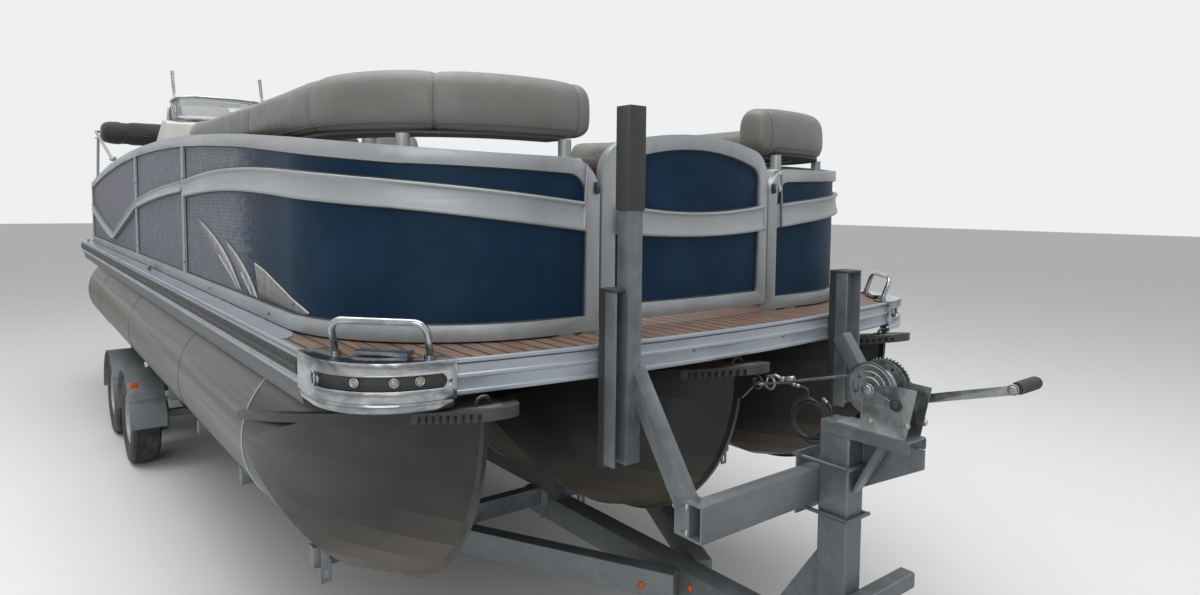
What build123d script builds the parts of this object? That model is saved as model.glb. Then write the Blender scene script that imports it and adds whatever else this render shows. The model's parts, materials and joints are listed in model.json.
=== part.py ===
"""Three-tube pontoon boat standing on its tandem-axle bunk trailer.

Millimetres. +X runs forward to the bow and the tow coupler, +Y to port, +Z up, and the
origin is on the ground under the middle of boat and trailer together.
"""
from build123d import *
import os
from math import asin, cos, radians, sin, sqrt

# Floats
TUBE_RADIUS = 317.5
TUBE_AXIS_Z = 937.5
OUTER_TUBE_INSET = 351
TUBE_AFT_X = -3990
CENTER_TUBE_AFT_X = -3480
NOSE_SEAM_X = 1850
STEM_X = 3045
KEEL_RISE_X = 2420
NOSE_PLATE_LOW_Z = 1045
NOSE_PLATE_TIP_Z = 1270
NOSE_PLATE_THICK = 6
NOSE_LIP_OUT = 16
NOSE_PLATE_REACH = 60
NOSE_TIP_ROUND = 10
CENTER_NOSE_REACH = 45
BUMPER_AFT_X = 2925
BUMPER_PROUD = 44
BUMPER_TALL = 30
BUMPER_RIB_PITCH = 21
BUMPER_RIBS = 9
BUMPER_SLOT_WIDE = 9
BUMPER_SLOT_DEEP = 20
NOSE_LIP_DROP = 22
NOSE_BULGE_END_X = 2480
STEM_BAR_WIDE = 14
STEM_BAR_PROUD = 8
BOW_EYE_Z = 1232
EYE_RING_R = 18
TIE_RING_HALF = 22
TUBE_END_ROUND = 70
RISER_WIDE = 150

# Deck
BEAM = 2590
DECK_FRONT_X = 2960
DECK_CROWN_X = 3098
DECK_AFT_X = -4010
DECK_CORNER_R = 230
DECK_TOP_Z = 1400
DECK_THICK = 25
TRIM_TALL = 96
TRIM_THICK = 8
TRIM_BEAD = 4
TRIM_BEAD_TALL = 12
CHANNEL_TALL = 75
CHANNEL_WIDE = 38
CHANNEL_WALL = 5
CHANNEL_INSET = 22
CHANNEL_PITCH = 406
CHANNEL_COUNT = 17
CHANNEL_FIRST_X = -3830
SKIRT_TOP_INSET = 11
SKIRT_FOOT_INSET = 29
SKIRT_FOOT_Z = 1236
SKIRT_THICK = 5
SKIRT_FRONT_X = 2600

# Cast bow corners
CASTING_LONG = 290
CASTING_WIDE = 281
CASTING_PROUD = 12
CASTING_DEPTH = 62
CASTING_SKIRT_TALL = 32
CASTING_LIP = 2
LIGHT_SLOT_LOW_Z = 1332
LIGHT_SLOT_TALL = 42
LIGHT_SLOT_DEEP = 26

# Fence
FENCE_INSET = 69
FENCE_FRONT_X = 2885
FENCE_AFT_X = -3740
FENCE_CORNER_R = 600
FENCE_THICK = 32
FENCE_FOOT_Z = 1406
FENCE_TOP_FRONT_Z = 1948
FENCE_CROWN_X = -405
FENCE_CROWN_Z = 2125
RAIL_TALL = 48
POST_WIDE = 50
FORWARD_POST_X = 641
AFT_POST_X = -930
PANEL_THICK = 4

# Gates
GATE_Y = -28
GATE_HALF = 402
GATE_GAP = 10
GATE_FOOT_Z = 1432
GATE_CROWN_Z = 2046
GATE_CORNER_R = 110
GATE_SHOULDER_Z = 1986
GATE_FRAME_WIDE = 50
GATE_BOW = 24
SIDE_GATE_AFT_X = -160
STERN_GATE_LOW_Y = -1090
STERN_GATE_HIGH_Y = -430
HINGE_RADIUS = 9
HINGE_TALL = 44

# Seats
SEAT_DEEP = 590
SEAT_TOP_Z = 1820
BASE_TOP_Z = 1660
BASE_KICK = 60
BACK_SHELL_THICK = 70
BACK_SHELL_TOP_Z = 1950
BACK_PAD_THICK = 90
BOLSTER_LOW_Z = 2008
BOLSTER_TALL = 196
BOLSTER_THICK = 165
BOLSTER_GAP = 52
BOLSTER_END_Y = 400
LOUNGE_GAP = 46
LOUNGE_END_Y = 470
LOUNGE_AFT_STARBOARD_X = 450
LOUNGE_AFT_PORT_X = 690
SOFT_CLEAR = 0.4
POST_RADIUS = 21

# Trailer
RAIL_Z_LOW = 400
SEAM = 0.3
RAIL_HIGH = 100
RAIL_WIDE = 60
SIDE_RAIL_Y = 900
RAIL_AFT_X = -3050
A_LEG_AFT_X = 1271
A_LEG_TIP = (2880, 72)
TONGUE_WIDE = 90
TONGUE_AFT_X = 1850
COUPLER_X = 4862
CROSS_WIDE = 50
CROSS_TALL = 75
CROSS_PAST_TUBE = 141
CROSS_XS = (2060, 1050, 100, -800, -1665, -2560)
BUNK_OFFSET = 100
BUNK_WIDE = 52
BUNK_FRONT_X = 2200
BUNK_AFT_X = -2800
AXLE_XS = (-1240, -2090)
TYRE_RADIUS = 305
TYRE_WIDE = 180
TYRE_INSET = 105
RIM_RADIUS = 168
FENDER_GAP = 28
FENDER_THICK = 4
FENDER_WIDE = 213
WINCH_POST_X = 3490
WINCH_POST_LONG = 100
WINCH_POST_WIDE = 80
WINCH_POST_TOP_Z = 1180
JACK_X = 4300
JACK_Y = -110

# Motor
POD_HALF = 290
POD_AFT_X = -4390
POD_LOW_Z = 700
POD_HIGH_Z = 1290
TRANSOM_TOP_Z = 1150
TILT_X = -4452
TILT_Z = 1140
STEER_X = -4562
PROP_Z = 650
PROP_RADIUS = 175
PROP_PITCH = 28

# Folded top
BIMINI_PIVOT_X = -2250
BIMINI_PIVOT_Z = 2112
BIMINI_PIVOT_INSET = 16
BIMINI_BUNDLE_X = -3400
BIMINI_BUNDLE_Z = 2400
BIMINI_TUBE_R = 11
BIMINI_BEND = 30
PIVOT_BALL_R = 19

# Places that follow the beam and the deck's front
HALF_BEAM = BEAM / 2
OUTER_TUBE_Y = HALF_BEAM - OUTER_TUBE_INSET
SKIRT_TOP_Y = HALF_BEAM - SKIRT_TOP_INSET
SKIRT_FOOT_Y = HALF_BEAM - SKIRT_FOOT_INSET
CASTING_AFT_X = DECK_FRONT_X - CASTING_LONG
CASTING_END_Y = HALF_BEAM - CASTING_WIDE
FENCE_Y = HALF_BEAM - FENCE_INSET
CROSS_HALF = OUTER_TUBE_Y + CROSS_PAST_TUBE
TYRE_Y = HALF_BEAM - TYRE_INSET
FENDER_IN_Y = HALF_BEAM - FENDER_WIDE
BIMINI_PIVOT_Y = FENCE_Y - BIMINI_PIVOT_INSET

os.makedirs("parts", exist_ok=True)


def save(piece, label):
    """Name a finished piece and write it as its own file."""
    piece.part.label = label
    export_step(piece.part, f"parts/{label}.step")


def block(x, y, z, mode=Mode.ADD):
    """A rectangular block from its low and high spans."""
    with Locations((sum(x) / 2, sum(y) / 2, sum(z) / 2)):
        Box(x[1] - x[0], y[1] - y[0], z[1] - z[0], mode=mode)


def span(a, b):
    """Two values as a low and high pair."""
    return min(a, b), max(a, b)


def section_plane(start, end):
    """A plane at start, looking along the line to end, with its X level."""
    run = Vector(*end) - Vector(*start)
    level = Vector(0, 0, 1).cross(run)
    if level.length < 1e-6 * run.length:
        level = Vector(0, 1, 0)
    return Plane(origin=start, x_dir=level, z_dir=run), run.length


def bar(start, end, wide, tall, mode=Mode.ADD):
    """A straight square-edged bar between two points."""
    plane, long = section_plane(start, end)
    with BuildSketch(plane) as section:
        Rectangle(wide, tall)
    extrude(section.sketch, amount=long, mode=mode)


def rod(start, end, radius, mode=Mode.ADD):
    """A straight round bar between two points."""
    plane, long = section_plane(start, end)
    with BuildSketch(plane) as section:
        Circle(radius)
    extrude(section.sketch, amount=long, mode=mode)


def pipe(points, bend, radius):
    """A round bar bent at its inner points."""
    with BuildLine() as path:
        FilletPolyline(*points, radius=bend)
    plane, _ = section_plane(points[0], points[1])
    with BuildSketch(plane) as section:
        Circle(radius)
    sweep(section.sketch, path=path.wires()[0])


def profile(plane, outline, depth, mode=Mode.ADD):
    """Extrude a closed outline of straight lines along its plane's normal."""
    with BuildSketch(plane) as section:
        with BuildLine():
            Polyline(*outline, close=True)
        make_face()
    extrude(section.sketch, amount=depth, mode=mode)


def profile_xz(outline, y, mode=Mode.ADD):
    """Extrude a side-view outline of (x, z) points from y[0] to y[1]."""
    profile(Plane.XZ.offset(-y[1]), outline, y[1] - y[0], mode)


def profile_yz(outline, x, mode=Mode.ADD):
    """Extrude an end-view outline of (y, z) points from x[0] to x[1]."""
    profile(Plane.YZ.offset(x[0]), outline, x[1] - x[0], mode)


def profile_xy(outline, z, mode=Mode.ADD):
    """Extrude a plan outline of (x, y) points from z[0] to z[1]."""
    profile(Plane.XY.offset(z[0]), outline, z[1] - z[0], mode)


def nose_plan(plane, axis_y, grow=0.0, tip_grow=0.0, tip_round=0.0):
    """Pointed plan of a nose: two long arcs that start tangent to the tube's sides."""
    half = TUBE_RADIUS + grow
    long = STEM_X + tip_grow - NOSE_SEAM_X
    arc_r = (long**2 + half**2) / (2 * half)
    mid_angle = asin(long / arc_r) / 2
    mid = (NOSE_SEAM_X + arc_r * sin(mid_angle), half - arc_r * (1 - cos(mid_angle)))
    tip = (NOSE_SEAM_X + long, axis_y)
    with BuildSketch(plane) as plan:
        with BuildLine():
            ThreePointArc((NOSE_SEAM_X, axis_y - half), (mid[0], axis_y - mid[1]), tip)
            ThreePointArc(tip, (mid[0], axis_y + mid[1]), (NOSE_SEAM_X, axis_y + half))
            Line((NOSE_SEAM_X, axis_y + half), (NOSE_SEAM_X, axis_y - half))
        make_face()
        if tip_round:
            fillet(plan.vertices().sort_by(Axis.X)[-1], tip_round)
    return plan.sketch


KEEL_Z = TUBE_AXIS_Z - TUBE_RADIUS
CROWN_Z = TUBE_AXIS_Z + TUBE_RADIUS
STEM_R = STEM_X - KEEL_RISE_X
STEM_STEPS = 9
NOSE_WALL_PROUD = 1.0
PLATE_SLOPE = (NOSE_PLATE_TIP_Z - NOSE_PLATE_LOW_Z) / (STEM_X - NOSE_SEAM_X)


def plate_z(x, lift=0.0):
    """Height of the nose plate's lower face at x."""
    return NOSE_PLATE_LOW_Z + PLATE_SLOPE * (x - NOSE_SEAM_X) + lift


def stem_profile(y, wide, proud, aft_x):
    """Side view of a nose below its plate: flat keel, then an arc up to the stem head."""
    radius = STEM_R + proud
    centre_z = KEEL_Z + STEM_R
    head_z = plate_z(STEM_X)
    head_angle = asin((head_z - centre_z) / radius)
    head = (KEEL_RISE_X + radius * cos(head_angle), head_z)
    low = (KEEL_RISE_X, KEEL_Z - proud)
    mid_angle = (head_angle - radians(90)) / 2
    mid = (KEEL_RISE_X + radius * cos(mid_angle), centre_z + radius * sin(mid_angle))
    with BuildSketch(Plane.XZ.offset(-y - wide / 2)) as side:
        with BuildLine():
            Line((aft_x, KEEL_Z - proud), low)
            ThreePointArc(low, mid, head)
            Polyline(head, (aft_x, plate_z(aft_x)), (aft_x, KEEL_Z - proud))
        make_face()
    return side.sketch


def plate_slab(axis_y, drop, rise, mode):
    """Keep or add a sloping slab between two offsets from the nose plate's lower face."""
    front = STEM_X + 2 * NOSE_PLATE_REACH
    profile_xz([(NOSE_SEAM_X, plate_z(NOSE_SEAM_X, drop)), (front, plate_z(front, drop)),
                (front, plate_z(front, rise)), (NOSE_SEAM_X, plate_z(NOSE_SEAM_X, rise))],
               (axis_y - 2 * TUBE_RADIUS, axis_y + 2 * TUBE_RADIUS), mode)


def make_nose(axis_y):
    """Nose shell: two walls that meet along the stem's curve, rounded below as the tube is."""
    levels = [(KEEL_Z - 2, KEEL_RISE_X)]
    for step in range(1, STEM_STEPS + 1):
        lean = radians(90 * step / STEM_STEPS)
        levels.append((KEEL_Z + STEM_R * (1 - cos(lean)), KEEL_RISE_X + STEM_R * sin(lean)))
    levels.append((CROWN_Z + 10, STEM_X))
    with BuildPart() as nose:
        plans = [nose_plan(Plane.XY.offset(z), axis_y, NOSE_WALL_PROUD, tip_x - STEM_X)
                 for z, tip_x in levels]
        loft(plans, ruled=True)
        with BuildSketch(Plane.YZ.offset(NOSE_SEAM_X)):
            with Locations((axis_y, TUBE_AXIS_Z)):
                Circle(TUBE_RADIUS)
        extrude(amount=STEM_X - NOSE_SEAM_X, mode=Mode.INTERSECT)
        front = STEM_X + 10
        profile_xz([(NOSE_SEAM_X, KEEL_Z - 10), (front, KEEL_Z - 10), (front, plate_z(front)),
                    (NOSE_BULGE_END_X, plate_z(NOSE_BULGE_END_X)), (NOSE_BULGE_END_X - 60, CROWN_Z + 1),
                    (NOSE_SEAM_X, CROWN_Z + 1)],
                   (axis_y - TUBE_RADIUS - 1, axis_y + TUBE_RADIUS + 1), Mode.INTERSECT)
    return nose.part


def plate_plan(plane, axis_y, grow):
    """Rounded-tip plan of a nose plate, grown past the nose itself."""
    return nose_plan(plane, axis_y, grow, NOSE_PLATE_REACH + 2 * grow, NOSE_TIP_ROUND + grow)


def make_plate(axis_y):
    """Sloping plate over a nose, with an edge turned down all round."""
    low = Plane.XY.offset(NOSE_PLATE_LOW_Z - 60)
    tall = NOSE_PLATE_TIP_Z - NOSE_PLATE_LOW_Z + 160
    inner = NOSE_LIP_OUT - NOSE_PLATE_THICK
    with BuildPart() as lip:
        extrude(plate_plan(low, axis_y, NOSE_LIP_OUT), amount=tall)
        extrude(plate_plan(low, axis_y, inner), amount=tall, mode=Mode.SUBTRACT)
        plate_slab(axis_y, -NOSE_LIP_DROP, NOSE_PLATE_THICK, Mode.INTERSECT)
    with BuildPart() as plate:
        extrude(plate_plan(low, axis_y, inner + 1), amount=tall)
        plate_slab(axis_y, 0, NOSE_PLATE_THICK, Mode.INTERSECT)
        add(lip.part)
    return plate.part


def make_bumper(axis_y):
    """Rubber bumper wrapped round the tip of a nose plate."""
    low = Plane.XY.offset(NOSE_PLATE_LOW_Z - 60)
    tall = NOSE_PLATE_TIP_Z - NOSE_PLATE_LOW_Z + 160
    with BuildPart() as bumper:
        extrude(plate_plan(low, axis_y, NOSE_LIP_OUT + BUMPER_PROUD), amount=tall)
        extrude(plate_plan(low, axis_y, NOSE_LIP_OUT), amount=tall, mode=Mode.SUBTRACT)
        plate_slab(axis_y, NOSE_PLATE_THICK - BUMPER_TALL, NOSE_PLATE_THICK, Mode.INTERSECT)
        block((BUMPER_AFT_X, STEM_X + 400), (axis_y - TUBE_RADIUS, axis_y + TUBE_RADIUS),
              (NOSE_PLATE_LOW_Z, NOSE_PLATE_TIP_Z + 100), Mode.INTERSECT)
        grow = NOSE_LIP_OUT + BUMPER_PROUD
        tip_x = STEM_X + NOSE_PLATE_REACH + 0.75 * grow
        for side in (-1, 1):
            for rib in range(BUMPER_RIBS):
                x = tip_x - 30 - rib * BUMPER_RIB_PITCH
                half = 30 + 0.45 * rib * BUMPER_RIB_PITCH
                low_z = plate_z(x) + NOSE_PLATE_THICK - BUMPER_TALL
                block((x - BUMPER_SLOT_WIDE / 2, x + BUMPER_SLOT_WIDE / 2),
                      span(axis_y + side * half, axis_y + side * TUBE_RADIUS),
                      (low_z - 5, low_z + BUMPER_SLOT_DEEP), Mode.SUBTRACT)
    return bumper.part


# side name, axis Y, aft end X, how much further forward the nose is
FLOATS = (
    ("starboard", -OUTER_TUBE_Y, TUBE_AFT_X, 0),
    ("center", 0, CENTER_TUBE_AFT_X, CENTER_NOSE_REACH),
    ("port", OUTER_TUBE_Y, TUBE_AFT_X, 0),
)
for name, axis_y, aft_x, reach in FLOATS:
    with BuildPart() as stem_bar:
        extrude(stem_profile(axis_y, STEM_BAR_WIDE, STEM_BAR_PROUD, KEEL_RISE_X - 300),
                amount=STEM_BAR_WIDE)
    with BuildPart() as tube:
        with BuildSketch(Plane.YZ.offset(aft_x)):
            with Locations((axis_y, TUBE_AXIS_Z)):
                Circle(TUBE_RADIUS)
        extrude(amount=NOSE_SEAM_X + reach - aft_x)
        chamfer(tube.faces().sort_by(Axis.X)[0].edges(), TUBE_END_ROUND)
        with Locations((reach, 0, 0)):
            add(make_nose(axis_y))
            add(make_plate(axis_y))
            add(stem_bar.part)
        block((aft_x + TUBE_END_ROUND, NOSE_BULGE_END_X - 120),
              (axis_y - RISER_WIDE / 2, axis_y + RISER_WIDE / 2),
              (CROWN_Z - 25, DECK_TOP_Z - DECK_THICK - CHANNEL_TALL))
        if name == "center":
            eye_x = STEM_X + reach
            tab_z = BOW_EYE_Z
            profile_xz([(eye_x - 20, tab_z + 30), (eye_x + 8, tab_z + 14), (eye_x + 64, tab_z + 12),
                        (eye_x + 68, tab_z - 12), (eye_x + 16, tab_z - 66), (eye_x - 20, tab_z - 66)],
                       (-5, 5))
            with Locations(Plane(origin=(eye_x + 60 + EYE_RING_R, 0, BOW_EYE_Z), z_dir=(0, 1, 0))):
                Torus(EYE_RING_R, 6)
        ring_x, ring_z = STEM_X + reach - 10, plate_z(STEM_X - 10, NOSE_PLATE_THICK)
        pipe([(ring_x, axis_y - TIE_RING_HALF, ring_z - 2), (ring_x, axis_y - TIE_RING_HALF, ring_z + 24),
              (ring_x, axis_y + TIE_RING_HALF, ring_z + 24), (ring_x, axis_y + TIE_RING_HALF, ring_z - 2)],
             TIE_RING_HALF - 2, 5)
    save(tube, f"pontoon_{name}")

with BuildPart() as nose_bumpers:
    for name, axis_y, aft_x, reach in FLOATS:
        with Locations((reach, 0, 0)):
            add(make_bumper(axis_y))
save(nose_bumpers, "nose_bumpers")


def deck_plan(z, grow=0.0):
    """Deck outline: bowed front edge, rounded bow corners, square stern."""
    half = BEAM / 2
    with BuildSketch(Plane.XY.offset(z)) as plan:
        with BuildLine():
            ThreePointArc((DECK_FRONT_X, -half), (DECK_CROWN_X, 0), (DECK_FRONT_X, half))
            Polyline((DECK_FRONT_X, half), (DECK_AFT_X, half), (DECK_AFT_X, -half), (DECK_FRONT_X, -half))
        make_face()
        fillet(plan.vertices().sort_by(Axis.X)[-2:], DECK_CORNER_R)
        if grow:
            offset(amount=grow)
    return plan.sketch


TRIM_TOP_Z = DECK_TOP_Z + 4
TRIM_LOW_Z = TRIM_TOP_Z - TRIM_TALL
CHANNEL_LOW_Z = DECK_TOP_Z - DECK_THICK - CHANNEL_TALL

with BuildPart() as deck:
    extrude(deck_plan(DECK_TOP_Z - DECK_THICK, -TRIM_THICK), amount=DECK_THICK)
save(deck, "deck")

with BuildPart() as deck_frame:
    for number in range(CHANNEL_COUNT):
        x = CHANNEL_FIRST_X + number * CHANNEL_PITCH
        near_casting = x + CHANNEL_WIDE > CASTING_AFT_X
        half = BEAM / 2 - (CASTING_DEPTH + 8 if near_casting else CHANNEL_INSET)
        block((x, x + CHANNEL_WIDE), (-half, half), (CHANNEL_LOW_Z, DECK_TOP_Z - DECK_THICK))
        block((x + CHANNEL_WALL, x + CHANNEL_WIDE), (-half, half),
              (CHANNEL_LOW_Z + CHANNEL_WALL, DECK_TOP_Z - DECK_THICK - CHANNEL_WALL), Mode.SUBTRACT)
save(deck_frame, "deck_frame")

with BuildPart() as deck_edge_trim:
    extrude(deck_plan(TRIM_LOW_Z), amount=TRIM_TALL)
    for low in (TRIM_LOW_Z, TRIM_TOP_Z - TRIM_BEAD_TALL, TRIM_LOW_Z + 0.45 * TRIM_TALL):
        extrude(deck_plan(low, TRIM_BEAD), amount=TRIM_BEAD_TALL)
    extrude(deck_plan(TRIM_LOW_Z, -TRIM_THICK), amount=TRIM_TALL, mode=Mode.SUBTRACT)
    for side in (-1, 1):
        block((CASTING_AFT_X, DECK_CROWN_X), span(side * CASTING_END_Y, side * (BEAM / 2 + 20)),
              (TRIM_LOW_Z - 1, TRIM_TOP_Z + 1), Mode.SUBTRACT)
save(deck_edge_trim, "deck_edge_trim")

with BuildPart() as deck_skirts:
    for side in (-1, 1):
        profile_yz([(side * (SKIRT_TOP_Y + SKIRT_THICK), TRIM_LOW_Z), (side * SKIRT_TOP_Y, TRIM_LOW_Z),
                    (side * SKIRT_FOOT_Y, SKIRT_FOOT_Z),
                    (side * (SKIRT_FOOT_Y + SKIRT_THICK), SKIRT_FOOT_Z)],
                   (DECK_AFT_X + 40, SKIRT_FRONT_X))
save(deck_skirts, "deck_skirts")


def corner_region(low_z, high_z, aft_x, end_y):
    """Keep only what lies in the two bow corners."""
    with BuildPart() as region:
        for side in (-1, 1):
            block((aft_x, DECK_CROWN_X + 20), span(side * end_y, side * (BEAM / 2 + 40)),
                  (low_z, high_z))
    return region.part


def slot_region(inside):
    """Room of the light slot round each bow corner, with half-round ends, made smaller by inside."""
    radius = LIGHT_SLOT_TALL / 2
    mid_z = LIGHT_SLOT_LOW_Z + radius
    aft_x = CASTING_AFT_X + 110 + radius
    end_y = CASTING_END_Y + 26 + radius
    radius -= inside
    with BuildPart() as region:
        add(corner_region(mid_z - radius, mid_z + radius, aft_x, end_y))
        for side in (-1, 1):
            rod((aft_x, side * (HALF_BEAM - 60), mid_z), (aft_x, side * (HALF_BEAM + 40), mid_z), radius)
            rod((DECK_FRONT_X - 60, side * end_y, mid_z), (DECK_CROWN_X + 20, side * end_y, mid_z), radius)
    return region.part


with BuildPart() as slot:
    extrude(deck_plan(LIGHT_SLOT_LOW_Z, CASTING_PROUD + 5), amount=LIGHT_SLOT_TALL)
    extrude(deck_plan(LIGHT_SLOT_LOW_Z, CASTING_PROUD - LIGHT_SLOT_DEEP), amount=LIGHT_SLOT_TALL,
            mode=Mode.SUBTRACT)
    add(slot_region(0), mode=Mode.INTERSECT)

with BuildPart() as bow_corners:
    extrude(deck_plan(TRIM_LOW_Z - 4, CASTING_PROUD), amount=TRIM_TALL + 6)
    extrude(deck_plan(TRIM_LOW_Z - 4, CASTING_PROUD - 8), amount=-CASTING_SKIRT_TALL, taper=24)
    extrude(deck_plan(DECK_TOP_Z, -TRIM_THICK), amount=-DECK_THICK, mode=Mode.SUBTRACT)
    extrude(deck_plan(DECK_TOP_Z, -CASTING_DEPTH), amount=TRIM_TALL, both=True, mode=Mode.SUBTRACT)
    extrude(deck_plan(TRIM_LOW_Z - 60, -22), amount=TRIM_TALL + 56 - DECK_THICK, mode=Mode.SUBTRACT)
    add(corner_region(TRIM_LOW_Z - 80, TRIM_TOP_Z + 10, CASTING_AFT_X, CASTING_END_Y), mode=Mode.INTERSECT)
    add(slot.part, mode=Mode.SUBTRACT)
save(bow_corners, "bow_corners")

with BuildPart() as bow_lights:
    extrude(deck_plan(LIGHT_SLOT_LOW_Z + 0.3, CASTING_PROUD - LIGHT_SLOT_DEEP + 6),
            amount=LIGHT_SLOT_TALL - 0.6)
    extrude(deck_plan(LIGHT_SLOT_LOW_Z, CASTING_PROUD - LIGHT_SLOT_DEEP + 0.3), amount=LIGHT_SLOT_TALL,
            mode=Mode.SUBTRACT)
    add(slot_region(0.3), mode=Mode.INTERSECT)
save(bow_lights, "bow_lights")

# Fence outline. The corner arcs' centre, and the circle that the top rail follows
CORNER_X = FENCE_FRONT_X - FENCE_CORNER_R
CORNER_Y = FENCE_Y - FENCE_CORNER_R
RAIL_RISE = FENCE_CROWN_Z - FENCE_TOP_FRONT_Z
RAIL_R = ((FENCE_FRONT_X - FENCE_CROWN_X) ** 2 + RAIL_RISE**2) / (2 * RAIL_RISE)


def rail_z(x, drop=0.0):
    """Height of the top rail's upper edge at x, less a drop."""
    return FENCE_CROWN_Z - drop - RAIL_R + sqrt(RAIL_R**2 - (x - FENCE_CROWN_X) ** 2)


def wall_plan(z, side, gap, depth, aft_x, end_y):
    """Plan of a strip that follows the fence: along the side, round the bow corner and
    across the front to end_y, its outer face gap inside the fence's outer face."""
    far, near = FENCE_CORNER_R - gap, FENCE_CORNER_R - gap - depth
    half = sqrt(0.5)
    with BuildSketch(Plane.XY.offset(z)) as plan:
        with BuildLine():
            Line((aft_x, side * (CORNER_Y + far)), (CORNER_X, side * (CORNER_Y + far)))
            ThreePointArc((CORNER_X, side * (CORNER_Y + far)),
                          (CORNER_X + far * half, side * (CORNER_Y + far * half)),
                          (CORNER_X + far, side * CORNER_Y))
            Polyline((CORNER_X + far, side * CORNER_Y), (CORNER_X + far, side * end_y),
                     (CORNER_X + near, side * end_y), (CORNER_X + near, side * CORNER_Y))
            ThreePointArc((CORNER_X + near, side * CORNER_Y),
                          (CORNER_X + near * half, side * (CORNER_Y + near * half)),
                          (CORNER_X, side * (CORNER_Y + near)))
            Polyline((CORNER_X, side * (CORNER_Y + near)), (aft_x, side * (CORNER_Y + near)),
                     (aft_x, side * (CORNER_Y + far)))
        make_face()
    return plan.sketch


def outline_face(plane, edges):
    """A face from a chain of edges, each given by two points or by three for an arc."""
    with BuildSketch(plane) as face:
        with BuildLine():
            for points in edges:
                if len(points) == 2:
                    Line(*points)
                else:
                    ThreePointArc(*points)
        make_face()
    return face.sketch


def shifted(edges, dz):
    """The same chain of edges, moved up by dz."""
    return [tuple((x, z + dz) for x, z in points) for points in edges]


def backwards(edges):
    """The same chain of edges, run the other way."""
    return [tuple(reversed(points)) for points in reversed(edges)]


def joined_cell(lower, upper):
    """Close a window between a lower and an upper chain that both run forwards."""
    right = (lower[-1][-1], upper[-1][-1])
    left = (upper[0][0], lower[0][0])
    return lower + [right] + backwards(upper) + [left]


def rail_arc(x0, x1, drop):
    """A stretch of the top rail's curve as one arc."""
    mid = (x0 + x1) / 2
    return [((x0, rail_z(x0, drop)), (mid, rail_z(mid, drop)), (x1, rail_z(x1, drop)))]


LOWER_RAIL_Z = FENCE_FOOT_Z + RAIL_TALL
CORNER_MID_X = CORNER_X + FENCE_CORNER_R * sqrt(0.5)
CORNER_MID_Y = CORNER_Y + FENCE_CORNER_R * sqrt(0.5)
HALF_POST = POST_WIDE / 2
BAY_XS = (FENCE_AFT_X + POST_WIDE, AFT_POST_X - HALF_POST, AFT_POST_X + HALF_POST,
          FORWARD_POST_X - HALF_POST, FORWARD_POST_X + HALF_POST, CORNER_MID_X)

# Upper edge of the mid band in each side bay, running forwards, and the band's depth there
AFT_BAND = [((BAY_XS[0], 1752), (-3010, 1640), (-2270, 1548)), ((-2270, 1548), (-2130, 1548)),
            ((-2130, 1548), (BAY_XS[1], 1792))]
MIDDLE_BAND = [((BAY_XS[2], 1797), (-159, 1857), (BAY_XS[3], 1893))]
FORWARD_BAND = [((BAY_XS[4], 1893), (1517, 1927), (CORNER_MID_X, 1870))]
FORWARD_BAND_FOOT = [((BAY_XS[4], 1818), (1389, 1842), (CORNER_MID_X, 1790))]
FRONT_BAND_TOP_Z = (1870, 1811)
FRONT_BAND_FOOT_Z = (1790, 1721)
NARROW_BAND = 50


def side_cells(x0, x1, band_top, band_foot):
    """The two windows of a side bay, above and below its band."""
    upper = joined_cell(band_top, rail_arc(x0, x1, RAIL_TALL))
    lower = joined_cell([((x0, LOWER_RAIL_Z), (x1, LOWER_RAIL_Z))], band_foot)
    return upper, lower


def trimmed(edge, x0, x1):
    """The part of one arc edge between x0 and x1."""
    (ax, az), (bx, bz), (cx, cz) = edge

    def at(x):
        return (az * (x - bx) * (x - cx) / ((ax - bx) * (ax - cx))
                + bz * (x - ax) * (x - cx) / ((bx - ax) * (bx - cx))
                + cz * (x - ax) * (x - bx) / ((cx - ax) * (cx - bx)))
    mid = (x0 + x1) / 2
    return [((x0, at(x0)), (mid, at(mid)), (x1, at(x1)))]


def make_windows(side, side_windows, front_windows):
    """Cutters for every window of one side's fence."""
    with BuildPart() as windows:
        for cell in side_windows:
            face = outline_face(Plane.XZ.offset(-side * FENCE_Y), cell)
            extrude(face, amount=FENCE_CORNER_R, both=True)
        for cell in front_windows:
            face = outline_face(Plane.YZ.offset(FENCE_FRONT_X), cell)
            extrude(face, amount=FENCE_THICK * 8, both=True)
    return windows.part


def front_cells(side, end_y):
    """The two windows of the stretch across the bow, with a rounded upper corner."""
    stile = end_y + POST_WIDE
    rail_y = CORNER_MID_Y
    top = FENCE_TOP_FRONT_Z - RAIL_TALL
    rail_mid_z = rail_z(CORNER_MID_X, RAIL_TALL)
    half = sqrt(0.5)
    radius = 70
    edge_top, edge_foot = FRONT_BAND_TOP_Z, FRONT_BAND_FOOT_Z
    upper = [((rail_y, edge_top[0]), (stile, edge_top[1])), ((stile, edge_top[1]), (stile, top - radius)),
             ((stile, top - radius), (stile + radius * (1 - half), top - radius * (1 - half)),
              (stile + radius, top)),
             ((stile + radius, top), (rail_y, rail_mid_z)), ((rail_y, rail_mid_z), (rail_y, edge_top[0]))]
    lower = [((rail_y, LOWER_RAIL_Z), (stile, LOWER_RAIL_Z)),
             ((stile, LOWER_RAIL_Z), (stile, edge_foot[1])),
             ((stile, edge_foot[1]), (rail_y, edge_foot[0])),
             ((rail_y, edge_foot[0]), (rail_y, LOWER_RAIL_Z))]
    return [[tuple((side * y, z) for y, z in points) for points in cell] for cell in (upper, lower)]


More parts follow.
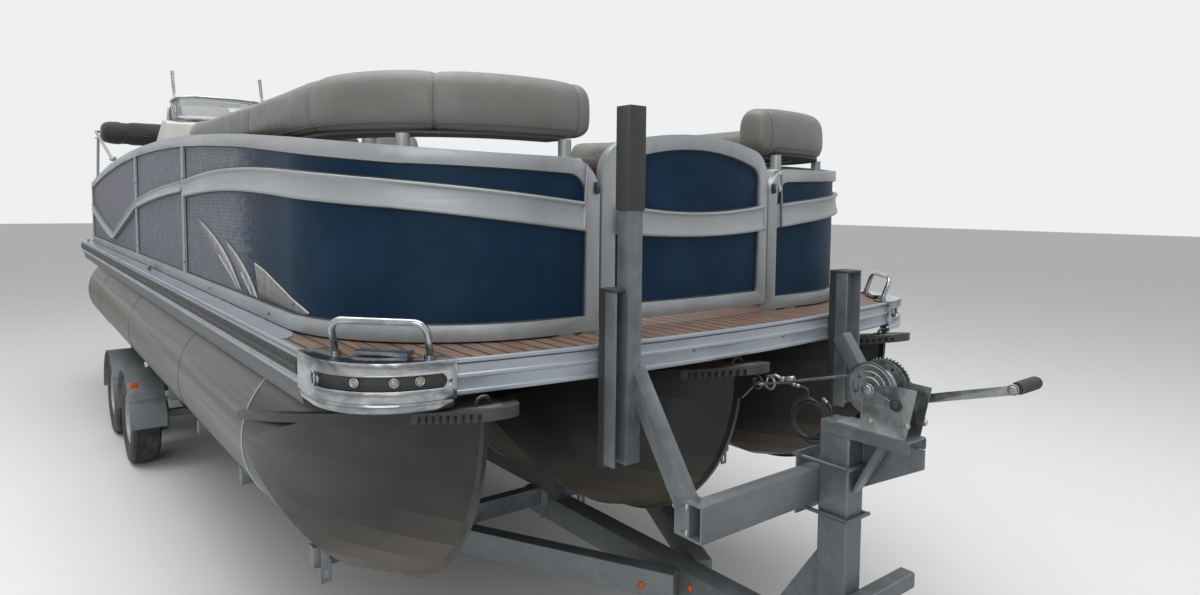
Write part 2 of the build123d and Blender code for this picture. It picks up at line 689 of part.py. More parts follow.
def fence_outline(side, end_y, aft_x, foot_z):
    """Wall blank cut to the top rail's curve, with the rounded corner beside the bow gate."""
    with BuildPart() as blank:
        extrude(wall_plan(foot_z, side, 0, FENCE_THICK, aft_x, end_y), amount=FENCE_CROWN_Z - foot_z)
        side_view = joined_cell([((aft_x, foot_z), (FENCE_FRONT_X + 5, foot_z))],
                                rail_arc(aft_x, FENCE_FRONT_X + 5, 0))
        extrude(outline_face(Plane.XZ, side_view), amount=2 * FENCE_Y, both=True, mode=Mode.INTERSECT)
        radius = 118
        with BuildSketch(Plane.YZ.offset(FENCE_FRONT_X - FENCE_THICK - 40)) as corner:
            with Locations((side * (end_y + radius / 2), FENCE_TOP_FRONT_Z - radius / 2 + 1)):
                Rectangle(radius, radius + 2)
            with Locations((side * (end_y + radius), FENCE_TOP_FRONT_Z - radius)):
                Circle(radius, mode=Mode.SUBTRACT)
        extrude(corner.sketch, amount=FENCE_THICK + 60, mode=Mode.SUBTRACT)
    return blank.part


FORWARD_CELLS = side_cells(BAY_XS[4], BAY_XS[5], FORWARD_BAND, FORWARD_BAND_FOOT)
MIDDLE_CELLS = side_cells(BAY_XS[2], BAY_XS[3], MIDDLE_BAND, shifted(MIDDLE_BAND, -NARROW_BAND))
AFT_CELLS = side_cells(BAY_XS[0], BAY_XS[1], AFT_BAND, shifted(AFT_BAND, -NARROW_BAND))
SIDE_GATE_FORE_X = BAY_XS[3]
FIXED_BAND = trimmed(MIDDLE_BAND[0], BAY_XS[2], SIDE_GATE_AFT_X - POST_WIDE)
FIXED_CELLS = side_cells(BAY_XS[2], SIDE_GATE_AFT_X - POST_WIDE, FIXED_BAND,
                         shifted(FIXED_BAND, -NARROW_BAND))
STARBOARD_END_Y = GATE_HALF + GATE_GAP - GATE_Y
PORT_END_Y = GATE_HALF + GATE_GAP + GATE_Y


def hinge_fixed(axis, leaf, low_z):
    """Upper and lower knuckles with the pin, on the post's leaf (x span, y span)."""
    for z0, z1 in ((low_z - 22, low_z - 1), (low_z + HINGE_TALL + 1, low_z + HINGE_TALL + 22)):
        rod((axis[0], axis[1], z0), (axis[0], axis[1], z1), HINGE_RADIUS)
        block(leaf[0], leaf[1], (z0, z1))
    rod((axis[0], axis[1], low_z - 3), (axis[0], axis[1], low_z + HINGE_TALL + 3), HINGE_RADIUS / 2 - 0.3)


def hinge_moving(axis, leaf, low_z):
    """Middle knuckle on the gate's leaf, bored for the pin."""
    rod((axis[0], axis[1], low_z), (axis[0], axis[1], low_z + HINGE_TALL), HINGE_RADIUS)
    block(leaf[0], leaf[1], (low_z, low_z + HINGE_TALL))
    rod((axis[0], axis[1], low_z - 1), (axis[0], axis[1], low_z + HINGE_TALL + 1), HINGE_RADIUS / 2,
        Mode.SUBTRACT)


HINGE_SET = FENCE_THICK + 10
BOW_HINGE = (FENCE_FRONT_X - HINGE_SET, PORT_END_Y - GATE_GAP / 2)
SIDE_HINGE = (SIDE_GATE_AFT_X + GATE_GAP / 2, FENCE_Y - HINGE_SET)
STERN_HINGE = (FENCE_AFT_X + HINGE_SET, STERN_GATE_LOW_Y - GATE_GAP / 2)
BOW_HINGE_ZS = (1520, 1850)
SIDE_HINGE_ZS = (1520, 1930)
LEAF = 34

# side name, side sign, end beside the bow gate, side windows
FENCES = (
    ("starboard", -1, STARBOARD_END_Y, FORWARD_CELLS + MIDDLE_CELLS + AFT_CELLS),
    ("port", 1, PORT_END_Y, FORWARD_CELLS + FIXED_CELLS + AFT_CELLS),
)
PANEL_GAP = FENCE_THICK / 2 - PANEL_THICK / 2
FENCE_FEET_XS = (-3690, -3050, -2420, -1790, -1160, -530, 100, 730, 1360, 1990)
FOOT_LONG = 60
FOOT_Z = (DECK_TOP_Z + 0.1, FENCE_FOOT_Z + 1)
for name, side, end_y, cells in FENCES:
    windows = make_windows(side, cells, front_cells(side, end_y))
    with BuildPart() as fence:
        add(fence_outline(side, end_y, FENCE_AFT_X, FENCE_FOOT_Z))
        add(windows, mode=Mode.SUBTRACT)
        for x in FENCE_FEET_XS:
            if name == "starboard" or not SIDE_GATE_AFT_X - FOOT_LONG < x < SIDE_GATE_FORE_X:
                block((x - FOOT_LONG / 2, x + FOOT_LONG / 2),
                      span(side * (FENCE_Y - FENCE_THICK + 2), side * (FENCE_Y - 2)), FOOT_Z)
        for y in (end_y + 2, (end_y + CORNER_Y) / 2):
            block((FENCE_FRONT_X - FENCE_THICK + 2, FENCE_FRONT_X - 2),
                  span(side * y, side * (y + FOOT_LONG)), FOOT_Z)
        if name == "port":
            block((SIDE_GATE_AFT_X, SIDE_GATE_FORE_X), (FENCE_Y - FENCE_THICK - 5, FENCE_Y + 5),
                  (FENCE_FOOT_Z - 5, FENCE_CROWN_Z + 5), Mode.SUBTRACT)
            for low_z in BOW_HINGE_ZS:
                hinge_fixed(BOW_HINGE, ((BOW_HINGE[0], FENCE_FRONT_X - FENCE_THICK),
                                        (BOW_HINGE[1], BOW_HINGE[1] + LEAF)), low_z)
            for low_z in SIDE_HINGE_ZS:
                hinge_fixed(SIDE_HINGE, ((SIDE_HINGE[0] - LEAF, SIDE_HINGE[0]),
                                         (SIDE_HINGE[1], FENCE_Y - FENCE_THICK)), low_z)
    save(fence, f"fence_{name}")
    with BuildPart() as panels:
        extrude(wall_plan(FENCE_FOOT_Z, side, PANEL_GAP, PANEL_THICK, FENCE_AFT_X, end_y),
                amount=FENCE_CROWN_Z - FENCE_FOOT_Z)
        add(windows, mode=Mode.INTERSECT)
    save(panels, f"panels_{name}")

# Stern fence. One wide fixed bay each side of the stern gate
STERN_TOP_Z = rail_z(FENCE_AFT_X)
STERN_IN_X = FENCE_AFT_X + FENCE_THICK
STERN_HALF = FENCE_Y - FENCE_THICK
# low Y and high Y of each window
STERN_BAYS = (
    (STERN_GATE_HIGH_Y + GATE_GAP + POST_WIDE, 380 - HALF_POST),
    (380 + HALF_POST, STERN_HALF - POST_WIDE),
)


def stern_windows(y0, y1, low_z, high_z):
    """Window outlines of one stern bay, above and below its straight band."""
    mid = (STERN_TOP_Z + FENCE_FOOT_Z) / 2 + 50
    return ([(y0, low_z), (y1, low_z), (y1, mid), (y0, mid)],
            [(y0, mid + NARROW_BAND), (y1, mid + NARROW_BAND), (y1, high_z), (y0, high_z)])


def cut_stern(bays, low_z, high_z, x_span, mode):
    """Cut or add each bay's windows through the stern wall."""
    for y0, y1 in bays:
        for outline in stern_windows(y0, y1, low_z, high_z):
            profile_yz(outline, x_span, mode)


STERN_WINDOW_Z = (LOWER_RAIL_Z, STERN_TOP_Z - RAIL_TALL)
WALL_X = (FENCE_AFT_X, STERN_IN_X)
PANEL_X = (FENCE_AFT_X + PANEL_GAP, FENCE_AFT_X + PANEL_GAP + PANEL_THICK)
with BuildPart() as fence_stern:
    block(WALL_X, (-STERN_HALF, STERN_HALF), (FENCE_FOOT_Z, STERN_TOP_Z))
    block((FENCE_AFT_X - 5, STERN_IN_X + 5), (STERN_GATE_LOW_Y - GATE_GAP, STERN_GATE_HIGH_Y + GATE_GAP),
          (FENCE_FOOT_Z - 5, STERN_TOP_Z + 5), Mode.SUBTRACT)
    cut_stern(STERN_BAYS, *STERN_WINDOW_Z, (FENCE_AFT_X - 5, STERN_IN_X + 5), Mode.SUBTRACT)
    for y in (STERN_GATE_HIGH_Y + GATE_GAP, 350, STERN_HALF - FOOT_LONG, -STERN_HALF):
        block((FENCE_AFT_X + 2, STERN_IN_X - 2), (y, y + FOOT_LONG), FOOT_Z)
    for low_z in BOW_HINGE_ZS:
        hinge_fixed(STERN_HINGE, ((STERN_IN_X, STERN_HINGE[0]), (STERN_HINGE[1] - LEAF, STERN_HINGE[1])),
                    low_z)
save(fence_stern, "fence_stern")

with BuildPart() as panels_stern:
    cut_stern(STERN_BAYS, *STERN_WINDOW_Z, PANEL_X, Mode.ADD)
save(panels_stern, "panels_stern")

STERN_GATE_BAY = ((STERN_GATE_LOW_Y + POST_WIDE, STERN_GATE_HIGH_Y - POST_WIDE),)
STERN_GATE_WINDOW_Z = (GATE_FOOT_Z + RAIL_TALL, STERN_TOP_Z - RAIL_TALL)
with BuildPart() as stern_gate_frame:
    block(WALL_X, (STERN_GATE_LOW_Y, STERN_GATE_HIGH_Y), (GATE_FOOT_Z, STERN_TOP_Z))
    cut_stern(STERN_GATE_BAY, *STERN_GATE_WINDOW_Z, (FENCE_AFT_X - 5, STERN_IN_X + 5), Mode.SUBTRACT)
    for low_z in BOW_HINGE_ZS:
        hinge_moving(STERN_HINGE, ((STERN_IN_X, STERN_HINGE[0]), (STERN_HINGE[1], STERN_HINGE[1] + LEAF)),
                     low_z)
save(stern_gate_frame, "stern_gate_frame")

with BuildPart() as stern_gate_panel:
    cut_stern(STERN_GATE_BAY, *STERN_GATE_WINDOW_Z, PANEL_X, Mode.ADD)
save(stern_gate_panel, "stern_gate_panel")

# Side gate, cut from the same curves as the fence round it
GATE_X0, GATE_X1 = SIDE_GATE_AFT_X + GATE_GAP, SIDE_GATE_FORE_X - GATE_GAP
GATE_WINDOW_XS = (GATE_X0 + POST_WIDE, GATE_X1 - POST_WIDE)
GATE_BAND = trimmed(MIDDLE_BAND[0], *GATE_WINDOW_XS)
gate_upper = joined_cell(GATE_BAND, rail_arc(*GATE_WINDOW_XS, RAIL_TALL))
GATE_SILL_Z = GATE_FOOT_Z + RAIL_TALL
gate_lower = joined_cell([((GATE_WINDOW_XS[0], GATE_SILL_Z), (GATE_WINDOW_XS[1], GATE_SILL_Z))],
                         shifted(GATE_BAND, -NARROW_BAND))
side_gate_windows = make_windows(1, [gate_upper, gate_lower], [])
with BuildPart() as side_gate_frame:
    outline = joined_cell([((GATE_X0, GATE_FOOT_Z), (GATE_X1, GATE_FOOT_Z))], rail_arc(GATE_X0, GATE_X1, 0))
    extrude(outline_face(Plane.XZ.offset(-FENCE_Y), outline), amount=FENCE_THICK)
    add(side_gate_windows, mode=Mode.SUBTRACT)
    for low_z in SIDE_HINGE_ZS:
        hinge_moving(SIDE_HINGE, ((SIDE_HINGE[0], SIDE_HINGE[0] + LEAF),
                                  (SIDE_HINGE[1], FENCE_Y - FENCE_THICK)), low_z)
save(side_gate_frame, "side_gate_frame")

with BuildPart() as side_gate_panel:
    block(GATE_WINDOW_XS, (FENCE_Y - PANEL_GAP - PANEL_THICK, FENCE_Y - PANEL_GAP),
          (GATE_FOOT_Z, FENCE_CROWN_Z))
    add(side_gate_windows, mode=Mode.INTERSECT)
save(side_gate_panel, "side_gate_panel")

# Bow gate: bowed in plan, with a crowned top and big rounded corners
GATE_LOW_Y, GATE_HIGH_Y = GATE_Y - GATE_HALF, GATE_Y + GATE_HALF
# Z at the gate's edges and at its middle
GATE_BAND_TOP_Z = (1808, 1780)
GATE_BAND_FOOT_Z = (1714, 1697)


def gate_plan(gap, depth):
    """Bowed plan of the bow gate, gap inside its outer face."""
    x_edge, x_mid = FENCE_FRONT_X - gap, FENCE_FRONT_X + GATE_BOW - gap
    return outline_face(Plane.XY.offset(GATE_FOOT_Z - 5), [
        ((x_edge, GATE_LOW_Y - 1), (x_mid, GATE_Y), (x_edge, GATE_HIGH_Y + 1)),
        ((x_edge, GATE_HIGH_Y + 1), (x_edge - depth, GATE_HIGH_Y + 1)),
        ((x_edge - depth, GATE_HIGH_Y + 1), (x_mid - depth, GATE_Y), (x_edge - depth, GATE_LOW_Y - 1)),
        ((x_edge - depth, GATE_LOW_Y - 1), (x_edge, GATE_LOW_Y - 1)),
    ])


def gate_shape(inset):
    """End view of the bow gate's outline, inset all round."""
    low_y, high_y = GATE_LOW_Y + inset, GATE_HIGH_Y - inset
    foot = GATE_FOOT_Z + inset
    with BuildSketch(Plane.YZ.offset(FENCE_FRONT_X - 2 * FENCE_THICK)) as shape:
        with BuildLine():
            Polyline((low_y, GATE_SHOULDER_Z - inset), (low_y, foot), (high_y, foot),
                     (high_y, GATE_SHOULDER_Z - inset))
            ThreePointArc((high_y, GATE_SHOULDER_Z - inset), (GATE_Y, GATE_CROWN_Z - inset),
                          (low_y, GATE_SHOULDER_Z - inset))
        make_face()
        fillet(shape.vertices().sort_by(Axis.Y)[-2:], GATE_CORNER_R - inset)
        fillet(shape.vertices().sort_by(Axis.Y)[:2], 12)
    return shape.sketch


with BuildPart() as gate_band:
    reach = GATE_HALF - GATE_FRAME_WIDE / 2
    edge_top, mid_top = GATE_BAND_TOP_Z
    edge_foot, mid_foot = GATE_BAND_FOOT_Z
    extrude(outline_face(Plane.YZ.offset(FENCE_FRONT_X - 2 * FENCE_THICK), [
        ((GATE_Y - reach, edge_foot), (GATE_Y, mid_foot), (GATE_Y + reach, edge_foot)),
        ((GATE_Y + reach, edge_foot), (GATE_Y + reach, edge_top)),
        ((GATE_Y + reach, edge_top), (GATE_Y, mid_top), (GATE_Y - reach, edge_top)),
        ((GATE_Y - reach, edge_top), (GATE_Y - reach, edge_foot))]), amount=4 * FENCE_THICK)

with BuildPart() as gate_openings:
    extrude(gate_shape(GATE_FRAME_WIDE), amount=4 * FENCE_THICK)
    add(gate_band.part, mode=Mode.SUBTRACT)

with BuildPart() as bow_gate_frame:
    extrude(gate_plan(0, FENCE_THICK), amount=GATE_CROWN_Z - GATE_FOOT_Z + 10)
    extrude(gate_shape(0), amount=4 * FENCE_THICK, mode=Mode.INTERSECT)
    add(gate_openings.part, mode=Mode.SUBTRACT)
    for low_z in BOW_HINGE_ZS:
        hinge_moving(BOW_HINGE, ((BOW_HINGE[0], FENCE_FRONT_X - FENCE_THICK + 12),
                                 (BOW_HINGE[1] - LEAF, BOW_HINGE[1])), low_z)
save(bow_gate_frame, "bow_gate_frame")

with BuildPart() as bow_gate_panel:
    extrude(gate_plan(PANEL_GAP, PANEL_THICK), amount=GATE_CROWN_Z - GATE_FOOT_Z + 10)
    add(gate_openings.part, mode=Mode.INTERSECT)
save(bow_gate_panel, "bow_gate_panel")

# side sign, aft end of the lounge
LOUNGES = ((-1, LOUNGE_AFT_STARBOARD_X), (1, LOUNGE_AFT_PORT_X))
SEAT_IN_Y = FENCE_Y - LOUNGE_GAP - SEAT_DEEP
SEAT_IN_X = FENCE_FRONT_X - LOUNGE_GAP - SEAT_DEEP


def lounge_plan(z, side, gap, aft_x, grow):
    """Plan of one lounge: its outer edge gap inside the fence, its inner edge grown."""
    far = FENCE_CORNER_R - gap
    half = sqrt(0.5)
    in_y = SEAT_IN_Y - grow
    with BuildSketch(Plane.XY.offset(z)) as plan:
        with BuildLine():
            Line((aft_x, side * (CORNER_Y + far)), (CORNER_X, side * (CORNER_Y + far)))
            ThreePointArc((CORNER_X, side * (CORNER_Y + far)),
                          (CORNER_X + far * half, side * (CORNER_Y + far * half)),
                          (CORNER_X + far, side * CORNER_Y))
            Polyline((CORNER_X + far, side * CORNER_Y), (CORNER_X + far, side * (LOUNGE_END_Y - grow)),
                     (SEAT_IN_X + 120, side * (LOUNGE_END_Y - grow)), (SEAT_IN_X - 60, side * in_y),
                     (aft_x, side * in_y), (aft_x, side * (CORNER_Y + far)))
        make_face()
    return plan.sketch


# Stern bench: x span, y span of its seat, against the stern fence to port
BENCH_X = (FENCE_AFT_X + FENCE_THICK + 40, -3060)
BENCH_Y = (-300, FENCE_Y - LOUNGE_GAP)
SHELL = BACK_SHELL_THICK

with BuildPart() as seat_bases:
    for side, aft_x in LOUNGES:
        extrude(lounge_plan(DECK_TOP_Z + BASE_KICK, side, LOUNGE_GAP, aft_x, 0),
                amount=BASE_TOP_Z - DECK_TOP_Z - BASE_KICK)
        extrude(lounge_plan(DECK_TOP_Z, side, LOUNGE_GAP + 30, aft_x + 30, -50), amount=BASE_KICK)
        extrude(wall_plan(BASE_TOP_Z, side, LOUNGE_GAP, SHELL, aft_x, LOUNGE_END_Y),
                amount=BACK_SHELL_TOP_Z - BASE_TOP_Z)
    block(BENCH_X, BENCH_Y, (DECK_TOP_Z + BASE_KICK, BASE_TOP_Z))
    block((BENCH_X[0] + 20, BENCH_X[1] - 50), (BENCH_Y[0] + 30, BENCH_Y[1] - 20),
          (DECK_TOP_Z, DECK_TOP_Z + BASE_KICK))
    block((BENCH_X[0], BENCH_X[0] + SHELL), BENCH_Y, (BASE_TOP_Z, BACK_SHELL_TOP_Z))
save(seat_bases, "seat_bases")

PAD_GAP = LOUNGE_GAP + SHELL + SOFT_CLEAR
with BuildPart() as seat_cushions:
    for side, aft_x in LOUNGES:
        extrude(lounge_plan(BASE_TOP_Z + SOFT_CLEAR, side, PAD_GAP, aft_x + 8, -8),
                amount=SEAT_TOP_Z - BASE_TOP_Z - SOFT_CLEAR)
        extrude(wall_plan(SEAT_TOP_Z + SOFT_CLEAR, side, PAD_GAP, BACK_PAD_THICK, aft_x + 8,
                          LOUNGE_END_Y + 8), amount=BACK_SHELL_TOP_Z - SEAT_TOP_Z - SOFT_CLEAR)
    pad_x = BENCH_X[0] + SHELL + SOFT_CLEAR
    block((pad_x, BENCH_X[1] - 8), (BENCH_Y[0] + 8, BENCH_Y[1] - 8), (BASE_TOP_Z + SOFT_CLEAR, SEAT_TOP_Z))
    block((pad_x, pad_x + BACK_PAD_THICK + 40), (BENCH_Y[0] + 8, BENCH_Y[1] - 8),
          (SEAT_TOP_Z + SOFT_CLEAR, BACK_SHELL_TOP_Z + 110))
save(seat_cushions, "seat_cushions")

with BuildPart() as lounge_bolsters:
    for side, aft_x in LOUNGES:
        extrude(wall_plan(BOLSTER_LOW_Z, side, BOLSTER_GAP, BOLSTER_THICK, aft_x, BOLSTER_END_Y),
                amount=BOLSTER_TALL)
save(lounge_bolsters, "lounge_bolsters")

# Places of the bolster posts along one side: x, |y|
POST_GAP = LOUNGE_GAP + SHELL / 2
post_arc = FENCE_CORNER_R - POST_GAP
POSTS = (
    (FENCE_FRONT_X - POST_GAP, 520),
    (CORNER_X + post_arc * sqrt(0.5), CORNER_Y + post_arc * sqrt(0.5)),
    (1960, FENCE_Y - POST_GAP),
    (1200, FENCE_Y - POST_GAP),
    (LOUNGE_AFT_PORT_X + 60, FENCE_Y - POST_GAP),
)
with BuildPart() as lounge_posts:
    for side in (-1, 1):
        for x, y in POSTS:
            rod((x, side * y, BACK_SHELL_TOP_Z), (x, side * y, BOLSTER_LOW_Z - SOFT_CLEAR), POST_RADIUS)

# Helm
CONSOLE_X = (-480, 30)
CONSOLE_Y = (-FENCE_Y + LOUNGE_GAP, -560)
DASH_TOP_Z = 2230
WHEEL_AXLE = (CONSOLE_X[0] - 8, -820, 2060)
BOSS_LONG = 26
with BuildPart() as helm_console:
    profile_xz([(CONSOLE_X[0] + 60, DECK_TOP_Z), (CONSOLE_X[1], DECK_TOP_Z), (CONSOLE_X[1] + 40, 1800),
                (CONSOLE_X[1] - 60, DASH_TOP_Z), (CONSOLE_X[1] - 190, DASH_TOP_Z + 20),
                (CONSOLE_X[0] + 60, 2130), (CONSOLE_X[0], 1980), (CONSOLE_X[0] + 20, 1880)], CONSOLE_Y)
    fillet(helm_console.edges().filter_by(Axis.Y), 18)
    rod((WHEEL_AXLE[0] + 60, *WHEEL_AXLE[1:]), (WHEEL_AXLE[0] - BOSS_LONG, *WHEEL_AXLE[1:]), 34)
save(helm_console, "helm_console")

WHEEL_R = 175
wheel_x = WHEEL_AXLE[0] - BOSS_LONG - 0.3
with BuildPart() as helm_wheel:
    rim_plane = Plane(origin=(wheel_x - 30, *WHEEL_AXLE[1:]), x_dir=(0, 0, -1), z_dir=(1, 0, 0))
    with Locations(rim_plane):
        Torus(WHEEL_R, 14)
    rod((wheel_x, *WHEEL_AXLE[1:]), (wheel_x - 40, *WHEEL_AXLE[1:]), 32)
    for turn in (0, 120, 240):
        with Locations(rim_plane.rotated((0, 0, turn))):
            Box(WHEEL_R, 26, 8, align=(Align.MIN, Align.CENTER, Align.CENTER))
save(helm_wheel, "helm_wheel")

SCREEN_TOP_Z = 2560
with BuildPart() as windshield:
    foot_x, head_x = CONSOLE_X[1] - 70, CONSOLE_X[1] - 190
    low, high = DASH_TOP_Z - 6, SCREEN_TOP_Z
    profile_xz([(foot_x, low), (foot_x + 7, low), (head_x + 7, high), (head_x, high)],
               (CONSOLE_Y[0] + 40, CONSOLE_Y[1] - 40))
    for y in (CONSOLE_Y[0] + 40, CONSOLE_Y[1] - 40 - 7):
        profile_xz([(foot_x + 3, low + 4), (head_x + 3, high), (head_x - 150, high - 40),
                    (foot_x - 190, low + 20)], (y, y + 7))
    add(helm_console.part, mode=Mode.SUBTRACT)
save(windshield, "windshield")

# chair name, axis X, axis Y
CHAIRS = (("helm", -1010, -755), ("mate", -1000, 660))
CHAIR_SEAT_Z = 1800
CHAIR_BACK_Z = 2530
with BuildPart() as chair_pedestals:
    for name, x, y in CHAIRS:
        rod((x, y, DECK_TOP_Z), (x, y, DECK_TOP_Z + 14), 165)
        rod((x, y, DECK_TOP_Z + 14), (x, y, CHAIR_SEAT_Z - 150), 38)
for name, x, y in CHAIRS:
    with BuildPart() as chair:
        low = CHAIR_SEAT_Z - 150 + 0.3
        rod((x, y, low), (x, y, low + 12), 90)
        block((x - 250, x + 270), (y - 265, y + 265), (low + 12, CHAIR_SEAT_Z))
        fillet(chair.faces().sort_by(Axis.X)[-1].edges(), 40)
        profile_xz([(x - 170, CHAIR_SEAT_Z - 20), (x - 260, CHAIR_BACK_Z - 40), (x - 300, CHAIR_BACK_Z),
                    (x - 345, CHAIR_BACK_Z - 30), (x - 300, low + 12), (x - 250, low + 12)],
                   (y - 250, y + 250))
        for arm in (-1, 1):
            block((x - 250, x + 150), span(y + arm * 266, y + arm * 322), (2010, 2065))
            block((x - 240, x - 180), span(y + arm * 240, y + arm * 322), (low + 40, 2010))
    save(chair, f"{name}_chair")

# Folded top across the stern, on two braces
BUNDLE = (BIMINI_BUNDLE_X, BIMINI_BUNDLE_Z)
with BuildPart() as bimini_frame:
    py, bx, bz = BIMINI_PIVOT_Y, *BUNDLE
    pipe([(BIMINI_PIVOT_X, -py, BIMINI_PIVOT_Z), (bx, -py, bz), (bx, py, bz),
          (BIMINI_PIVOT_X, py, BIMINI_PIVOT_Z)], BIMINI_BEND, BIMINI_TUBE_R)
    with Locations((BIMINI_PIVOT_X, -py, BIMINI_PIVOT_Z), (BIMINI_PIVOT_X, py, BIMINI_PIVOT_Z)):
        Sphere(PIVOT_BALL_R)
save(bimini_frame, "bimini_frame")

with BuildPart() as bimini_boot:
    half = BIMINI_PIVOT_Y - BIMINI_BEND - 3
    with BuildSketch(Plane.XZ.offset(-half)) as boot:
        with Locations(BUNDLE):
            Ellipse(150, 118)
            Circle(BIMINI_TUBE_R + 0.4, mode=Mode.SUBTRACT)
    extrude(boot.sketch, amount=2 * half)
save(bimini_boot, "bimini_boot")

with BuildPart() as bimini_braces:
    for side in (-1, 1):
        rail = rail_z(BIMINI_PIVOT_X + 30) + 0.1
        y = side * BIMINI_PIVOT_Y
        plate_y = y - side * (PIVOT_BALL_R + 0.3)
        pivot_x = (BIMINI_PIVOT_X - 30, BIMINI_PIVOT_X + 30)
        block(pivot_x, span(plate_y - 6 * side, plate_y), (rail, BIMINI_PIVOT_Z + 18))
        block(pivot_x, span(plate_y - 6 * side, y + 15 * side), (rail, rail + 6))
        head = (BIMINI_BUNDLE_X + 190, y)
        slope = (BIMINI_BUNDLE_Z - BIMINI_PIVOT_Z) / (BIMINI_PIVOT_X - BIMINI_BUNDLE_X)
        cradle_z = BIMINI_BUNDLE_Z - slope * 190 - BIMINI_TUBE_R * 1.1
        foot_x = head[0] - 130
        seat_z = rail_z(foot_x + 22) + 0.1
        block((foot_x - 22, foot_x + 22), (y - 15, y + 15), (seat_z, seat_z + 8))
        rod((foot_x, y, seat_z + 4), (head[0], y, cradle_z - 8), 11)
        block((head[0] - 20, head[0] + 20), (y - 24, y + 24), (cradle_z - 14, cradle_z - 6))

with BuildPart() as support_posts:
    add(lounge_posts.part)
    add(chair_pedestals.part)
    add(bimini_braces.part)
save(support_posts, "support_posts")

# Deck hardware: bow grab handles, pop-up cleats, side cleats and the ladder's hinge blocks
HANDLE_R = 9.5
SIDE_CLEAT_INSET = 33
LADDER_X, LADDER_Z = DECK_AFT_X - 26, DECK_TOP_Z + 22
LADDER_YS = (HALF_BEAM - 735, HALF_BEAM - 365)
LADDER_TALL = 820
with BuildPart() as deck_hardware:
    for side in (-1, 1):
        feet = ((CASTING_AFT_X + 100, side * (HALF_BEAM - 57)),
                (CASTING_AFT_X + 295, side * (HALF_BEAM - 235)))
        foot_z = TRIM_TOP_Z + CASTING_LIP + 0.1
        top = DECK_TOP_Z + 100
        lean = 22
        (x0, y0), (x1, y1) = feet
        for x, y in feet:
            rod((x, y, foot_z), (x, y, foot_z + 6), 16)
        pipe([(x0, y0, foot_z + 3), (x0 + lean, y0 + side * lean, top), (x1 + lean, y1 + side * lean, top),
              (x1, y1, foot_z + 3)], 34, HANDLE_R)
        bar((x0 + 45, side * (HALF_BEAM - 99), foot_z + 6), (x0 + 155, side * (HALF_BEAM - 199), foot_z + 6),
            46, 12)
        cleat_y = side * (HALF_BEAM - SIDE_CLEAT_INSET)
        for x in (-3860, -300):
            bar((x, cleat_y, DECK_TOP_Z + 22), (x + 150, cleat_y, DECK_TOP_Z + 22), 16, 12)
            for post in (x + 45, x + 105):
                rod((post, cleat_y, DECK_TOP_Z), (post, cleat_y, DECK_TOP_Z + 20), 9)
    for y in (LADDER_YS[0] - 40, LADDER_YS[1] + 20):
        block((LADDER_X - 20, DECK_AFT_X + 60), (y, y + 20), (TRIM_TOP_Z + 0.1, LADDER_Z + 20))
        block((DECK_AFT_X + TRIM_THICK + 1, DECK_AFT_X + 60), (y, y + 20), (DECK_TOP_Z, LADDER_Z))
        rod((LADDER_X, y - 1, LADDER_Z), (LADDER_X, y + 21, LADDER_Z), 12.3, Mode.SUBTRACT)
save(deck_hardware, "deck_hardware")

# Motor pod behind the centre tube, outboard and ladder
with BuildPart() as motor_pod:
    pod_front_x = CENTER_TUBE_AFT_X - 0.3
    profile_xz([(pod_front_x, POD_LOW_Z), (pod_front_x, POD_HIGH_Z), (DECK_AFT_X, POD_HIGH_Z),
                (POD_AFT_X, TRANSOM_TOP_Z), (POD_AFT_X, POD_LOW_Z + 120), (POD_AFT_X + 90, POD_LOW_Z)],
               (-POD_HALF, POD_HALF))
    for side in (-1, 1):
        block((POD_AFT_X - 22, POD_AFT_X), span(side * 95, side * 140), (820, TRANSOM_TOP_Z))
        block((TILT_X - 26, POD_AFT_X), span(side * 95, side * 115), (TILT_Z - 160, TILT_Z + 26))
    rod((TILT_X, -115, TILT_Z), (TILT_X, 115, TILT_Z), 13)
save(motor_pod, "motor_pod")

with BuildPart() as outboard_bracket:
    rod((TILT_X, -88, TILT_Z), (TILT_X, 88, TILT_Z), 34)
    block((STEER_X - 20, TILT_X), (-60, 60), (TILT_Z - 240, TILT_Z - 20))
    rod((STEER_X, 0, TILT_Z - 260), (STEER_X, 0, TILT_Z + 20), 48)
    rod((TILT_X, -90, TILT_Z), (TILT_X, 90, TILT_Z), 14, Mode.SUBTRACT)
    rod((STEER_X, 0, TILT_Z - 261), (STEER_X, 0, TILT_Z + 21), 22, Mode.SUBTRACT)
save(outboard_bracket, "outboard_bracket")

LEG_BOX_Z = PROP_Z + 200
GEARCASE_END_X = STEER_X - 290
with BuildPart() as outboard_leg:
    rod((STEER_X, 0, TILT_Z - 300), (STEER_X, 0, TILT_Z + 60), 21.4)
    block((STEER_X - 140, STEER_X + 30), (-60, 60), (TILT_Z - 330, TILT_Z - 266))
    block((STEER_X - 160, STEER_X + 40), (-90, 90), (TILT_Z + 40, TILT_Z + 80))
    block((STEER_X - 230, STEER_X - 70), (-46, 46), (LEG_BOX_Z, TILT_Z + 70))
    profile_xz([(STEER_X - 60, LEG_BOX_Z + 8), (STEER_X - 60, LEG_BOX_Z - 12),
                (STEER_X - 380, LEG_BOX_Z - 12), (STEER_X - 350, LEG_BOX_Z + 8)], (-110, 110))
    profile_xz([(STEER_X - 90, LEG_BOX_Z), (STEER_X - 70, PROP_Z + 20), (STEER_X - 130, PROP_Z - 60),
                (STEER_X - 180, PROP_Z - 190), (STEER_X - 250, PROP_Z - 190), (STEER_X - 230, PROP_Z - 40),
                (STEER_X - 235, LEG_BOX_Z)], (-16, 16))
    rod((STEER_X - 40, 0, PROP_Z), (GEARCASE_END_X, 0, PROP_Z), 52)
save(outboard_leg, "outboard_leg")

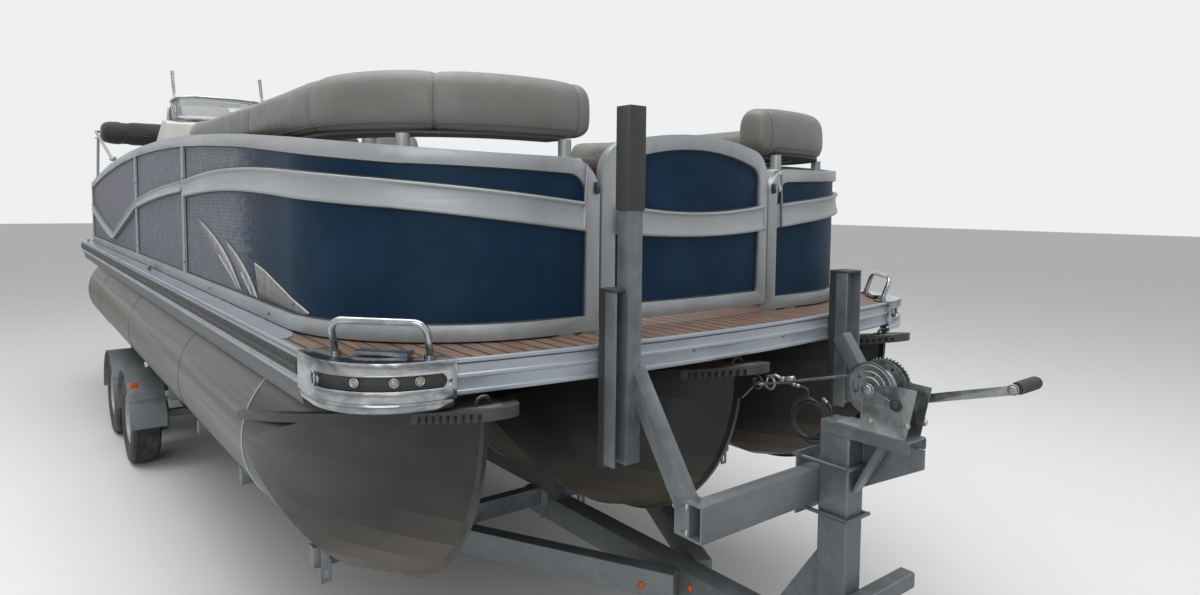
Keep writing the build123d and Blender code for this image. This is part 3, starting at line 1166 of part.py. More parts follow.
COWL_X = (STEER_X - 430, STEER_X + 20)
COWL_HALF = 215
COWL_CORNER_R = 150
COWL_LOW_Z = TILT_Z + 80.3
with BuildPart() as outboard_cowl:
    with BuildSketch(Plane.XY.offset(COWL_LOW_Z)) as plan:
        with Locations((sum(COWL_X) / 2, 0)):
            Rectangle(COWL_X[1] - COWL_X[0], 2 * COWL_HALF)
        fillet(plan.vertices().sort_by(Axis.X)[-2:], COWL_CORNER_R)
        fillet(plan.vertices().sort_by(Axis.X)[:2], COWL_CORNER_R * 0.7)
    extrude(plan.sketch, amount=660)
    profile_xz([(COWL_X[0] + 60, COWL_LOW_Z), (COWL_X[1] - 30, COWL_LOW_Z), (COWL_X[1], COWL_LOW_Z + 160),
                (COWL_X[1] - 10, COWL_LOW_Z + 560), (COWL_X[1] - 90, COWL_LOW_Z + 640),
                (COWL_X[0] + 130, COWL_LOW_Z + 600), (COWL_X[0], COWL_LOW_Z + 420),
                (COWL_X[0], COWL_LOW_Z + 110)],
               (-COWL_HALF - 1, COWL_HALF + 1), Mode.INTERSECT)
    fillet(outboard_cowl.faces().filter_by(lambda face: face.center().Z > COWL_LOW_Z + 560).edges(), 26)
save(outboard_cowl, "outboard_cowl")

PROP_X = GEARCASE_END_X - 0.3
with BuildPart() as propeller:
    rod((PROP_X, 0, PROP_Z), (PROP_X - 110, 0, PROP_Z), 48)
    for turn in (0, 120, 240):
        radial = Vector(0, cos(radians(turn)), sin(radians(turn)))
        around = Vector(1, 0, 0).cross(radial)
        face = Vector(1, 0, 0) * cos(radians(PROP_PITCH)) + around * sin(radians(PROP_PITCH))
        with BuildSketch(Plane(origin=(PROP_X - 55, 0, PROP_Z), x_dir=radial, z_dir=face)) as shape:
            with Locations((PROP_RADIUS * 0.58, 0)):
                Ellipse(PROP_RADIUS * 0.42, 58)
        extrude(shape.sketch, amount=4, both=True)
save(propeller, "propeller")

with BuildPart() as boarding_ladder:
    for y in LADDER_YS:
        rod((LADDER_X, y, LADDER_Z), (LADDER_X, y, LADDER_Z + LADDER_TALL), 14)
    for step in range(4):
        z = LADDER_Z + 150 + step * 210
        block((LADDER_X - 30, LADDER_X + 30), LADDER_YS, (z, z + 22))
    rod((LADDER_X, LADDER_YS[0] - 38, LADDER_Z), (LADDER_X, LADDER_YS[1] + 38, LADDER_Z), 12)
save(boarding_ladder, "boarding_ladder")

# Trailer. Box rails, A legs meeting the tongue, cross members and spring hangers
RAIL_Z = (RAIL_Z_LOW, RAIL_Z_LOW + RAIL_HIGH)
RAIL_MID_Z = RAIL_Z_LOW + RAIL_HIGH / 2
CROSS_Z = (RAIL_Z[1] + SEAM, RAIL_Z[1] + SEAM + CROSS_TALL)
WALL = 5
SPRING_HALF = 350
SPRING_EYE_Z = 372
PIN_R = 8
COUPLER_BALL_X = COUPLER_X + 85
COUPLER_TIP_X = COUPLER_X + 130
BALL_R = 25.7
RAIL_IN_Y = SIDE_RAIL_Y - RAIL_WIDE / 2
RAIL_OUT_Y = SIDE_RAIL_Y + RAIL_WIDE / 2
with BuildPart() as trailer_frame:
    for side in (-1, 1):
        start = (A_LEG_AFT_X, side * SIDE_RAIL_Y, RAIL_MID_Z)
        tip = (A_LEG_TIP[0], side * A_LEG_TIP[1], RAIL_MID_Z)
        bar(start, tip, RAIL_WIDE, RAIL_HIGH)
    cut_z = (RAIL_Z[0] - 1, RAIL_Z[1] + 1)
    block((TONGUE_AFT_X - SEAM, COUPLER_X), (-TONGUE_WIDE / 2 - SEAM, TONGUE_WIDE / 2 + SEAM), cut_z,
          Mode.SUBTRACT)
    for side in (-1, 1):
        block((RAIL_AFT_X, A_LEG_AFT_X + 12 + SEAM),
              span(side * (RAIL_IN_Y - SEAM), side * (RAIL_OUT_Y + SEAM)), cut_z, Mode.SUBTRACT)
    block((TONGUE_AFT_X, COUPLER_X), (-TONGUE_WIDE / 2, TONGUE_WIDE / 2), RAIL_Z)
    for side in (-1, 1):
        block((RAIL_AFT_X, A_LEG_AFT_X + 12), span(side * RAIL_IN_Y, side * RAIL_OUT_Y), RAIL_Z)
        for axle_x in AXLE_XS:
            for x in (axle_x - SPRING_HALF, axle_x + SPRING_HALF):
                for y in (SIDE_RAIL_Y - 32, SIDE_RAIL_Y + 26):
                    block((x - 18, x + 18), span(side * y, side * (y + 6)),
                          (SPRING_EYE_Z - 18, RAIL_Z[0] + 1))
                rod((x, side * (SIDE_RAIL_Y - 32), SPRING_EYE_Z),
                    (x, side * (SIDE_RAIL_Y + 32), SPRING_EYE_Z), PIN_R)
    for x in CROSS_XS:
        block((x - CROSS_WIDE / 2, x + CROSS_WIDE / 2), (-CROSS_HALF, CROSS_HALF), CROSS_Z)
    block((RAIL_AFT_X, RAIL_AFT_X + 50), (-RAIL_IN_Y + SEAM, RAIL_IN_Y - SEAM), RAIL_Z)
    for name, axis_y, aft_x, reach in FLOATS:
        for y in (axis_y - BUNK_OFFSET, axis_y + BUNK_OFFSET):
            x = CROSS_XS[0] + CROSS_WIDE / 2
            block((x, x + 6), (y - 19, y + 19), (CROSS_Z[0] - 60, CROSS_Z[1]))
            block((x - 1, x + 7), (y - 7, y + 7), (CROSS_Z[0] - 48, CROSS_Z[0] - 14), Mode.SUBTRACT)
    block((COUPLER_X, COUPLER_TIP_X), (-42, 42), (RAIL_Z[1] - 58, RAIL_Z[1] + 12))
    fillet(trailer_frame.edges().filter_by(Axis.Z).group_by(Axis.X)[-1], 30)
    rod((COUPLER_BALL_X, 0, RAIL_Z[1] - 60), (COUPLER_BALL_X, 0, RAIL_Z[1] - 10), BALL_R, Mode.SUBTRACT)
    bar((COUPLER_X + 30, 0, RAIL_Z[1] + 8), (COUPLER_X - 90, 0, RAIL_Z[1] + 44), 24, 10)
save(trailer_frame, "trailer_frame")

BUNK_Z = (CROSS_Z[1] + 0.3, TUBE_AXIS_Z - 210)
with BuildPart() as bunks:
    for name, axis_y, aft_x, reach in FLOATS:
        for y in (axis_y - BUNK_OFFSET, axis_y + BUNK_OFFSET):
            block((BUNK_AFT_X, BUNK_FRONT_X), (y - BUNK_WIDE / 2, y + BUNK_WIDE / 2), BUNK_Z)
        rod((BUNK_AFT_X - 1, axis_y, TUBE_AXIS_Z), (BUNK_FRONT_X + 1, axis_y, TUBE_AXIS_Z),
            TUBE_RADIUS + 0.3, Mode.SUBTRACT)
save(bunks, "bunks")

AXLE_SIZE = 50
HUB_R = 112
HUB_Y = (TYRE_Y - 154, TYRE_Y - 96)
SPINDLE_R = 24
SPINDLE_END_Y = TYRE_Y + 32
with BuildPart() as axles:
    for axle_x in AXLE_XS:
        block((axle_x - AXLE_SIZE / 2, axle_x + AXLE_SIZE / 2), (-HUB_Y[0], HUB_Y[0]),
              (TYRE_RADIUS - AXLE_SIZE / 2, TYRE_RADIUS + AXLE_SIZE / 2))
        for side in (-1, 1):
            rod((axle_x, side * HUB_Y[0], TYRE_RADIUS), (axle_x, side * HUB_Y[1], TYRE_RADIUS), HUB_R)
            rod((axle_x, side * HUB_Y[1], TYRE_RADIUS), (axle_x, side * SPINDLE_END_Y, TYRE_RADIUS),
                SPINDLE_R)
            low = TYRE_RADIUS + AXLE_SIZE / 2
            end = SPRING_EYE_Z - 6
            x0, x1 = axle_x - SPRING_HALF, axle_x + SPRING_HALF
            leaf = outline_face(Plane.XZ.offset(-side * SIDE_RAIL_Y), [
                ((x0, end), (axle_x, low), (x1, end)), ((x1, end), (x1, end + 14)),
                ((x1, end + 14), (axle_x, low + 14), (x0, end + 14)), ((x0, end + 14), (x0, end))])
            extrude(leaf, amount=24, both=True)
            for x in (x0, x1):
                eye = ((x, side * (SIDE_RAIL_Y - 25), SPRING_EYE_Z),
                       (x, side * (SIDE_RAIL_Y + 25), SPRING_EYE_Z))
                rod(*eye, PIN_R + 7)
                rod(*eye, PIN_R + 0.3, Mode.SUBTRACT)
save(axles, "axles")

FENDER_R = TYRE_RADIUS + FENDER_GAP
with BuildPart() as fenders:
    for axle_x in AXLE_XS:
        for side in (-1, 1):
            face_y = BEAM / 2 if side > 0 else -FENDER_IN_Y
            with BuildSketch(Plane.XZ.offset(-face_y)) as arch:
                with Locations((axle_x, TYRE_RADIUS)):
                    Circle(FENDER_R + FENDER_THICK)
                    Circle(FENDER_R, mode=Mode.SUBTRACT)
                with Locations((axle_x, TYRE_RADIUS - FENDER_R)):
                    Rectangle(3 * FENDER_R, 2 * FENDER_R, mode=Mode.SUBTRACT)
            extrude(arch.sketch, amount=BEAM / 2 - FENDER_IN_Y)
            for x in (axle_x - 285, axle_x + 285):
                block((x - 18, x + 18),
                      span(side * (SIDE_RAIL_Y + RAIL_WIDE / 2), side * (FENDER_IN_Y + 5)),
                      (RAIL_Z[1] - 26, RAIL_Z[1] - 12))
save(fenders, "fenders")

# wheel name, axle X, side sign
WHEELS = (
    ("front_starboard", AXLE_XS[0], -1),
    ("front_port", AXLE_XS[0], 1),
    ("rear_starboard", AXLE_XS[1], -1),
    ("rear_port", AXLE_XS[1], 1),
)
RIM_HALF = 74
for name, axle_x, side in WHEELS:
    hub = side * TYRE_Y
    spin = Axis((axle_x, 0, TYRE_RADIUS), (0, 1, 0))
    crown, shoulder = TYRE_RADIUS, TYRE_RADIUS - 22
    half = TYRE_WIDE / 2
    with BuildPart() as tyre:
        with BuildSketch(Plane.YZ.offset(axle_x)) as section:
            with BuildLine():
                Polyline(*[(hub + out, TYRE_RADIUS + r) for out, r in (
                    (-RIM_HALF, RIM_RADIUS), (-half, RIM_RADIUS + 55), (8 - half, shoulder),
                    (26 - half, crown), (half - 26, crown), (half - 8, shoulder),
                    (half, RIM_RADIUS + 55), (RIM_HALF, RIM_RADIUS))], close=True)
            make_face()
        revolve(section.sketch, axis=spin)
    save(tyre, f"tyre_{name}")
    # outward distance from the wheel's middle, radius
    rim_section = ((-RIM_HALF, RIM_RADIUS), (RIM_HALF, RIM_RADIUS), (RIM_HALF, RIM_RADIUS - 6),
                   (36, RIM_RADIUS - 12), (22, 92), (14, 58), (40, 46), (40, SPINDLE_R + 0.6),
                   (-20, SPINDLE_R + 0.6), (-20, 44), (6, 56), (15, 96), (24, RIM_RADIUS - 14),
                   (-RIM_HALF, RIM_RADIUS - 6))
    with BuildPart() as rim:
        with BuildSketch(Plane.YZ.offset(axle_x)) as section:
            with BuildLine():
                Polyline(*[(hub + side * out, TYRE_RADIUS + r - 0.3) for out, r in rim_section], close=True)
            make_face()
        revolve(section.sketch, axis=spin)
        for turn in range(5):
            angle = radians(90 + 72 * turn)
            x, z = axle_x + 128 * cos(angle), TYRE_RADIUS + 128 * sin(angle)
            rod((x, hub - side * RIM_HALF / 2, z), (x, hub + side * RIM_HALF, z), 20, Mode.SUBTRACT)
    save(rim, f"rim_{name}")

# Winch post on the tongue, with its step bar, and the bow stops carried behind it
POST_X = (WINCH_POST_X - WINCH_POST_LONG / 2, WINCH_POST_X + WINCH_POST_LONG / 2)
ARM_END_X = WINCH_POST_X + 235
STEP_Z = (630, 680)
STEP_HALF = 260
with BuildPart() as winch_post:
    half = WINCH_POST_WIDE / 2
    block(POST_X, (-half, half), (RAIL_Z[1] + 0.1, WINCH_POST_TOP_Z))
    block((POST_X[0] - 8, ARM_END_X), (-half, half), (WINCH_POST_TOP_Z - 75, WINCH_POST_TOP_Z))
    profile_xz([(POST_X[1], 990), (POST_X[1], 930), (ARM_END_X - 20, WINCH_POST_TOP_Z - 75),
                (ARM_END_X - 70, WINCH_POST_TOP_Z - 75)], (-20, 20))
    profile_xz([(POST_X[0], 860), (POST_X[0], RAIL_Z[1] + 0.1), (POST_X[0] - 190, RAIL_Z[1] + 0.1),
                (POST_X[0] - 190, RAIL_Z[1] + 60)], (-8, 8))
    block((POST_X[0] - 100, POST_X[1] + 90), (-half - 14, half + 14), (RAIL_Z[1] + 0.1, RAIL_Z[1] + 12))
    block((POST_X[1], POST_X[1] + 50), (-STEP_HALF, STEP_HALF), STEP_Z)
save(winch_post, "winch_post")

# Bow stops. Cross tube clamped to the post, struts up to channels, one tall guide pole
TUBE_BACK_X = POST_X[0] - 50.2
CROSS_TUBE_Z = (930, 1030)
CROSS_TUBE_HALF = 535
STOP_Y = 550
STOP_Z = (1065, 1560)
PAD_BACK_X = DECK_FRONT_X + 122
PAD_THICK = 30
STOP_X = (PAD_BACK_X + PAD_THICK, PAD_BACK_X + PAD_THICK + 44)
STOP_HALF = 46
POLE_TOP_Z = 2080
POLE_SIZE = 50
SLEEVE_LOW_Z = 1790
with BuildPart() as bow_stop_frame:
    block((TUBE_BACK_X, POST_X[0] - 0.2), (-CROSS_TUBE_HALF, CROSS_TUBE_HALF), CROSS_TUBE_Z)
    block((TUBE_BACK_X + WALL, POST_X[0] - 0.2 - WALL), (-CROSS_TUBE_HALF - 1, CROSS_TUBE_HALF + 1),
          (CROSS_TUBE_Z[0] + WALL, CROSS_TUBE_Z[1] - WALL), Mode.SUBTRACT)
    for z in (CROSS_TUBE_Z[0] - 26, CROSS_TUBE_Z[1] + 26):
        for y in (-52, 52):
            rod((TUBE_BACK_X - 12, y, z), (POST_X[1] + 9, y, z), 6)
        rod((POST_X[1] + 9, -58, z), (POST_X[1] + 9, 58, z), 6)
    block((TUBE_BACK_X - 6, TUBE_BACK_X), (-75, 75), (CROSS_TUBE_Z[0] - 45, CROSS_TUBE_Z[1] + 45))
    for side in (-1, 1):
        y0, y1 = side * (STOP_Y - STOP_HALF), side * (STOP_Y + STOP_HALF)
        low, high = min(y0, y1), max(y0, y1)
        block(STOP_X, (low, high), STOP_Z)
        block((STOP_X[0] + 6, STOP_X[1] + 1), (low + 6, high - 6), (STOP_Z[0] - 1, STOP_Z[1] + 1),
              Mode.SUBTRACT)
        bar((TUBE_BACK_X - 22, side * (CROSS_TUBE_HALF - 26), CROSS_TUBE_Z[1] - 30),
            (STOP_X[0] + 26, side * (CROSS_TUBE_HALF - 26), 1330), POLE_SIZE, POLE_SIZE)
        block((TUBE_BACK_X - 50, TUBE_BACK_X + 1),
              span(side * (CROSS_TUBE_HALF - 52), side * CROSS_TUBE_HALF), CROSS_TUBE_Z)
    pole_y = -STOP_Y + STOP_HALF - POLE_SIZE / 2 - 6
    block((STOP_X[0] + 6, STOP_X[0] + 6 + POLE_SIZE), (pole_y - POLE_SIZE / 2, pole_y + POLE_SIZE / 2),
          (STOP_Z[0] + 5, POLE_TOP_Z - 6))
save(bow_stop_frame, "bow_stop_frame")

with BuildPart() as bow_stop_pads:
    for side in (-1, 1):
        low, high = sorted((side * (STOP_Y - STOP_HALF), side * (STOP_Y + STOP_HALF)))
        block((PAD_BACK_X, STOP_X[0]), (low, high), (STOP_Z[0] - 10, STOP_Z[1] + 10))
        block((PAD_BACK_X, STOP_X[1]), (low, high), (STOP_Z[1] + 0.2, STOP_Z[1] + 10))
    sleeve_half = POLE_SIZE / 2 + 5
    block((STOP_X[0] + 1, STOP_X[0] + 11 + POLE_SIZE), (pole_y - sleeve_half, pole_y + sleeve_half),
          (SLEEVE_LOW_Z, POLE_TOP_Z))
    add(bow_stop_frame.part, mode=Mode.SUBTRACT)
save(bow_stop_pads, "bow_stop_pads")

DRUM = (WINCH_POST_X + 105, WINCH_POST_TOP_Z + 118)
GEAR_R = 80
GEAR_TEETH = 44
TOOTH_DEEP = 5
DRUM_R = 44
FLANGE_R = 76
FLANGE_THICK = 3
CRANK_Y = 66
CRANK_END = (WINCH_POST_X + 455, WINCH_POST_TOP_Z + 172)
GRIP_AT = (CRANK_END[0] - 8, CRANK_END[1] - 1)
SHAFT = (WINCH_POST_X + 190, WINCH_POST_TOP_Z + 92)
CABLE_R = 4
HOOK_RING_R = 16
HOOK_X = STEM_X + CENTER_NOSE_REACH + 60 + 2 * EYE_RING_R
WINCH_CABLE = ((DRUM[0], 0, DRUM[1] + DRUM_R - 2), (HOOK_X + HOOK_RING_R, 0, BOW_EYE_Z))
with BuildPart() as winch:
    block((WINCH_POST_X + 5, ARM_END_X - 15), (-40, 40), (WINCH_POST_TOP_Z + 0.1, WINCH_POST_TOP_Z + 5))
    for y in (-40, 36):
        profile_xz([(DRUM[0] - 22, WINCH_POST_TOP_Z + 1), (ARM_END_X - 15, WINCH_POST_TOP_Z + 1),
                    (ARM_END_X + 12, WINCH_POST_TOP_Z + 140), (SHAFT[0], WINCH_POST_TOP_Z + 142),
                    (DRUM[0] - 10, DRUM[1] + 14), (DRUM[0] - 22, DRUM[1] + 2)], (y, y + 4))
    rod((DRUM[0], -46, DRUM[1]), (DRUM[0], 60, DRUM[1]), 9)
    rod((DRUM[0], -30, DRUM[1]), (DRUM[0], 30, DRUM[1]), DRUM_R)
    for y in (-30 - FLANGE_THICK, 30):
        with BuildSketch(Plane(origin=(DRUM[0], y, DRUM[1]), x_dir=(1, 0, 0), z_dir=(0, 1, 0))) as flange:
            Circle(FLANGE_R)
            with PolarLocations(0.78 * FLANGE_R, 6):
                Circle(5, mode=Mode.SUBTRACT)
        extrude(flange.sketch, amount=FLANGE_THICK)
    with BuildSketch(Plane(origin=(DRUM[0], 48, DRUM[1]), x_dir=(1, 0, 0), z_dir=(0, 1, 0))) as gear:
        Circle(GEAR_R - TOOTH_DEEP)
        with PolarLocations(GEAR_R - TOOTH_DEEP, GEAR_TEETH):
            Trapezoid(TOOTH_DEEP + 3, 2 * TOOTH_DEEP, 70, rotation=-90)
    extrude(gear.sketch, amount=6)
    rod((SHAFT[0], -46, SHAFT[1]), (SHAFT[0], CRANK_Y + 8, SHAFT[1]), 9)
    bar((SHAFT[0], CRANK_Y, SHAFT[1]), (CRANK_END[0], CRANK_Y, CRANK_END[1]), 8, 24)
    rod((GRIP_AT[0], CRANK_Y, GRIP_AT[1]), (GRIP_AT[0], CRANK_Y + 16, GRIP_AT[1]), 8)
    rod(*WINCH_CABLE, CABLE_R)
    with Locations((HOOK_X, 0, BOW_EYE_Z)):
        Torus(HOOK_RING_R, 5)
save(winch, "winch")

# Safety cable, from the bow eye's hook to the post, with its spare length hung in a coil
CABLE_COIL_AT = (3357, 30, 1146)
CABLE_COIL_R = (52, 72)
CABLE_COIL_HALF = 8
SAFETY_R = 3


def over_coil(lean, away=SEAM):
    """Point over the coil's outer edge, lean degrees forward of its top."""
    reach = CABLE_COIL_R[1] + away
    return (CABLE_COIL_AT[0] + reach * sin(radians(lean)), CABLE_COIL_AT[1],
            CABLE_COIL_AT[2] + reach * cos(radians(lean)))


SAFETY_FROM_X = HOOK_X + 50
SAFETY_FROM_Z = BOW_EYE_Z + (SAFETY_FROM_X - WINCH_CABLE[1][0]) * (
    (WINCH_CABLE[0][2] - WINCH_CABLE[1][2]) / (WINCH_CABLE[0][0] - WINCH_CABLE[1][0]))
SAFETY_ENDS = (
    [(SAFETY_FROM_X, CABLE_R + SEAM, SAFETY_FROM_Z), (SAFETY_FROM_X, 14, SAFETY_FROM_Z),
     over_coil(-8, 26), over_coil(-8)],
    [over_coil(30), over_coil(30, 14), (POST_X[0] - 12, 16, 1212), (POST_X[0] + 10, 4, 1206),
     (POST_X[0] + 10, 4, WINCH_POST_TOP_Z + SEAM)],
)
with BuildPart() as safety_cable:
    for route in SAFETY_ENDS:
        pipe(route, 6, SAFETY_R)
save(safety_cable, "safety_cable")

with BuildPart() as safety_cable_coil:
    y = CABLE_COIL_AT[1] - CABLE_COIL_HALF
    with BuildSketch(Plane(origin=(CABLE_COIL_AT[0], y, CABLE_COIL_AT[2]), z_dir=(0, 1, 0))) as turns:
        Circle(CABLE_COIL_R[1])
        Circle(CABLE_COIL_R[0], mode=Mode.SUBTRACT)
    extrude(turns.sketch, amount=2 * CABLE_COIL_HALF)
save(safety_cable_coil, "safety_cable_coil")

with BuildPart() as winch_grip:
    rod((GRIP_AT[0], CRANK_Y + 16, GRIP_AT[1]), (GRIP_AT[0], CRANK_Y + 130, GRIP_AT[1]), 16)
save(winch_grip, "winch_grip")

JACK_TOP_Z = 880
with BuildPart() as tongue_jack:
    block((JACK_X - 35, JACK_X + 35), (JACK_Y + 22, -TONGUE_WIDE / 2 - 0.1),
          (RAIL_Z[0] + 10, RAIL_Z[1] - 10))
    rod((JACK_X, JACK_Y, 130), (JACK_X, JACK_Y, JACK_TOP_Z), 30)
    rod((JACK_X, JACK_Y, 6), (JACK_X, JACK_Y, 140), 24)
    rod((JACK_X, JACK_Y, 0), (JACK_X, JACK_Y, 10), 85)
    rod((JACK_X, JACK_Y, 10), (JACK_X, JACK_Y, 40), 34)
    rod((JACK_X, JACK_Y, JACK_TOP_Z - 30), (JACK_X, JACK_Y - 110, JACK_TOP_Z - 30), 8)
    bar((JACK_X, JACK_Y - 110, JACK_TOP_Z - 30), (JACK_X + 120, JACK_Y - 110, JACK_TOP_Z - 30), 8, 22)
    rod((JACK_X + 114, JACK_Y - 110, JACK_TOP_Z - 30), (JACK_X + 114, JACK_Y - 200, JACK_TOP_Z - 30), 11)
save(tongue_jack, "tongue_jack")
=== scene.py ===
"""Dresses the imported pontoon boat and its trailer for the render.

Metres. +X runs forward to the bow and the tow coupler, +Y to port, +Z up, as in the frame.
"""
import json
from math import asin, cos, exp, pi, radians, sin, sqrt, tau

import bmesh
import bpy
from mathutils import Matrix, Vector, noise
from mathutils.bvhtree import BVHTree

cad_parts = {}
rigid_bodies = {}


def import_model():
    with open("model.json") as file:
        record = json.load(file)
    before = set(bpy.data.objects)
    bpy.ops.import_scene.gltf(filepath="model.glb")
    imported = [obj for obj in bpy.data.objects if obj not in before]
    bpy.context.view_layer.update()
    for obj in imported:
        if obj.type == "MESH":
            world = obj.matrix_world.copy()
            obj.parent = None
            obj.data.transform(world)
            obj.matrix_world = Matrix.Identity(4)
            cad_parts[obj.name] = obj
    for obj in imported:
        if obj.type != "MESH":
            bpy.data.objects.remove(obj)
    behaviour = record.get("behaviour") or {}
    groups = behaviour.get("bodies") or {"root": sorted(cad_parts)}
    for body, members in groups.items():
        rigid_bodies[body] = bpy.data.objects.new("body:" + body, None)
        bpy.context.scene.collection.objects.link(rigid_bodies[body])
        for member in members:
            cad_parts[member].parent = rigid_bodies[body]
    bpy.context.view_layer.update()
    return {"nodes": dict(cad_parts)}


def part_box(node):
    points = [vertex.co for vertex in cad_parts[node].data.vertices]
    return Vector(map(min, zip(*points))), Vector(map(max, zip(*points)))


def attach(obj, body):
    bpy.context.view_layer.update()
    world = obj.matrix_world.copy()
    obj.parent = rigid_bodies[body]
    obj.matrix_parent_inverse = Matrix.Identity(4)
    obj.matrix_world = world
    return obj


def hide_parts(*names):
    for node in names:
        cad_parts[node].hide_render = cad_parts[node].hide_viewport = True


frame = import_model()

bl_info = {
    "name": "Pontoon boat dresser",
    "version": (1, 0, 0),
    "blender": (4, 5, 0),
    "location": "3D View > Sidebar > Boat",
    "description": "Finishes and soft pieces of a pontoon boat on its trailer",
    "category": "Object",
}

SIDES = (("starboard", -1), ("port", 1))
WHEELS = ("front_starboard", "front_port", "rear_starboard", "rear_port")


# Shader building

class Finish:
    """The node tree of one finish, with a short call for each node that finishes share."""

    def __init__(self, name):
        self.material = bpy.data.materials.new(name)
        self.material.use_nodes = True
        self.nodes = self.material.node_tree.nodes
        self.links = self.material.node_tree.links
        self.shader = self.nodes["Principled BSDF"]
        self.place = self.nodes.new("ShaderNodeTexCoord").outputs["Object"]

    def set(self, **values):
        """Writes plain numbers and colours on the shader's own sockets."""
        for name, value in values.items():
            socket = self.shader.inputs[name.replace("_", " ").capitalize() if name.islower() else name]
            socket.default_value = (*value, 1) if hasattr(value, "__len__") and len(value) == 3 else value
        return self

    def feed(self, socket, source):
        """Puts a number or another node's output into a socket."""
        if isinstance(source, bpy.types.NodeSocket):
            self.links.new(source, socket)
        elif hasattr(source, "__len__") and len(source) == 3 and socket.type == "RGBA":
            socket.default_value = (*source, 1)
        else:
            socket.default_value = source

    def stretch(self, x, y, z):
        """Place scaled along each axis, so that grain runs along the axis with the small number."""
        node = self.nodes.new("ShaderNodeMapping")
        node.inputs["Scale"].default_value = (x, y, z)
        self.links.new(self.place, node.inputs["Vector"])
        return node.outputs["Vector"]

    def noise(self, scale, detail=4.0, rough=0.55, at=None, warp=0.0):
        node = self.nodes.new("ShaderNodeTexNoise")
        self.links.new(at or self.place, node.inputs["Vector"])
        node.inputs["Scale"].default_value = scale
        node.inputs["Detail"].default_value = detail
        node.inputs["Roughness"].default_value = rough
        node.inputs["Distortion"].default_value = warp
        return node.outputs["Fac"]

    def cells(self, scale, output="Distance"):
        node = self.nodes.new("ShaderNodeTexVoronoi")
        self.links.new(self.place, node.inputs["Vector"])
        node.inputs["Scale"].default_value = scale
        return node.outputs[output]

    def axis(self, letter):
        """One coordinate of the place in the row frame, in metres."""
        node = self.nodes.new("ShaderNodeSeparateXYZ")
        self.links.new(self.place, node.inputs["Vector"])
        return node.outputs[letter]

    def math(self, operation, a, b=0.0):
        node = self.nodes.new("ShaderNodeMath")
        node.operation = operation
        self.feed(node.inputs[0], a)
        self.feed(node.inputs[1], b)
        return node.outputs["Value"]

    def plus(self, a, b):
        return self.math("ADD", a, b)

    def times(self, a, b):
        return self.math("MULTIPLY", a, b)

    def ease(self, source, low=0.3, high=0.7, to_low=0.0, to_high=1.0):
        """A smooth step of source from low to high."""
        node = self.nodes.new("ShaderNodeMapRange")
        node.interpolation_type = "SMOOTHSTEP"
        self.feed(node.inputs["Value"], source)
        for label, value in (("From Min", low), ("From Max", high), ("To Min", to_low), ("To Max", to_high)):
            node.inputs[label].default_value = value
        return node.outputs["Result"]

    def mix(self, share, a, b):
        node = self.nodes.new("ShaderNodeMix")
        node.data_type = "RGBA"
        self.feed(node.inputs[0], share)
        self.feed(node.inputs[6], a)
        self.feed(node.inputs[7], b)
        return node.outputs[2]

    def edges(self, low=0.53, high=0.6):
        """The share of bare edge, from the mesh's own sharpness."""
        node = self.nodes.new("ShaderNodeNewGeometry")
        return self.ease(node.outputs["Pointiness"], low, high)

    def facing_up(self, low=0.2, high=0.9):
        """The share by which a surface faces up."""
        node = self.nodes.new("ShaderNodeNewGeometry")
        split = self.nodes.new("ShaderNodeSeparateXYZ")
        self.links.new(node.outputs["Normal"], split.inputs["Vector"])
        return self.ease(split.outputs["Z"], low, high)

    def bump(self, height, strength=0.3, deep=0.001, after=None):
        node = self.nodes.new("ShaderNodeBump")
        node.inputs["Strength"].default_value = strength
        node.inputs["Distance"].default_value = deep
        self.links.new(height, node.inputs["Height"])
        if after is not None:
            self.links.new(after, node.inputs["Normal"])
        return node.outputs["Normal"]

    def done(self, color, rough=None, normal=None):
        """Links what varies over the surface and returns the material."""
        for label, source in (("Base Color", color), ("Roughness", rough), ("Normal", normal)):
            if source is not None:
                self.feed(self.shader.inputs[label], source)
        return self.material


def tinted(tone, by):
    """A tone made lighter or darker."""
    return tuple(by * c for c in tone)


# Finishes of metal

def satin_rail():
    """Anodised aluminium extrusion with a faint drawn grain along its length."""
    f = Finish("satin_rail").set(Metallic=0.35)
    grain = f.noise(60, 3, at=f.stretch(0.04, 0.04, 1))
    cloud = f.noise(2.2, 5)
    tone = f.mix(f.ease(cloud, 0.35, 0.7), (0.27, 0.288, 0.298), (0.335, 0.354, 0.364))
    tone = f.mix(f.times(f.ease(grain, 0.35, 0.75), 0.25), tone, (0.26, 0.275, 0.285))
    return f.done(tone, f.ease(grain, 0.2, 0.8, 0.36, 0.48), f.bump(grain, 0.12, 0.0006))


def trim_aluminium():
    """Satin extruded edge trim with a cool cast and small scuffs from docking."""
    f = Finish("trim_aluminium").set(Metallic=0.5)
    grain = f.noise(90, 3, at=f.stretch(0.05, 0.05, 1))
    scuff = f.ease(f.noise(26, 6, 0.7, warp=1.2), 0.64, 0.76)
    tone = f.mix(f.ease(f.noise(3, 4), 0.3, 0.7), (0.30, 0.335, 0.38), (0.375, 0.41, 0.455))
    tone = f.mix(f.times(scuff, 0.3), tone, (0.24, 0.25, 0.27))
    return f.done(tone, f.ease(grain, 0.2, 0.8, 0.30, 0.42), f.bump(grain, 0.1, 0.0006))


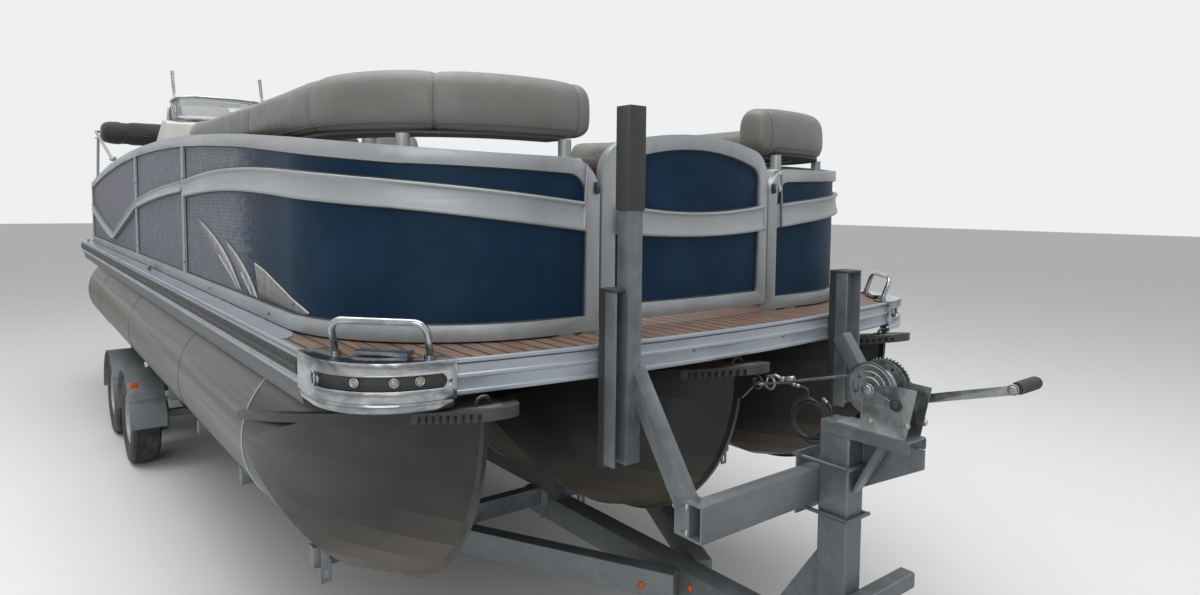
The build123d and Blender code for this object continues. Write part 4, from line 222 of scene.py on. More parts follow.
def float_metal(nose_x=1.856):
    """Rolled float sheet with bronze streaks, and a darker, smooth nose ahead of nose_x; the dark tones are
    painted reflection of dark ground, the lighter top a painted highlight, and the darker bottom a stain with
    painted shade.
    """
    f = Finish("float_metal").set(Metallic=0.35)
    rolled = f.noise(30, 6, 0.65, at=f.stretch(0.02, 1, 1))
    streak = f.noise(8, 6, 0.6, at=f.stretch(0.02, 1, 1), warp=0.35)
    blotch = f.noise(3.2, 7, 0.6, warp=0.7)
    height = f.plus(f.axis("Z"), f.times(streak, 0.10))
    # Darker than bare sheet: painted reflection of dark ground.
    tube = f.mix(f.ease(rolled, 0.3, 0.72), (0.080, 0.075, 0.068), (0.165, 0.16, 0.152))
    tube = f.mix(f.ease(streak, 0.46, 0.68, 0, 0.55), tube, (0.095, 0.080, 0.062))
    # Painted highlight: lighter along the top, where the tube reflects the sky.
    tube = f.mix(f.ease(height, 1.15, 1.26, 0, 0.6), tube, (0.26, 0.26, 0.26))
    # Darker towards the bottom: a waterline stain together with painted shade of the underside.
    tube = f.mix(f.ease(height, 1.06, 0.82, 0, 0.9), tube, (0.024, 0.021, 0.018))
    # The nose's near-black is painted reflection of dark ground.
    nose = f.mix(f.ease(blotch, 0.35, 0.7), (0.011, 0.0115, 0.0125), (0.021, 0.0208, 0.0205))
    low = f.plus(f.axis("Z"), f.times(blotch, 0.16))
    nose = f.mix(f.ease(low, 0.97, 0.66, 0, 0.8), nose, (0.058, 0.049, 0.037))
    # Painted highlight where the nose faces up.
    nose = f.mix(f.facing_up(0.5, 0.85), nose, (0.20, 0.205, 0.21))
    # Painted reflection of the ground, a lighter tan, where the nose faces down.
    nose = f.mix(f.facing_up(-0.18, -0.55), nose, (0.085, 0.073, 0.056))
    tone = f.mix(f.ease(f.axis("X"), nose_x - 0.004, nose_x + 0.004), tube, nose)
    rough = f.ease(streak, 0.3, 0.75, 0.32, 0.5)
    return f.done(tone, rough, f.bump(blotch, 0.15, 0.002, f.bump(rolled, 0.15, 0.0006)))


def skirt_metal():
    """Dull mill sheet under the deck, darkened with painted shade as it lies in the shade of the trim."""
    f = Finish("skirt_metal").set(Metallic=0.4)
    rolled = f.noise(26, 5, 0.6, at=f.stretch(0.03, 1, 1))
    tone = f.mix(f.ease(rolled, 0.3, 0.72), (0.07, 0.074, 0.08), (0.14, 0.145, 0.15))
    return f.done(tone, f.ease(rolled, 0.3, 0.7, 0.4, 0.55), f.bump(rolled, 0.15, 0.0006))


def polished_casting():
    """Polished cast corner with a soft orange-peel surface and dull clouds."""
    f = Finish("polished_casting").set(Metallic=0.95)
    peel = f.noise(60, 3)
    cloud = f.noise(7, 5, 0.6, at=f.stretch(1, 1, 2.2), warp=1.0)
    tone = f.mix(f.ease(cloud, 0.35, 0.68), (0.20, 0.215, 0.23), (0.44, 0.455, 0.47))
    skin_of = f.bump(cloud, 0.2, 0.002, f.bump(peel, 0.1, 0.0008))
    return f.done(tone, f.ease(peel, 0.3, 0.7, 0.10, 0.2), skin_of)


def hot_dip_zinc():
    """Hot-dip galvanising: faint mottled spangle, dull and grey, whiter where it has weathered."""
    f = Finish("hot_dip_zinc").set(Metallic=0.45)
    spangle = f.cells(30, output="Color")
    split = f.nodes.new("ShaderNodeSeparateColor")
    f.links.new(spangle, split.inputs[0])
    mottle = f.noise(9, 8, 0.68, warp=0.6)
    tone = f.mix(f.times(split.outputs[0], 0.4), (0.092, 0.105, 0.112), (0.150, 0.168, 0.177))
    tone = f.mix(f.ease(mottle, 0.45, 0.72, 0, 0.5), tone, (0.195, 0.217, 0.226))
    tone = f.mix(f.ease(f.noise(3.0, 6, 0.7), 0.5, 0.74, 0, 0.4), tone, (0.08, 0.088, 0.092))
    tone = f.mix(f.times(f.edges(), 0.35), tone, (0.32, 0.335, 0.345))
    rough = f.ease(mottle, 0.3, 0.75, 0.40, 0.58)
    return f.done(tone, rough, f.bump(mottle, 0.18, 0.0012))


def plated_zinc():
    """Zinc-plated steel of the winch, worn brighter at the edges."""
    f = Finish("plated_zinc").set(Metallic=0.75)
    mottle = f.noise(38, 6, 0.65)
    tone = f.mix(f.ease(mottle, 0.35, 0.7), (0.11, 0.12, 0.125), (0.20, 0.212, 0.218))
    tone = f.mix(f.times(f.edges(), 0.6), tone, (0.52, 0.53, 0.53))
    return f.done(tone, f.ease(mottle, 0.3, 0.7, 0.28, 0.44), f.bump(mottle, 0.15, 0.0006))


def black_enamel(name="black_enamel", tone=(0.02, 0.021, 0.024), rough=(0.16, 0.3)):
    """Sprayed enamel with orange peel, dust on top and worn edges."""
    f = Finish(name)
    f.shader.inputs["Coat Weight"].default_value = 0.35
    peel = f.noise(120, 2)
    dust = f.times(f.facing_up(), f.ease(f.noise(7, 6), 0.4, 0.7))
    color = f.mix(f.times(dust, 0.2), tone, (0.25, 0.24, 0.22))
    color = f.mix(f.times(f.edges(0.55, 0.65), 0.35), color, (0.3, 0.3, 0.3))
    return f.done(color, f.ease(peel, 0.3, 0.7, *rough), f.bump(peel, 0.06, 0.0006))


def brushed_prop():
    """Brushed stainless propeller."""
    f = Finish("brushed_prop").set(Metallic=1.0)
    grain = f.noise(90, 3, at=f.stretch(1, 0.2, 0.2))
    return f.done(f.mix(grain, (0.52, 0.52, 0.52), (0.74, 0.74, 0.73)), f.ease(grain, 0.3, 0.7, 0.2, 0.4),
                  f.bump(grain, 0.1, 0.0005))


# Finishes of the fence panels and the deck

def fence_panel(grey_x=2.22, navy_x=2.66):
    """Navy sheet that breaks up into a cross-hatched grey print towards the stern."""
    f = Finish("fence_panel")
    f.shader.inputs["Specular IOR Level"].default_value = 0.09
    fleck = f.noise(520, 2, 0.7)
    cloud = f.noise(3.5, 5, 0.6)
    along = f.times(f.plus(f.axis("X"), f.axis("Z")), 210)
    against = f.times(f.math("SUBTRACT", f.axis("X"), f.axis("Z")), 210)
    hatch = f.times(f.math("SINE", along), f.math("SINE", against))
    place = f.plus(f.axis("X"), f.times(cloud, 0.3))
    place = f.plus(place, f.times(f.noise(42, 5, 0.85), 1.1))
    grey_share = f.ease(place, navy_x, grey_x)
    grey = f.mix(f.ease(hatch, -0.3, 0.45), (0.092, 0.096, 0.118), (0.150, 0.156, 0.188))
    grey = f.mix(f.ease(f.noise(26, 5, 0.7), 0.42, 0.68, 0, 0.6), grey, (0.20, 0.205, 0.235))
    navy = f.mix(f.ease(cloud, 0.35, 0.7), (0.0045, 0.020, 0.043), (0.0095, 0.030, 0.062))
    navy = f.mix(f.ease(fleck, 0.55, 0.8, 0, 0.3), navy, (0.03, 0.06, 0.11))
    color = f.mix(grey_share, navy, grey)
    return f.done(color, f.ease(fleck, 0.3, 0.7, 0.42, 0.55), f.bump(fleck, 0.05, 0.0004))


def deck_planks(pitch=0.0526):
    """Teak-look vinyl decking: brown planks along the deck with dark grooves between them."""
    f = Finish("deck_planks")
    across = f.math("DIVIDE", f.axis("Y"), pitch)
    place = f.math("ABSOLUTE", f.math("SUBTRACT", f.math("FRACT", f.plus(across, 0.13)), 0.5))
    groove = f.ease(place, 0.405, 0.435)
    board = f.math("FLOOR", f.plus(across, 0.13))
    shade = f.nodes.new("ShaderNodeTexWhiteNoise")
    shade.noise_dimensions = "1D"
    f.links.new(board, shade.inputs["W"])
    grain = f.noise(46, 7, 0.65, at=f.stretch(0.12, 1, 1), warp=0.5)
    tone = f.mix(f.ease(grain, 0.3, 0.72), (0.120, 0.071, 0.050), (0.235, 0.150, 0.112))
    tone = f.mix(f.times(shade.outputs["Value"], 0.35), tone, (0.195, 0.125, 0.095))
    tone = f.mix(f.ease(f.noise(2.6, 5), 0.5, 0.75, 0, 0.35), tone, (0.28, 0.205, 0.165))
    tone = f.mix(groove, tone, (0.016, 0.012, 0.010))
    height = f.math("SUBTRACT", f.times(grain, 0.2), groove)
    return f.done(tone, f.ease(grain, 0.3, 0.7, 0.42, 0.6), f.bump(height, 0.6, 0.0022))


# Finishes of fabric, vinyl, rubber and plastic

def vinyl(name="warm_grey_vinyl", tone=(0.205, 0.185, 0.165), light=(0.27, 0.25, 0.225)):
    """Marine vinyl: pebble grain, soft creases and a little soiling in the hollows."""
    f = Finish(name)
    pebble = f.cells(420)
    crease = f.noise(9, 5, 0.55, warp=1.4)
    cloud = f.noise(3.0, 4)
    color = f.mix(f.ease(cloud), tone, light)
    color = f.mix(f.times(f.ease(pebble, 0.25, 0.6), 0.18), color, tinted(tone, 0.7))
    rough = f.ease(crease, 0.3, 0.75, 0.44, 0.58)
    f.shader.inputs["Specular IOR Level"].default_value = 0.45
    return f.done(color, rough, f.bump(pebble, 0.12, 0.0005, f.bump(crease, 0.22, 0.005)))


def canvas():
    """Woven acrylic boat canvas."""
    f = Finish("black_canvas")
    f.shader.inputs["Sheen Weight"].default_value = 0.25
    f.shader.inputs["Sheen Roughness"].default_value = 0.5
    warp = f.math("SINE", f.times(f.axis("Y"), 2400))
    weft = f.math("SINE", f.times(f.plus(f.axis("X"), f.axis("Z")), 2400))
    weave = f.times(warp, weft)
    fold = f.noise(11, 6, 0.6, at=f.stretch(1, 0.35, 1), warp=1.2)
    color = f.mix(f.ease(fold, 0.35, 0.72), (0.012, 0.013, 0.015), (0.032, 0.034, 0.038))
    return f.done(color, 0.86, f.bump(weave, 0.15, 0.0006, f.bump(fold, 0.35, 0.008)))


def shell_plastic(name="seat_shell_plastic", tone=(0.42, 0.41, 0.39)):
    """Rotomoulded seat shell with a fine matt pebble."""
    f = Finish(name)
    pebble = f.noise(260, 3)
    cloud = f.noise(4, 5)
    color = f.mix(f.ease(cloud, 0.35, 0.7), tone, tinted(tone, 1.12))
    color = f.mix(f.times(f.edges(), 0.3), color, tinted(tone, 1.4))
    return f.done(color, f.ease(pebble, 0.3, 0.7, 0.45, 0.6), f.bump(pebble, 0.2, 0.0005))


def black_rubber(name="black_rubber", tone=(0.014, 0.014, 0.015)):
    """Moulded rubber, dusty on top and scuffed along its edges."""
    f = Finish(name)
    fine = f.noise(150, 5, 0.65)
    dust = f.times(f.facing_up(), f.ease(f.noise(16, 6, 0.65), 0.42, 0.68))
    color = f.mix(f.times(dust, 0.22), tone, (0.085, 0.08, 0.075))
    color = f.mix(f.times(f.edges(), 0.35), color, (0.075, 0.073, 0.07))
    return f.done(color, f.ease(fine, 0.3, 0.7, 0.5, 0.72), f.bump(fine, 0.25, 0.0008))


def bunk_carpet():
    """Marine carpet over the bunks."""
    f = Finish("bunk_carpet")
    f.shader.inputs["Sheen Weight"].default_value = 0.3
    pile = f.noise(420, 4, 0.8)
    color = f.mix(f.ease(pile), (0.022, 0.022, 0.023), (0.09, 0.09, 0.09))
    return f.done(color, 0.95, f.bump(pile, 0.6, 0.003))


def tyre_rubber():
    """Tyre with grey road grime."""
    f = Finish("tyre_rubber")
    fine = f.noise(90, 6, 0.7)
    grime = f.noise(9, 6, 0.65)
    color = f.mix(f.ease(grime, 0.4, 0.72), (0.013, 0.013, 0.014), (0.065, 0.062, 0.058))
    return f.done(color, f.ease(fine, 0.3, 0.7, 0.6, 0.82), f.bump(fine, 0.3, 0.001))


def smoked_screen():
    """Smoked acrylic windshield."""
    f = Finish("smoked_screen").set(Roughness=0.05)
    f.shader.inputs["Transmission Weight"].default_value = 0.92
    f.shader.inputs["IOR"].default_value = 1.49
    haze = f.noise(6, 5)
    return f.done(f.mix(haze, (0.55, 0.58, 0.60), (0.68, 0.71, 0.73)), f.ease(haze, 0.3, 0.7, 0.03, 0.1))


def rim_paint():
    """Silver-grey painted steel rim."""
    return black_enamel("rim_paint", (0.34, 0.35, 0.36), (0.3, 0.42))


NODE_FINISHES = (
    (satin_rail, ("fence_starboard", "fence_port", "fence_stern", "stern_gate_frame", "side_gate_frame",
                  "bow_gate_frame", "bimini_frame", "boarding_ladder", "support_posts")),
    (trim_aluminium, ("deck_edge_trim",)),
    (float_metal, ("pontoon_starboard", "pontoon_center", "pontoon_port", "motor_pod")),
    (skirt_metal, ("deck_frame", "deck_skirts")),
    (polished_casting, ("bow_corners", "deck_hardware")),
    (hot_dip_zinc, ("trailer_frame", "winch_post", "bow_stop_frame", "fenders", "tongue_jack", "axles")),
    (plated_zinc, ("winch",)),
    (black_enamel, ("outboard_bracket", "outboard_leg", "outboard_cowl")),
    (brushed_prop, ("propeller",)),
    (fence_panel, ("panels_starboard", "panels_port", "panels_stern", "stern_gate_panel", "side_gate_panel",
                   "bow_gate_panel")),
    (deck_planks, ("deck",)),
    (vinyl, ("seat_cushions", "lounge_bolsters", "helm_chair", "mate_chair")),
    (canvas, ("bimini_boot",)),
    (shell_plastic, ("seat_bases", "helm_console")),
    (black_rubber, ("bow_lights", "nose_bumpers", "bow_stop_pads", "winch_grip", "helm_wheel", "safety_cable",
                    "safety_cable_coil")),
    (bunk_carpet, ("bunks",)),
    (tyre_rubber, tuple(f"tyre_{place}" for place in WHEELS)),
    (smoked_screen, ("windshield",)),
    (rim_paint, tuple(f"rim_{place}" for place in WHEELS)),
)


def dress(node, material):
    """Gives a carried-over node its finish."""
    mesh = frame["nodes"][node].data
    mesh.materials.clear()
    mesh.materials.append(material)


class BOAT_OT_finishes(bpy.types.Operator):
    """Gives each carried-over node its finish"""
    bl_idname = "boat.finishes"
    bl_label = "Node finishes"

    def execute(self, context):
        for finish, nodes in NODE_FINISHES:
            material = finish()
            for node in nodes:
                dress(node, material)
        return {"FINISHED"}


# Shapes that the pieces share

ROOT = "boat_and_trailer"
paints = {}


def finish_of(maker, *values):
    """A finish, made once and then shared."""
    key = (maker.__name__, *values)
    if key not in paints:
        paints[key] = maker(*values)
    return paints[key]


DARK_TONES = {
    "cable_cover": (0.012, 0.012, 0.013),
    "black_board": (0.012, 0.012, 0.013),
    # The gasket bead is also painted shade where each panel meets its rails.
    "gasket": (0.008, 0.008, 0.009),
    "dark_steel": (0.010, 0.010, 0.011),
    "rub_dark": (0.012, 0.012, 0.013),
    "rub_inlay": (0.016, 0.016, 0.017),
    # Dark joint that is also painted shade under the deck trim's top bead.
    "joint_dark": (0.006, 0.006, 0.007),
    # Painted shade: near-black disks that stand for the inside of holes.
    "hole_dark": (0.004, 0.004, 0.004),
}


def dark_rubber(name):
    """A dark rubber or plastic of a tone of its own."""
    return finish_of(black_rubber, name, DARK_TONES[name])


def put(name, mesh, finish, body=ROOT, smooth=True, replaces=()):
    """Adds a mesh to the scene as a piece that rides on a body."""
    piece = bpy.data.objects.new(name, mesh)
    bpy.context.scene.collection.objects.link(piece)
    if finish is not None:
        mesh.materials.clear()
        mesh.materials.append(finish)
    if smooth:
        mesh.shade_smooth()
    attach(piece, body)
    if replaces:
        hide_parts(*replaces)
    return piece


def as_mesh(name, bm):
    mesh = bpy.data.meshes.new(name)
    bmesh.ops.recalc_face_normals(bm, faces=bm.faces)
    bm.to_mesh(mesh)
    bm.free()
    return mesh


def make(name, bm, finish, body=ROOT, smooth=True, replaces=()):
    """Adds what bm holds as a piece of that name."""
    return put(name, as_mesh(name, bm), finish, body, smooth, replaces)


def rise(z):
    """Straight up by z."""
    return Vector((0, 0, z))


def beside(ahead):
    """Level and square to ahead, to its right."""
    return Vector((ahead.y, -ahead.x, 0))


def basis(ahead, up=(0, 0, 1)):
    """Side and up directions square to ahead."""
    ahead = Vector(ahead).normalized()
    side = ahead.cross(Vector(up))
    if side.length < 1e-5:
        side = ahead.cross(Vector((1, 0, 0)))
    side.normalize()
    return side, side.cross(ahead).normalized()


def skin(bm, rings, loop=False):
    """Faces between neighbouring rings of points, with an end at each side unless they close in a loop."""
    rows = [[bm.verts.new(p) for p in ring] for ring in rings]
    pairs = list(zip(rows, rows[1:])) + ([(rows[-1], rows[0])] if loop else [])
    for a, b in pairs:
        for i in range(len(a)):
            j = (i + 1) % len(a)
            bm.faces.new((a[i], a[j], b[j], b[i]))
    if not loop:
        bm.faces.new(rows[0][::-1])
        bm.faces.new(rows[-1])


def turned(bm, outline, at, axis, steps=32, start=0.0):
    """Turns an outline of (along, radius) round an axis from a place."""
    side, up = basis(axis)
    ahead = Vector(axis).normalized()
    at = Vector(at)
    rings = []
    for along, radius in outline:
        centre = at + ahead * along
        turns = [start + tau * k / steps for k in range(steps)]
        rings.append([centre + radius * (side * cos(turn) + up * sin(turn)) for turn in turns])
    skin(bm, rings)


def tube_along(bm, points, radius, sides=12, loop=False):
    """A round tube through points, given in order."""
    points = [Vector(p) for p in points]
    count = len(points)
    side = None
    rings = []
    for i, p in enumerate(points):
        if loop:
            ahead = points[(i + 1) % count] - points[i - 1]
        else:
            ahead = points[min(i + 1, count - 1)] - points[max(i - 1, 0)]
        ahead.normalize()
        if side is None:
            side, _ = basis(ahead)
        side = (side - ahead * side.dot(ahead)).normalized()
        up = side.cross(ahead)
        rings.append([p + radius * (side * cos(tau * k / sides) + up * sin(tau * k / sides))
                      for k in range(sides)])
    skin(bm, rings, loop=loop)


def slab(bm, outline, origin, right, up, low, high):
    """A plate of an outline in the plane of right and up, from low to high along its normal."""
    origin, right, up = Vector(origin), Vector(right).normalized(), Vector(up).normalized()
    normal = right.cross(up)
    skin(bm, [[origin + right * x + up * y + normal * depth for x, y in outline] for depth in (low, high)])


def rounded(points, radius, steps=5):
    """A closed outline of (x, y) points with its corners rounded."""
    out = []
    count = len(points)
    for i in range(count):
        p, a, b = (Vector(points[k % count]) for k in (i, i - 1, i + 1))
        to_a, to_b = a - p, b - p
        reach = min(radius, 0.49 * to_a.length, 0.49 * to_b.length)
        start, end = p + to_a.normalized() * reach, p + to_b.normalized() * reach
        for k in range(steps + 1):
            t = k / steps
            out.append(tuple(start * (1 - t) ** 2 + p * 2 * t * (1 - t) + end * t ** 2))
    return out


def hexagon(bm, at, axis, across, tall, turn=0.0):
    """A nut with chamfered corners and a domed washer under it."""
    r = across / 2 / cos(pi / 6)
    turned(bm, ((0, r * 1.25), (0.12 * tall, r * 1.25), (0.16 * tall, r * 1.05)), at, axis, 24)
    nut = ((0.16 * tall, 0.98 * r), (0.2 * tall, r), (0.9 * tall, r), (tall, 0.86 * r))
    turned(bm, nut, at, axis, 6, turn)


def welded(node):
    """A copy of a node's mesh with its doubled points joined."""
    bm = bmesh.new()
    bm.from_mesh(frame["nodes"][node].data)
    bmesh.ops.remove_doubles(bm, verts=bm.verts, dist=1e-5)
    return bm


def loose_parts(node):
    """The separate solids of a CAD node, as meshes of their own."""
    bm = welded(node)
    left = set(bm.verts)
    parts = []
    while left:
        seed = left.pop()
        group, edge = {seed}, [seed]
        while edge:
            v = edge.pop()
            for link in v.link_edges:
                w = link.other_vert(v)
                if w in left:
                    left.remove(w)
                    group.add(w)
                    edge.append(w)
        part = bmesh.new()
        twin = {v: part.verts.new(v.co) for v in group}
        for face in {f for v in group for f in v.link_faces}:
            part.faces.new([twin[v] for v in face.verts])
        parts.append(part)
    return sorted(parts, key=lambda b: (round(sum(v.co.x for v in b.verts) / len(b.verts), 3),
                                        round(sum(v.co.y for v in b.verts) / len(b.verts), 3)))


# Padded pieces

CLOTH_FRAMES = 12


def applied(piece, modifier):
    bpy.context.view_layer.objects.active = piece
    bpy.ops.object.modifier_apply(modifier=modifier.name)


def remesh(piece, voxel):
    """Even faces all over a closed piece."""
    mod = piece.modifiers.new("remesh", "REMESH")
    mod.mode = "VOXEL"
    mod.voxel_size = voxel
    applied(piece, mod)


def relax(piece, rounds, factor=0.5):
    """Rounds a piece off by evening out its points."""
    bm = bmesh.new()
    bm.from_mesh(piece.data)
    for _ in range(rounds):
        bmesh.ops.smooth_vert(bm, verts=bm.verts, factor=factor,
                              use_axis_x=True, use_axis_y=True, use_axis_z=True)
    bm.to_mesh(piece.data)
    bm.free()


def blow_up(piece, pressure, cap):
    """Runs cloth with pressure inside the piece and keeps each point within cap of its start."""
    scene = bpy.context.scene
    count = len(piece.data.vertices)
    start = [v.co.copy() for v in piece.data.vertices]
    cloth = piece.modifiers.new("cloth", "CLOTH")
    cloth.settings.use_pressure = True
    cloth.settings.uniform_pressure_force = pressure
    cloth.settings.effector_weights.gravity = 0
    cloth.settings.quality = 3
    cloth.settings.mass = 0.3
    cloth.settings.tension_stiffness = 12
    cloth.settings.compression_stiffness = 12
    cloth.settings.bending_stiffness = 0.6
    cloth.collision_settings.use_collision = False
    cloth.point_cache.frame_start = 1
    cloth.point_cache.frame_end = CLOTH_FRAMES
    for number in range(1, CLOTH_FRAMES + 1):
        scene.frame_set(number)
    shaped = piece.evaluated_get(bpy.context.evaluated_depsgraph_get()).data
    assert len(shaped.vertices) == count
    ends = [v.co.copy() for v in shaped.vertices]
    piece.modifiers.remove(cloth)
    for v, a, b in zip(piece.data.vertices, start, ends):
        move = b - a
        if move.length > cap:
            move = move * (cap / move.length)
        v.co = a + move
    scene.frame_set(1)


def subdivide(piece):
    mod = piece.modifiers.new("fine", "SUBSURF")
    mod.levels = 1
    applied(piece, mod)


def pad(piece, voxel, cap, rounds, pressure=4.0):
    """Makes a stuffed cushion of a closed piece."""
    remesh(piece, voxel)
    relax(piece, rounds)
    blow_up(piece, pressure, cap)
    relax(piece, 1, 0.3)
    subdivide(piece)
    piece.data.shade_smooth()


def push(piece, amount):
    """Moves each point of a piece by what amount gives for its place and normal."""
    mesh = piece.data
    moves = [amount(v.co.copy(), v.normal.copy()) for v in mesh.vertices]
    for v, move in zip(mesh.vertices, moves):
        v.co = v.co + move
    mesh.update()


def keep_within(piece, low, high):
    """Presses a piece's points back inside a box where they swell past it."""
    for v in piece.data.vertices:
        v.co = Vector([min(max(c, a), b) for c, a, b in zip(v.co, low, high)])


def surface(piece):
    bm = bmesh.new()
    bm.from_mesh(piece.data)
    tree = BVHTree.FromBMesh(bm)
    bm.free()
    return tree


def ring_on(tree, centre, right, up, steps, proud=0.0):
    """Points where rays from centre, in the plane of right and up, leave a surface."""
    points = []
    for k in range(steps):
        turn = tau * k / steps
        ray = Vector(right) * cos(turn) + Vector(up) * sin(turn)
        hit = tree.ray_cast(Vector(centre) + ray * 1.5, -ray)[0]
        if hit is not None:
            points.append(hit + ray * proud)
    return points


def welt(name, loops, finish, body=ROOT, radius=0.0022, closed=True):
    """Piping or seam thread along loops of points."""
    bm = bmesh.new()
    for points in loops:
        tube_along(bm, points, radius, 8, loop=closed)
    return make(name, bm, finish, body)


COLOUR = {"size": 3, "subtype": "COLOR", "min": 0, "max": 1}


# Safety cable between the bow hook and the winch post

class CableSettings(bpy.types.PropertyGroup):
    """Safety cable, part of it coiled"""
    diameter: bpy.props.FloatProperty(
        name="Diameter", description="Diameter over the plastic cover", default=0.006, min=0.003,
        unit="LENGTH")
    turns: bpy.props.IntProperty(
        name="Turns", description="Whole turns of the coil before its last part turn", default=3, min=1)
    fan: bpy.props.FloatProperty(
        name="Fan", description="How far the turns lie apart across the coil", default=0.0125, min=0,
        unit="LENGTH")


COIL_AT = (3.357, 0.030, 1.146)
COIL_R = 0.0625
HOOK_LEG = ((3.236, 0.0043, 1.2413), (3.236, 0.014, 1.2413), (3.290, 0.022, 1.2450), (3.3434, 0.030, 1.2430))
POST_LEG = ((3.400, 0.030, 1.2205), (3.428, 0.016, 1.212), (3.450, 0.004, 1.206), (3.450, 0.004, 1.1803))


class BOAT_OT_safety_cable(bpy.types.Operator):
    """Thin covered cable from the bow hook, coiled below the winch rope, to the top of the winch post"""
    bl_idname = "boat.safety_cable"
    bl_label = "Safety cable"

    def execute(self, context):
        s = context.scene.boat_cable
        points = [Vector(p) for p in HOOK_LEG] + self.coil(s) + [Vector(p) for p in POST_LEG]
        curve = bpy.data.curves.new("safety_cable_run", "CURVE")
        curve.dimensions = "3D"
        curve.bevel_depth = s.diameter / 2
        curve.bevel_resolution = 3
        curve.resolution_u = 4
        curve.use_fill_caps = True
        spline = curve.splines.new("NURBS")
        spline.points.add(len(points) - 1)
        for point, p in zip(spline.points, points):
            point.co = (*p, 1)
        spline.order_u = 3
        spline.use_endpoint_u = True
        curve.materials.append(dark_rubber("cable_cover"))
        cable = bpy.data.objects.new("safety_cable_run", curve)
        context.scene.collection.objects.link(cable)
        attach(cable, ROOT)
        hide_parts("safety_cable", "safety_cable_coil")
        self.crimps(s)
        return {"FINISHED"}

    def coil(self, s):
        """Turns that differ in size and lie side by side, from above the ring's left to above its right."""
        start, end = radians(98), radians(60 + 360 * (s.turns + 1))
        count = 18 * (s.turns + 1)
        points = []
        for k in range(count + 1):
            share = k / count
            turn = start + (end - start) * share
            spread = min(1, 6 * share, 6 * (1 - share))
            radius = COIL_R + (1 - spread) * 0.0098 + spread * 0.0085 * sin(2.6 * turn / tau * 2 + 0.9)
            drift = spread * 0.0055
            across = s.fan * (2 * abs(share * 1.5 % 1 - 0.5) - 0.5) * spread
            points.append(Vector((COIL_AT[0] + radius * cos(turn) + drift * sin(turn / 3.1),
                                  COIL_AT[1] + across,
                                  COIL_AT[2] + radius * sin(turn) + drift * cos(turn / 2.3))))
        return points

    def crimps(self, s):
        """Two pressed sleeves, by the hook and by the post."""
        bm = bmesh.new()
        r = s.diameter / 2
        sleeve = ((0, r * 1.1), (0.001, r * 1.75), (0.010, r * 1.75), (0.011, r * 1.55), (0.015, r * 1.55),
                  (0.016, r * 1.75), (0.025, r * 1.75), (0.026, r * 1.1))
        for a, b in ((HOOK_LEG[2], HOOK_LEG[3]), (POST_LEG[0], POST_LEG[1])):
            turned(bm, sleeve, a, Vector(b) - Vector(a), 16)
        return make("cable_crimps", bm, finish_of(plated_zinc))


# Cushions and other padded pieces

FENCE_Y = 1.226
CORNER_AT = (2.285, 0.626)
CORNER_R = 0.600


class PadSettings(bpy.types.PropertyGroup):
    """Cushions, bolsters and chairs"""
    # The default tone and highlight are darker than the light grey vinyl itself: painted shade over the
    # seats.
    tone: bpy.props.FloatVectorProperty(
        name="Vinyl", description="Main colour of the seat vinyl", default=(0.122, 0.118, 0.111),
        **COLOUR)
    light: bpy.props.FloatVectorProperty(
        name="Vinyl highlight", description="Lighter colour in the vinyl's cloud",
        default=(0.162, 0.156, 0.147), **COLOUR)
    seams: bpy.props.FloatVectorProperty(
        name="Bolster seams", description="Distance of each cross seam from a bolster's forward end", size=5,
        default=(0.075, 0.487, 0.887, 1.56, 2.48), unit="LENGTH")
    welt: bpy.props.FloatProperty(
        name="Welt", description="Radius of the piping", default=0.0026, min=0.001, unit="LENGTH")
    swell: bpy.props.FloatProperty(
        name="Swell", description="How far a pad's skin may move when it is blown up", default=0.024,
        min=0.0, max=0.03, unit="LENGTH")


def vinyl_of(s):
    return finish_of(vinyl, "warm_grey_vinyl", tuple(s.tone), tuple(s.light))


def welt_vinyl(s):
    dark = tinted(s.tone, 0.62)
    return finish_of(vinyl, "welt_vinyl", dark, tinted(dark, 1.15))


ROUTE_STEP = 0.02


def beside_fence(side, inset, aft_x, end_y, step=ROUTE_STEP):
    """Points and directions along the inside of the fence, from aft_x round the corner to end_y."""
    cx, cy = CORNER_AT
    radius = CORNER_R - inset
    route = []
    count = max(2, int((cx - aft_x) / step))
    for k in range(count):
        route.append((Vector((aft_x + (cx - aft_x) * k / count, side * (cy + radius), 0)), Vector((1, 0, 0))))
    count = int(radius * pi / 2 / step)
    for k in range(count):
        turn = pi / 2 * k / count
        route.append((Vector((cx + radius * sin(turn), side * (cy + radius * cos(turn)), 0)),
                      Vector((cos(turn), -side * sin(turn), 0))))
    count = max(2, int((cy - end_y) / step))
    for k in range(count + 1):
        y = side * (cy + (end_y - cy) * k / count)
        route.append((Vector((cx + radius, y, 0)), Vector((0, -side, 0))))
    return route


def bolster_ring(place, ahead, low, high, squeeze, steps=40):
    """A rounded, crowned section of a bolster, flatter below."""
    out = beside(ahead)
    mid, half = (low + high) / 2, (high - low) / 2
    ring = []
    for k in range(steps):
        turn = tau * k / steps
        c, s = cos(turn), sin(turn)
        power = 2 / (2.9 if s > 0 else 5.0)
        across = (abs(c) ** power) * (1 if c > 0 else -1) * BOLSTER_HALF
        lift = (abs(s) ** power) * (1 if s > 0 else -1) * half
        if s > 0:
            across *= 1 - 0.10 * (lift / half) ** 2
        ring.append(place + out * across * squeeze + rise(mid + lift * squeeze))
    return ring


BOLSTERS = (("starboard", -1, 0.450), ("port", 1, 0.690))      # label, side, aft end's X
BOLSTER_INSET = 0.1345
BOLSTER_HALF = 0.0745
BOLSTER_END_Y = 0.412
BOLSTER_VOXEL = 0.0145
END_ROUND = 0.06
SEAM_DRAWS = ((0.0055, 0.007), (0.0045, 0.05))      # depth and reach of the pucker and of the hollow
BOLSTER_ROOM = ((0.010, 0.012, 0.002), (0.010, 0.012, 0.012))       # past the CAD box, below and above it


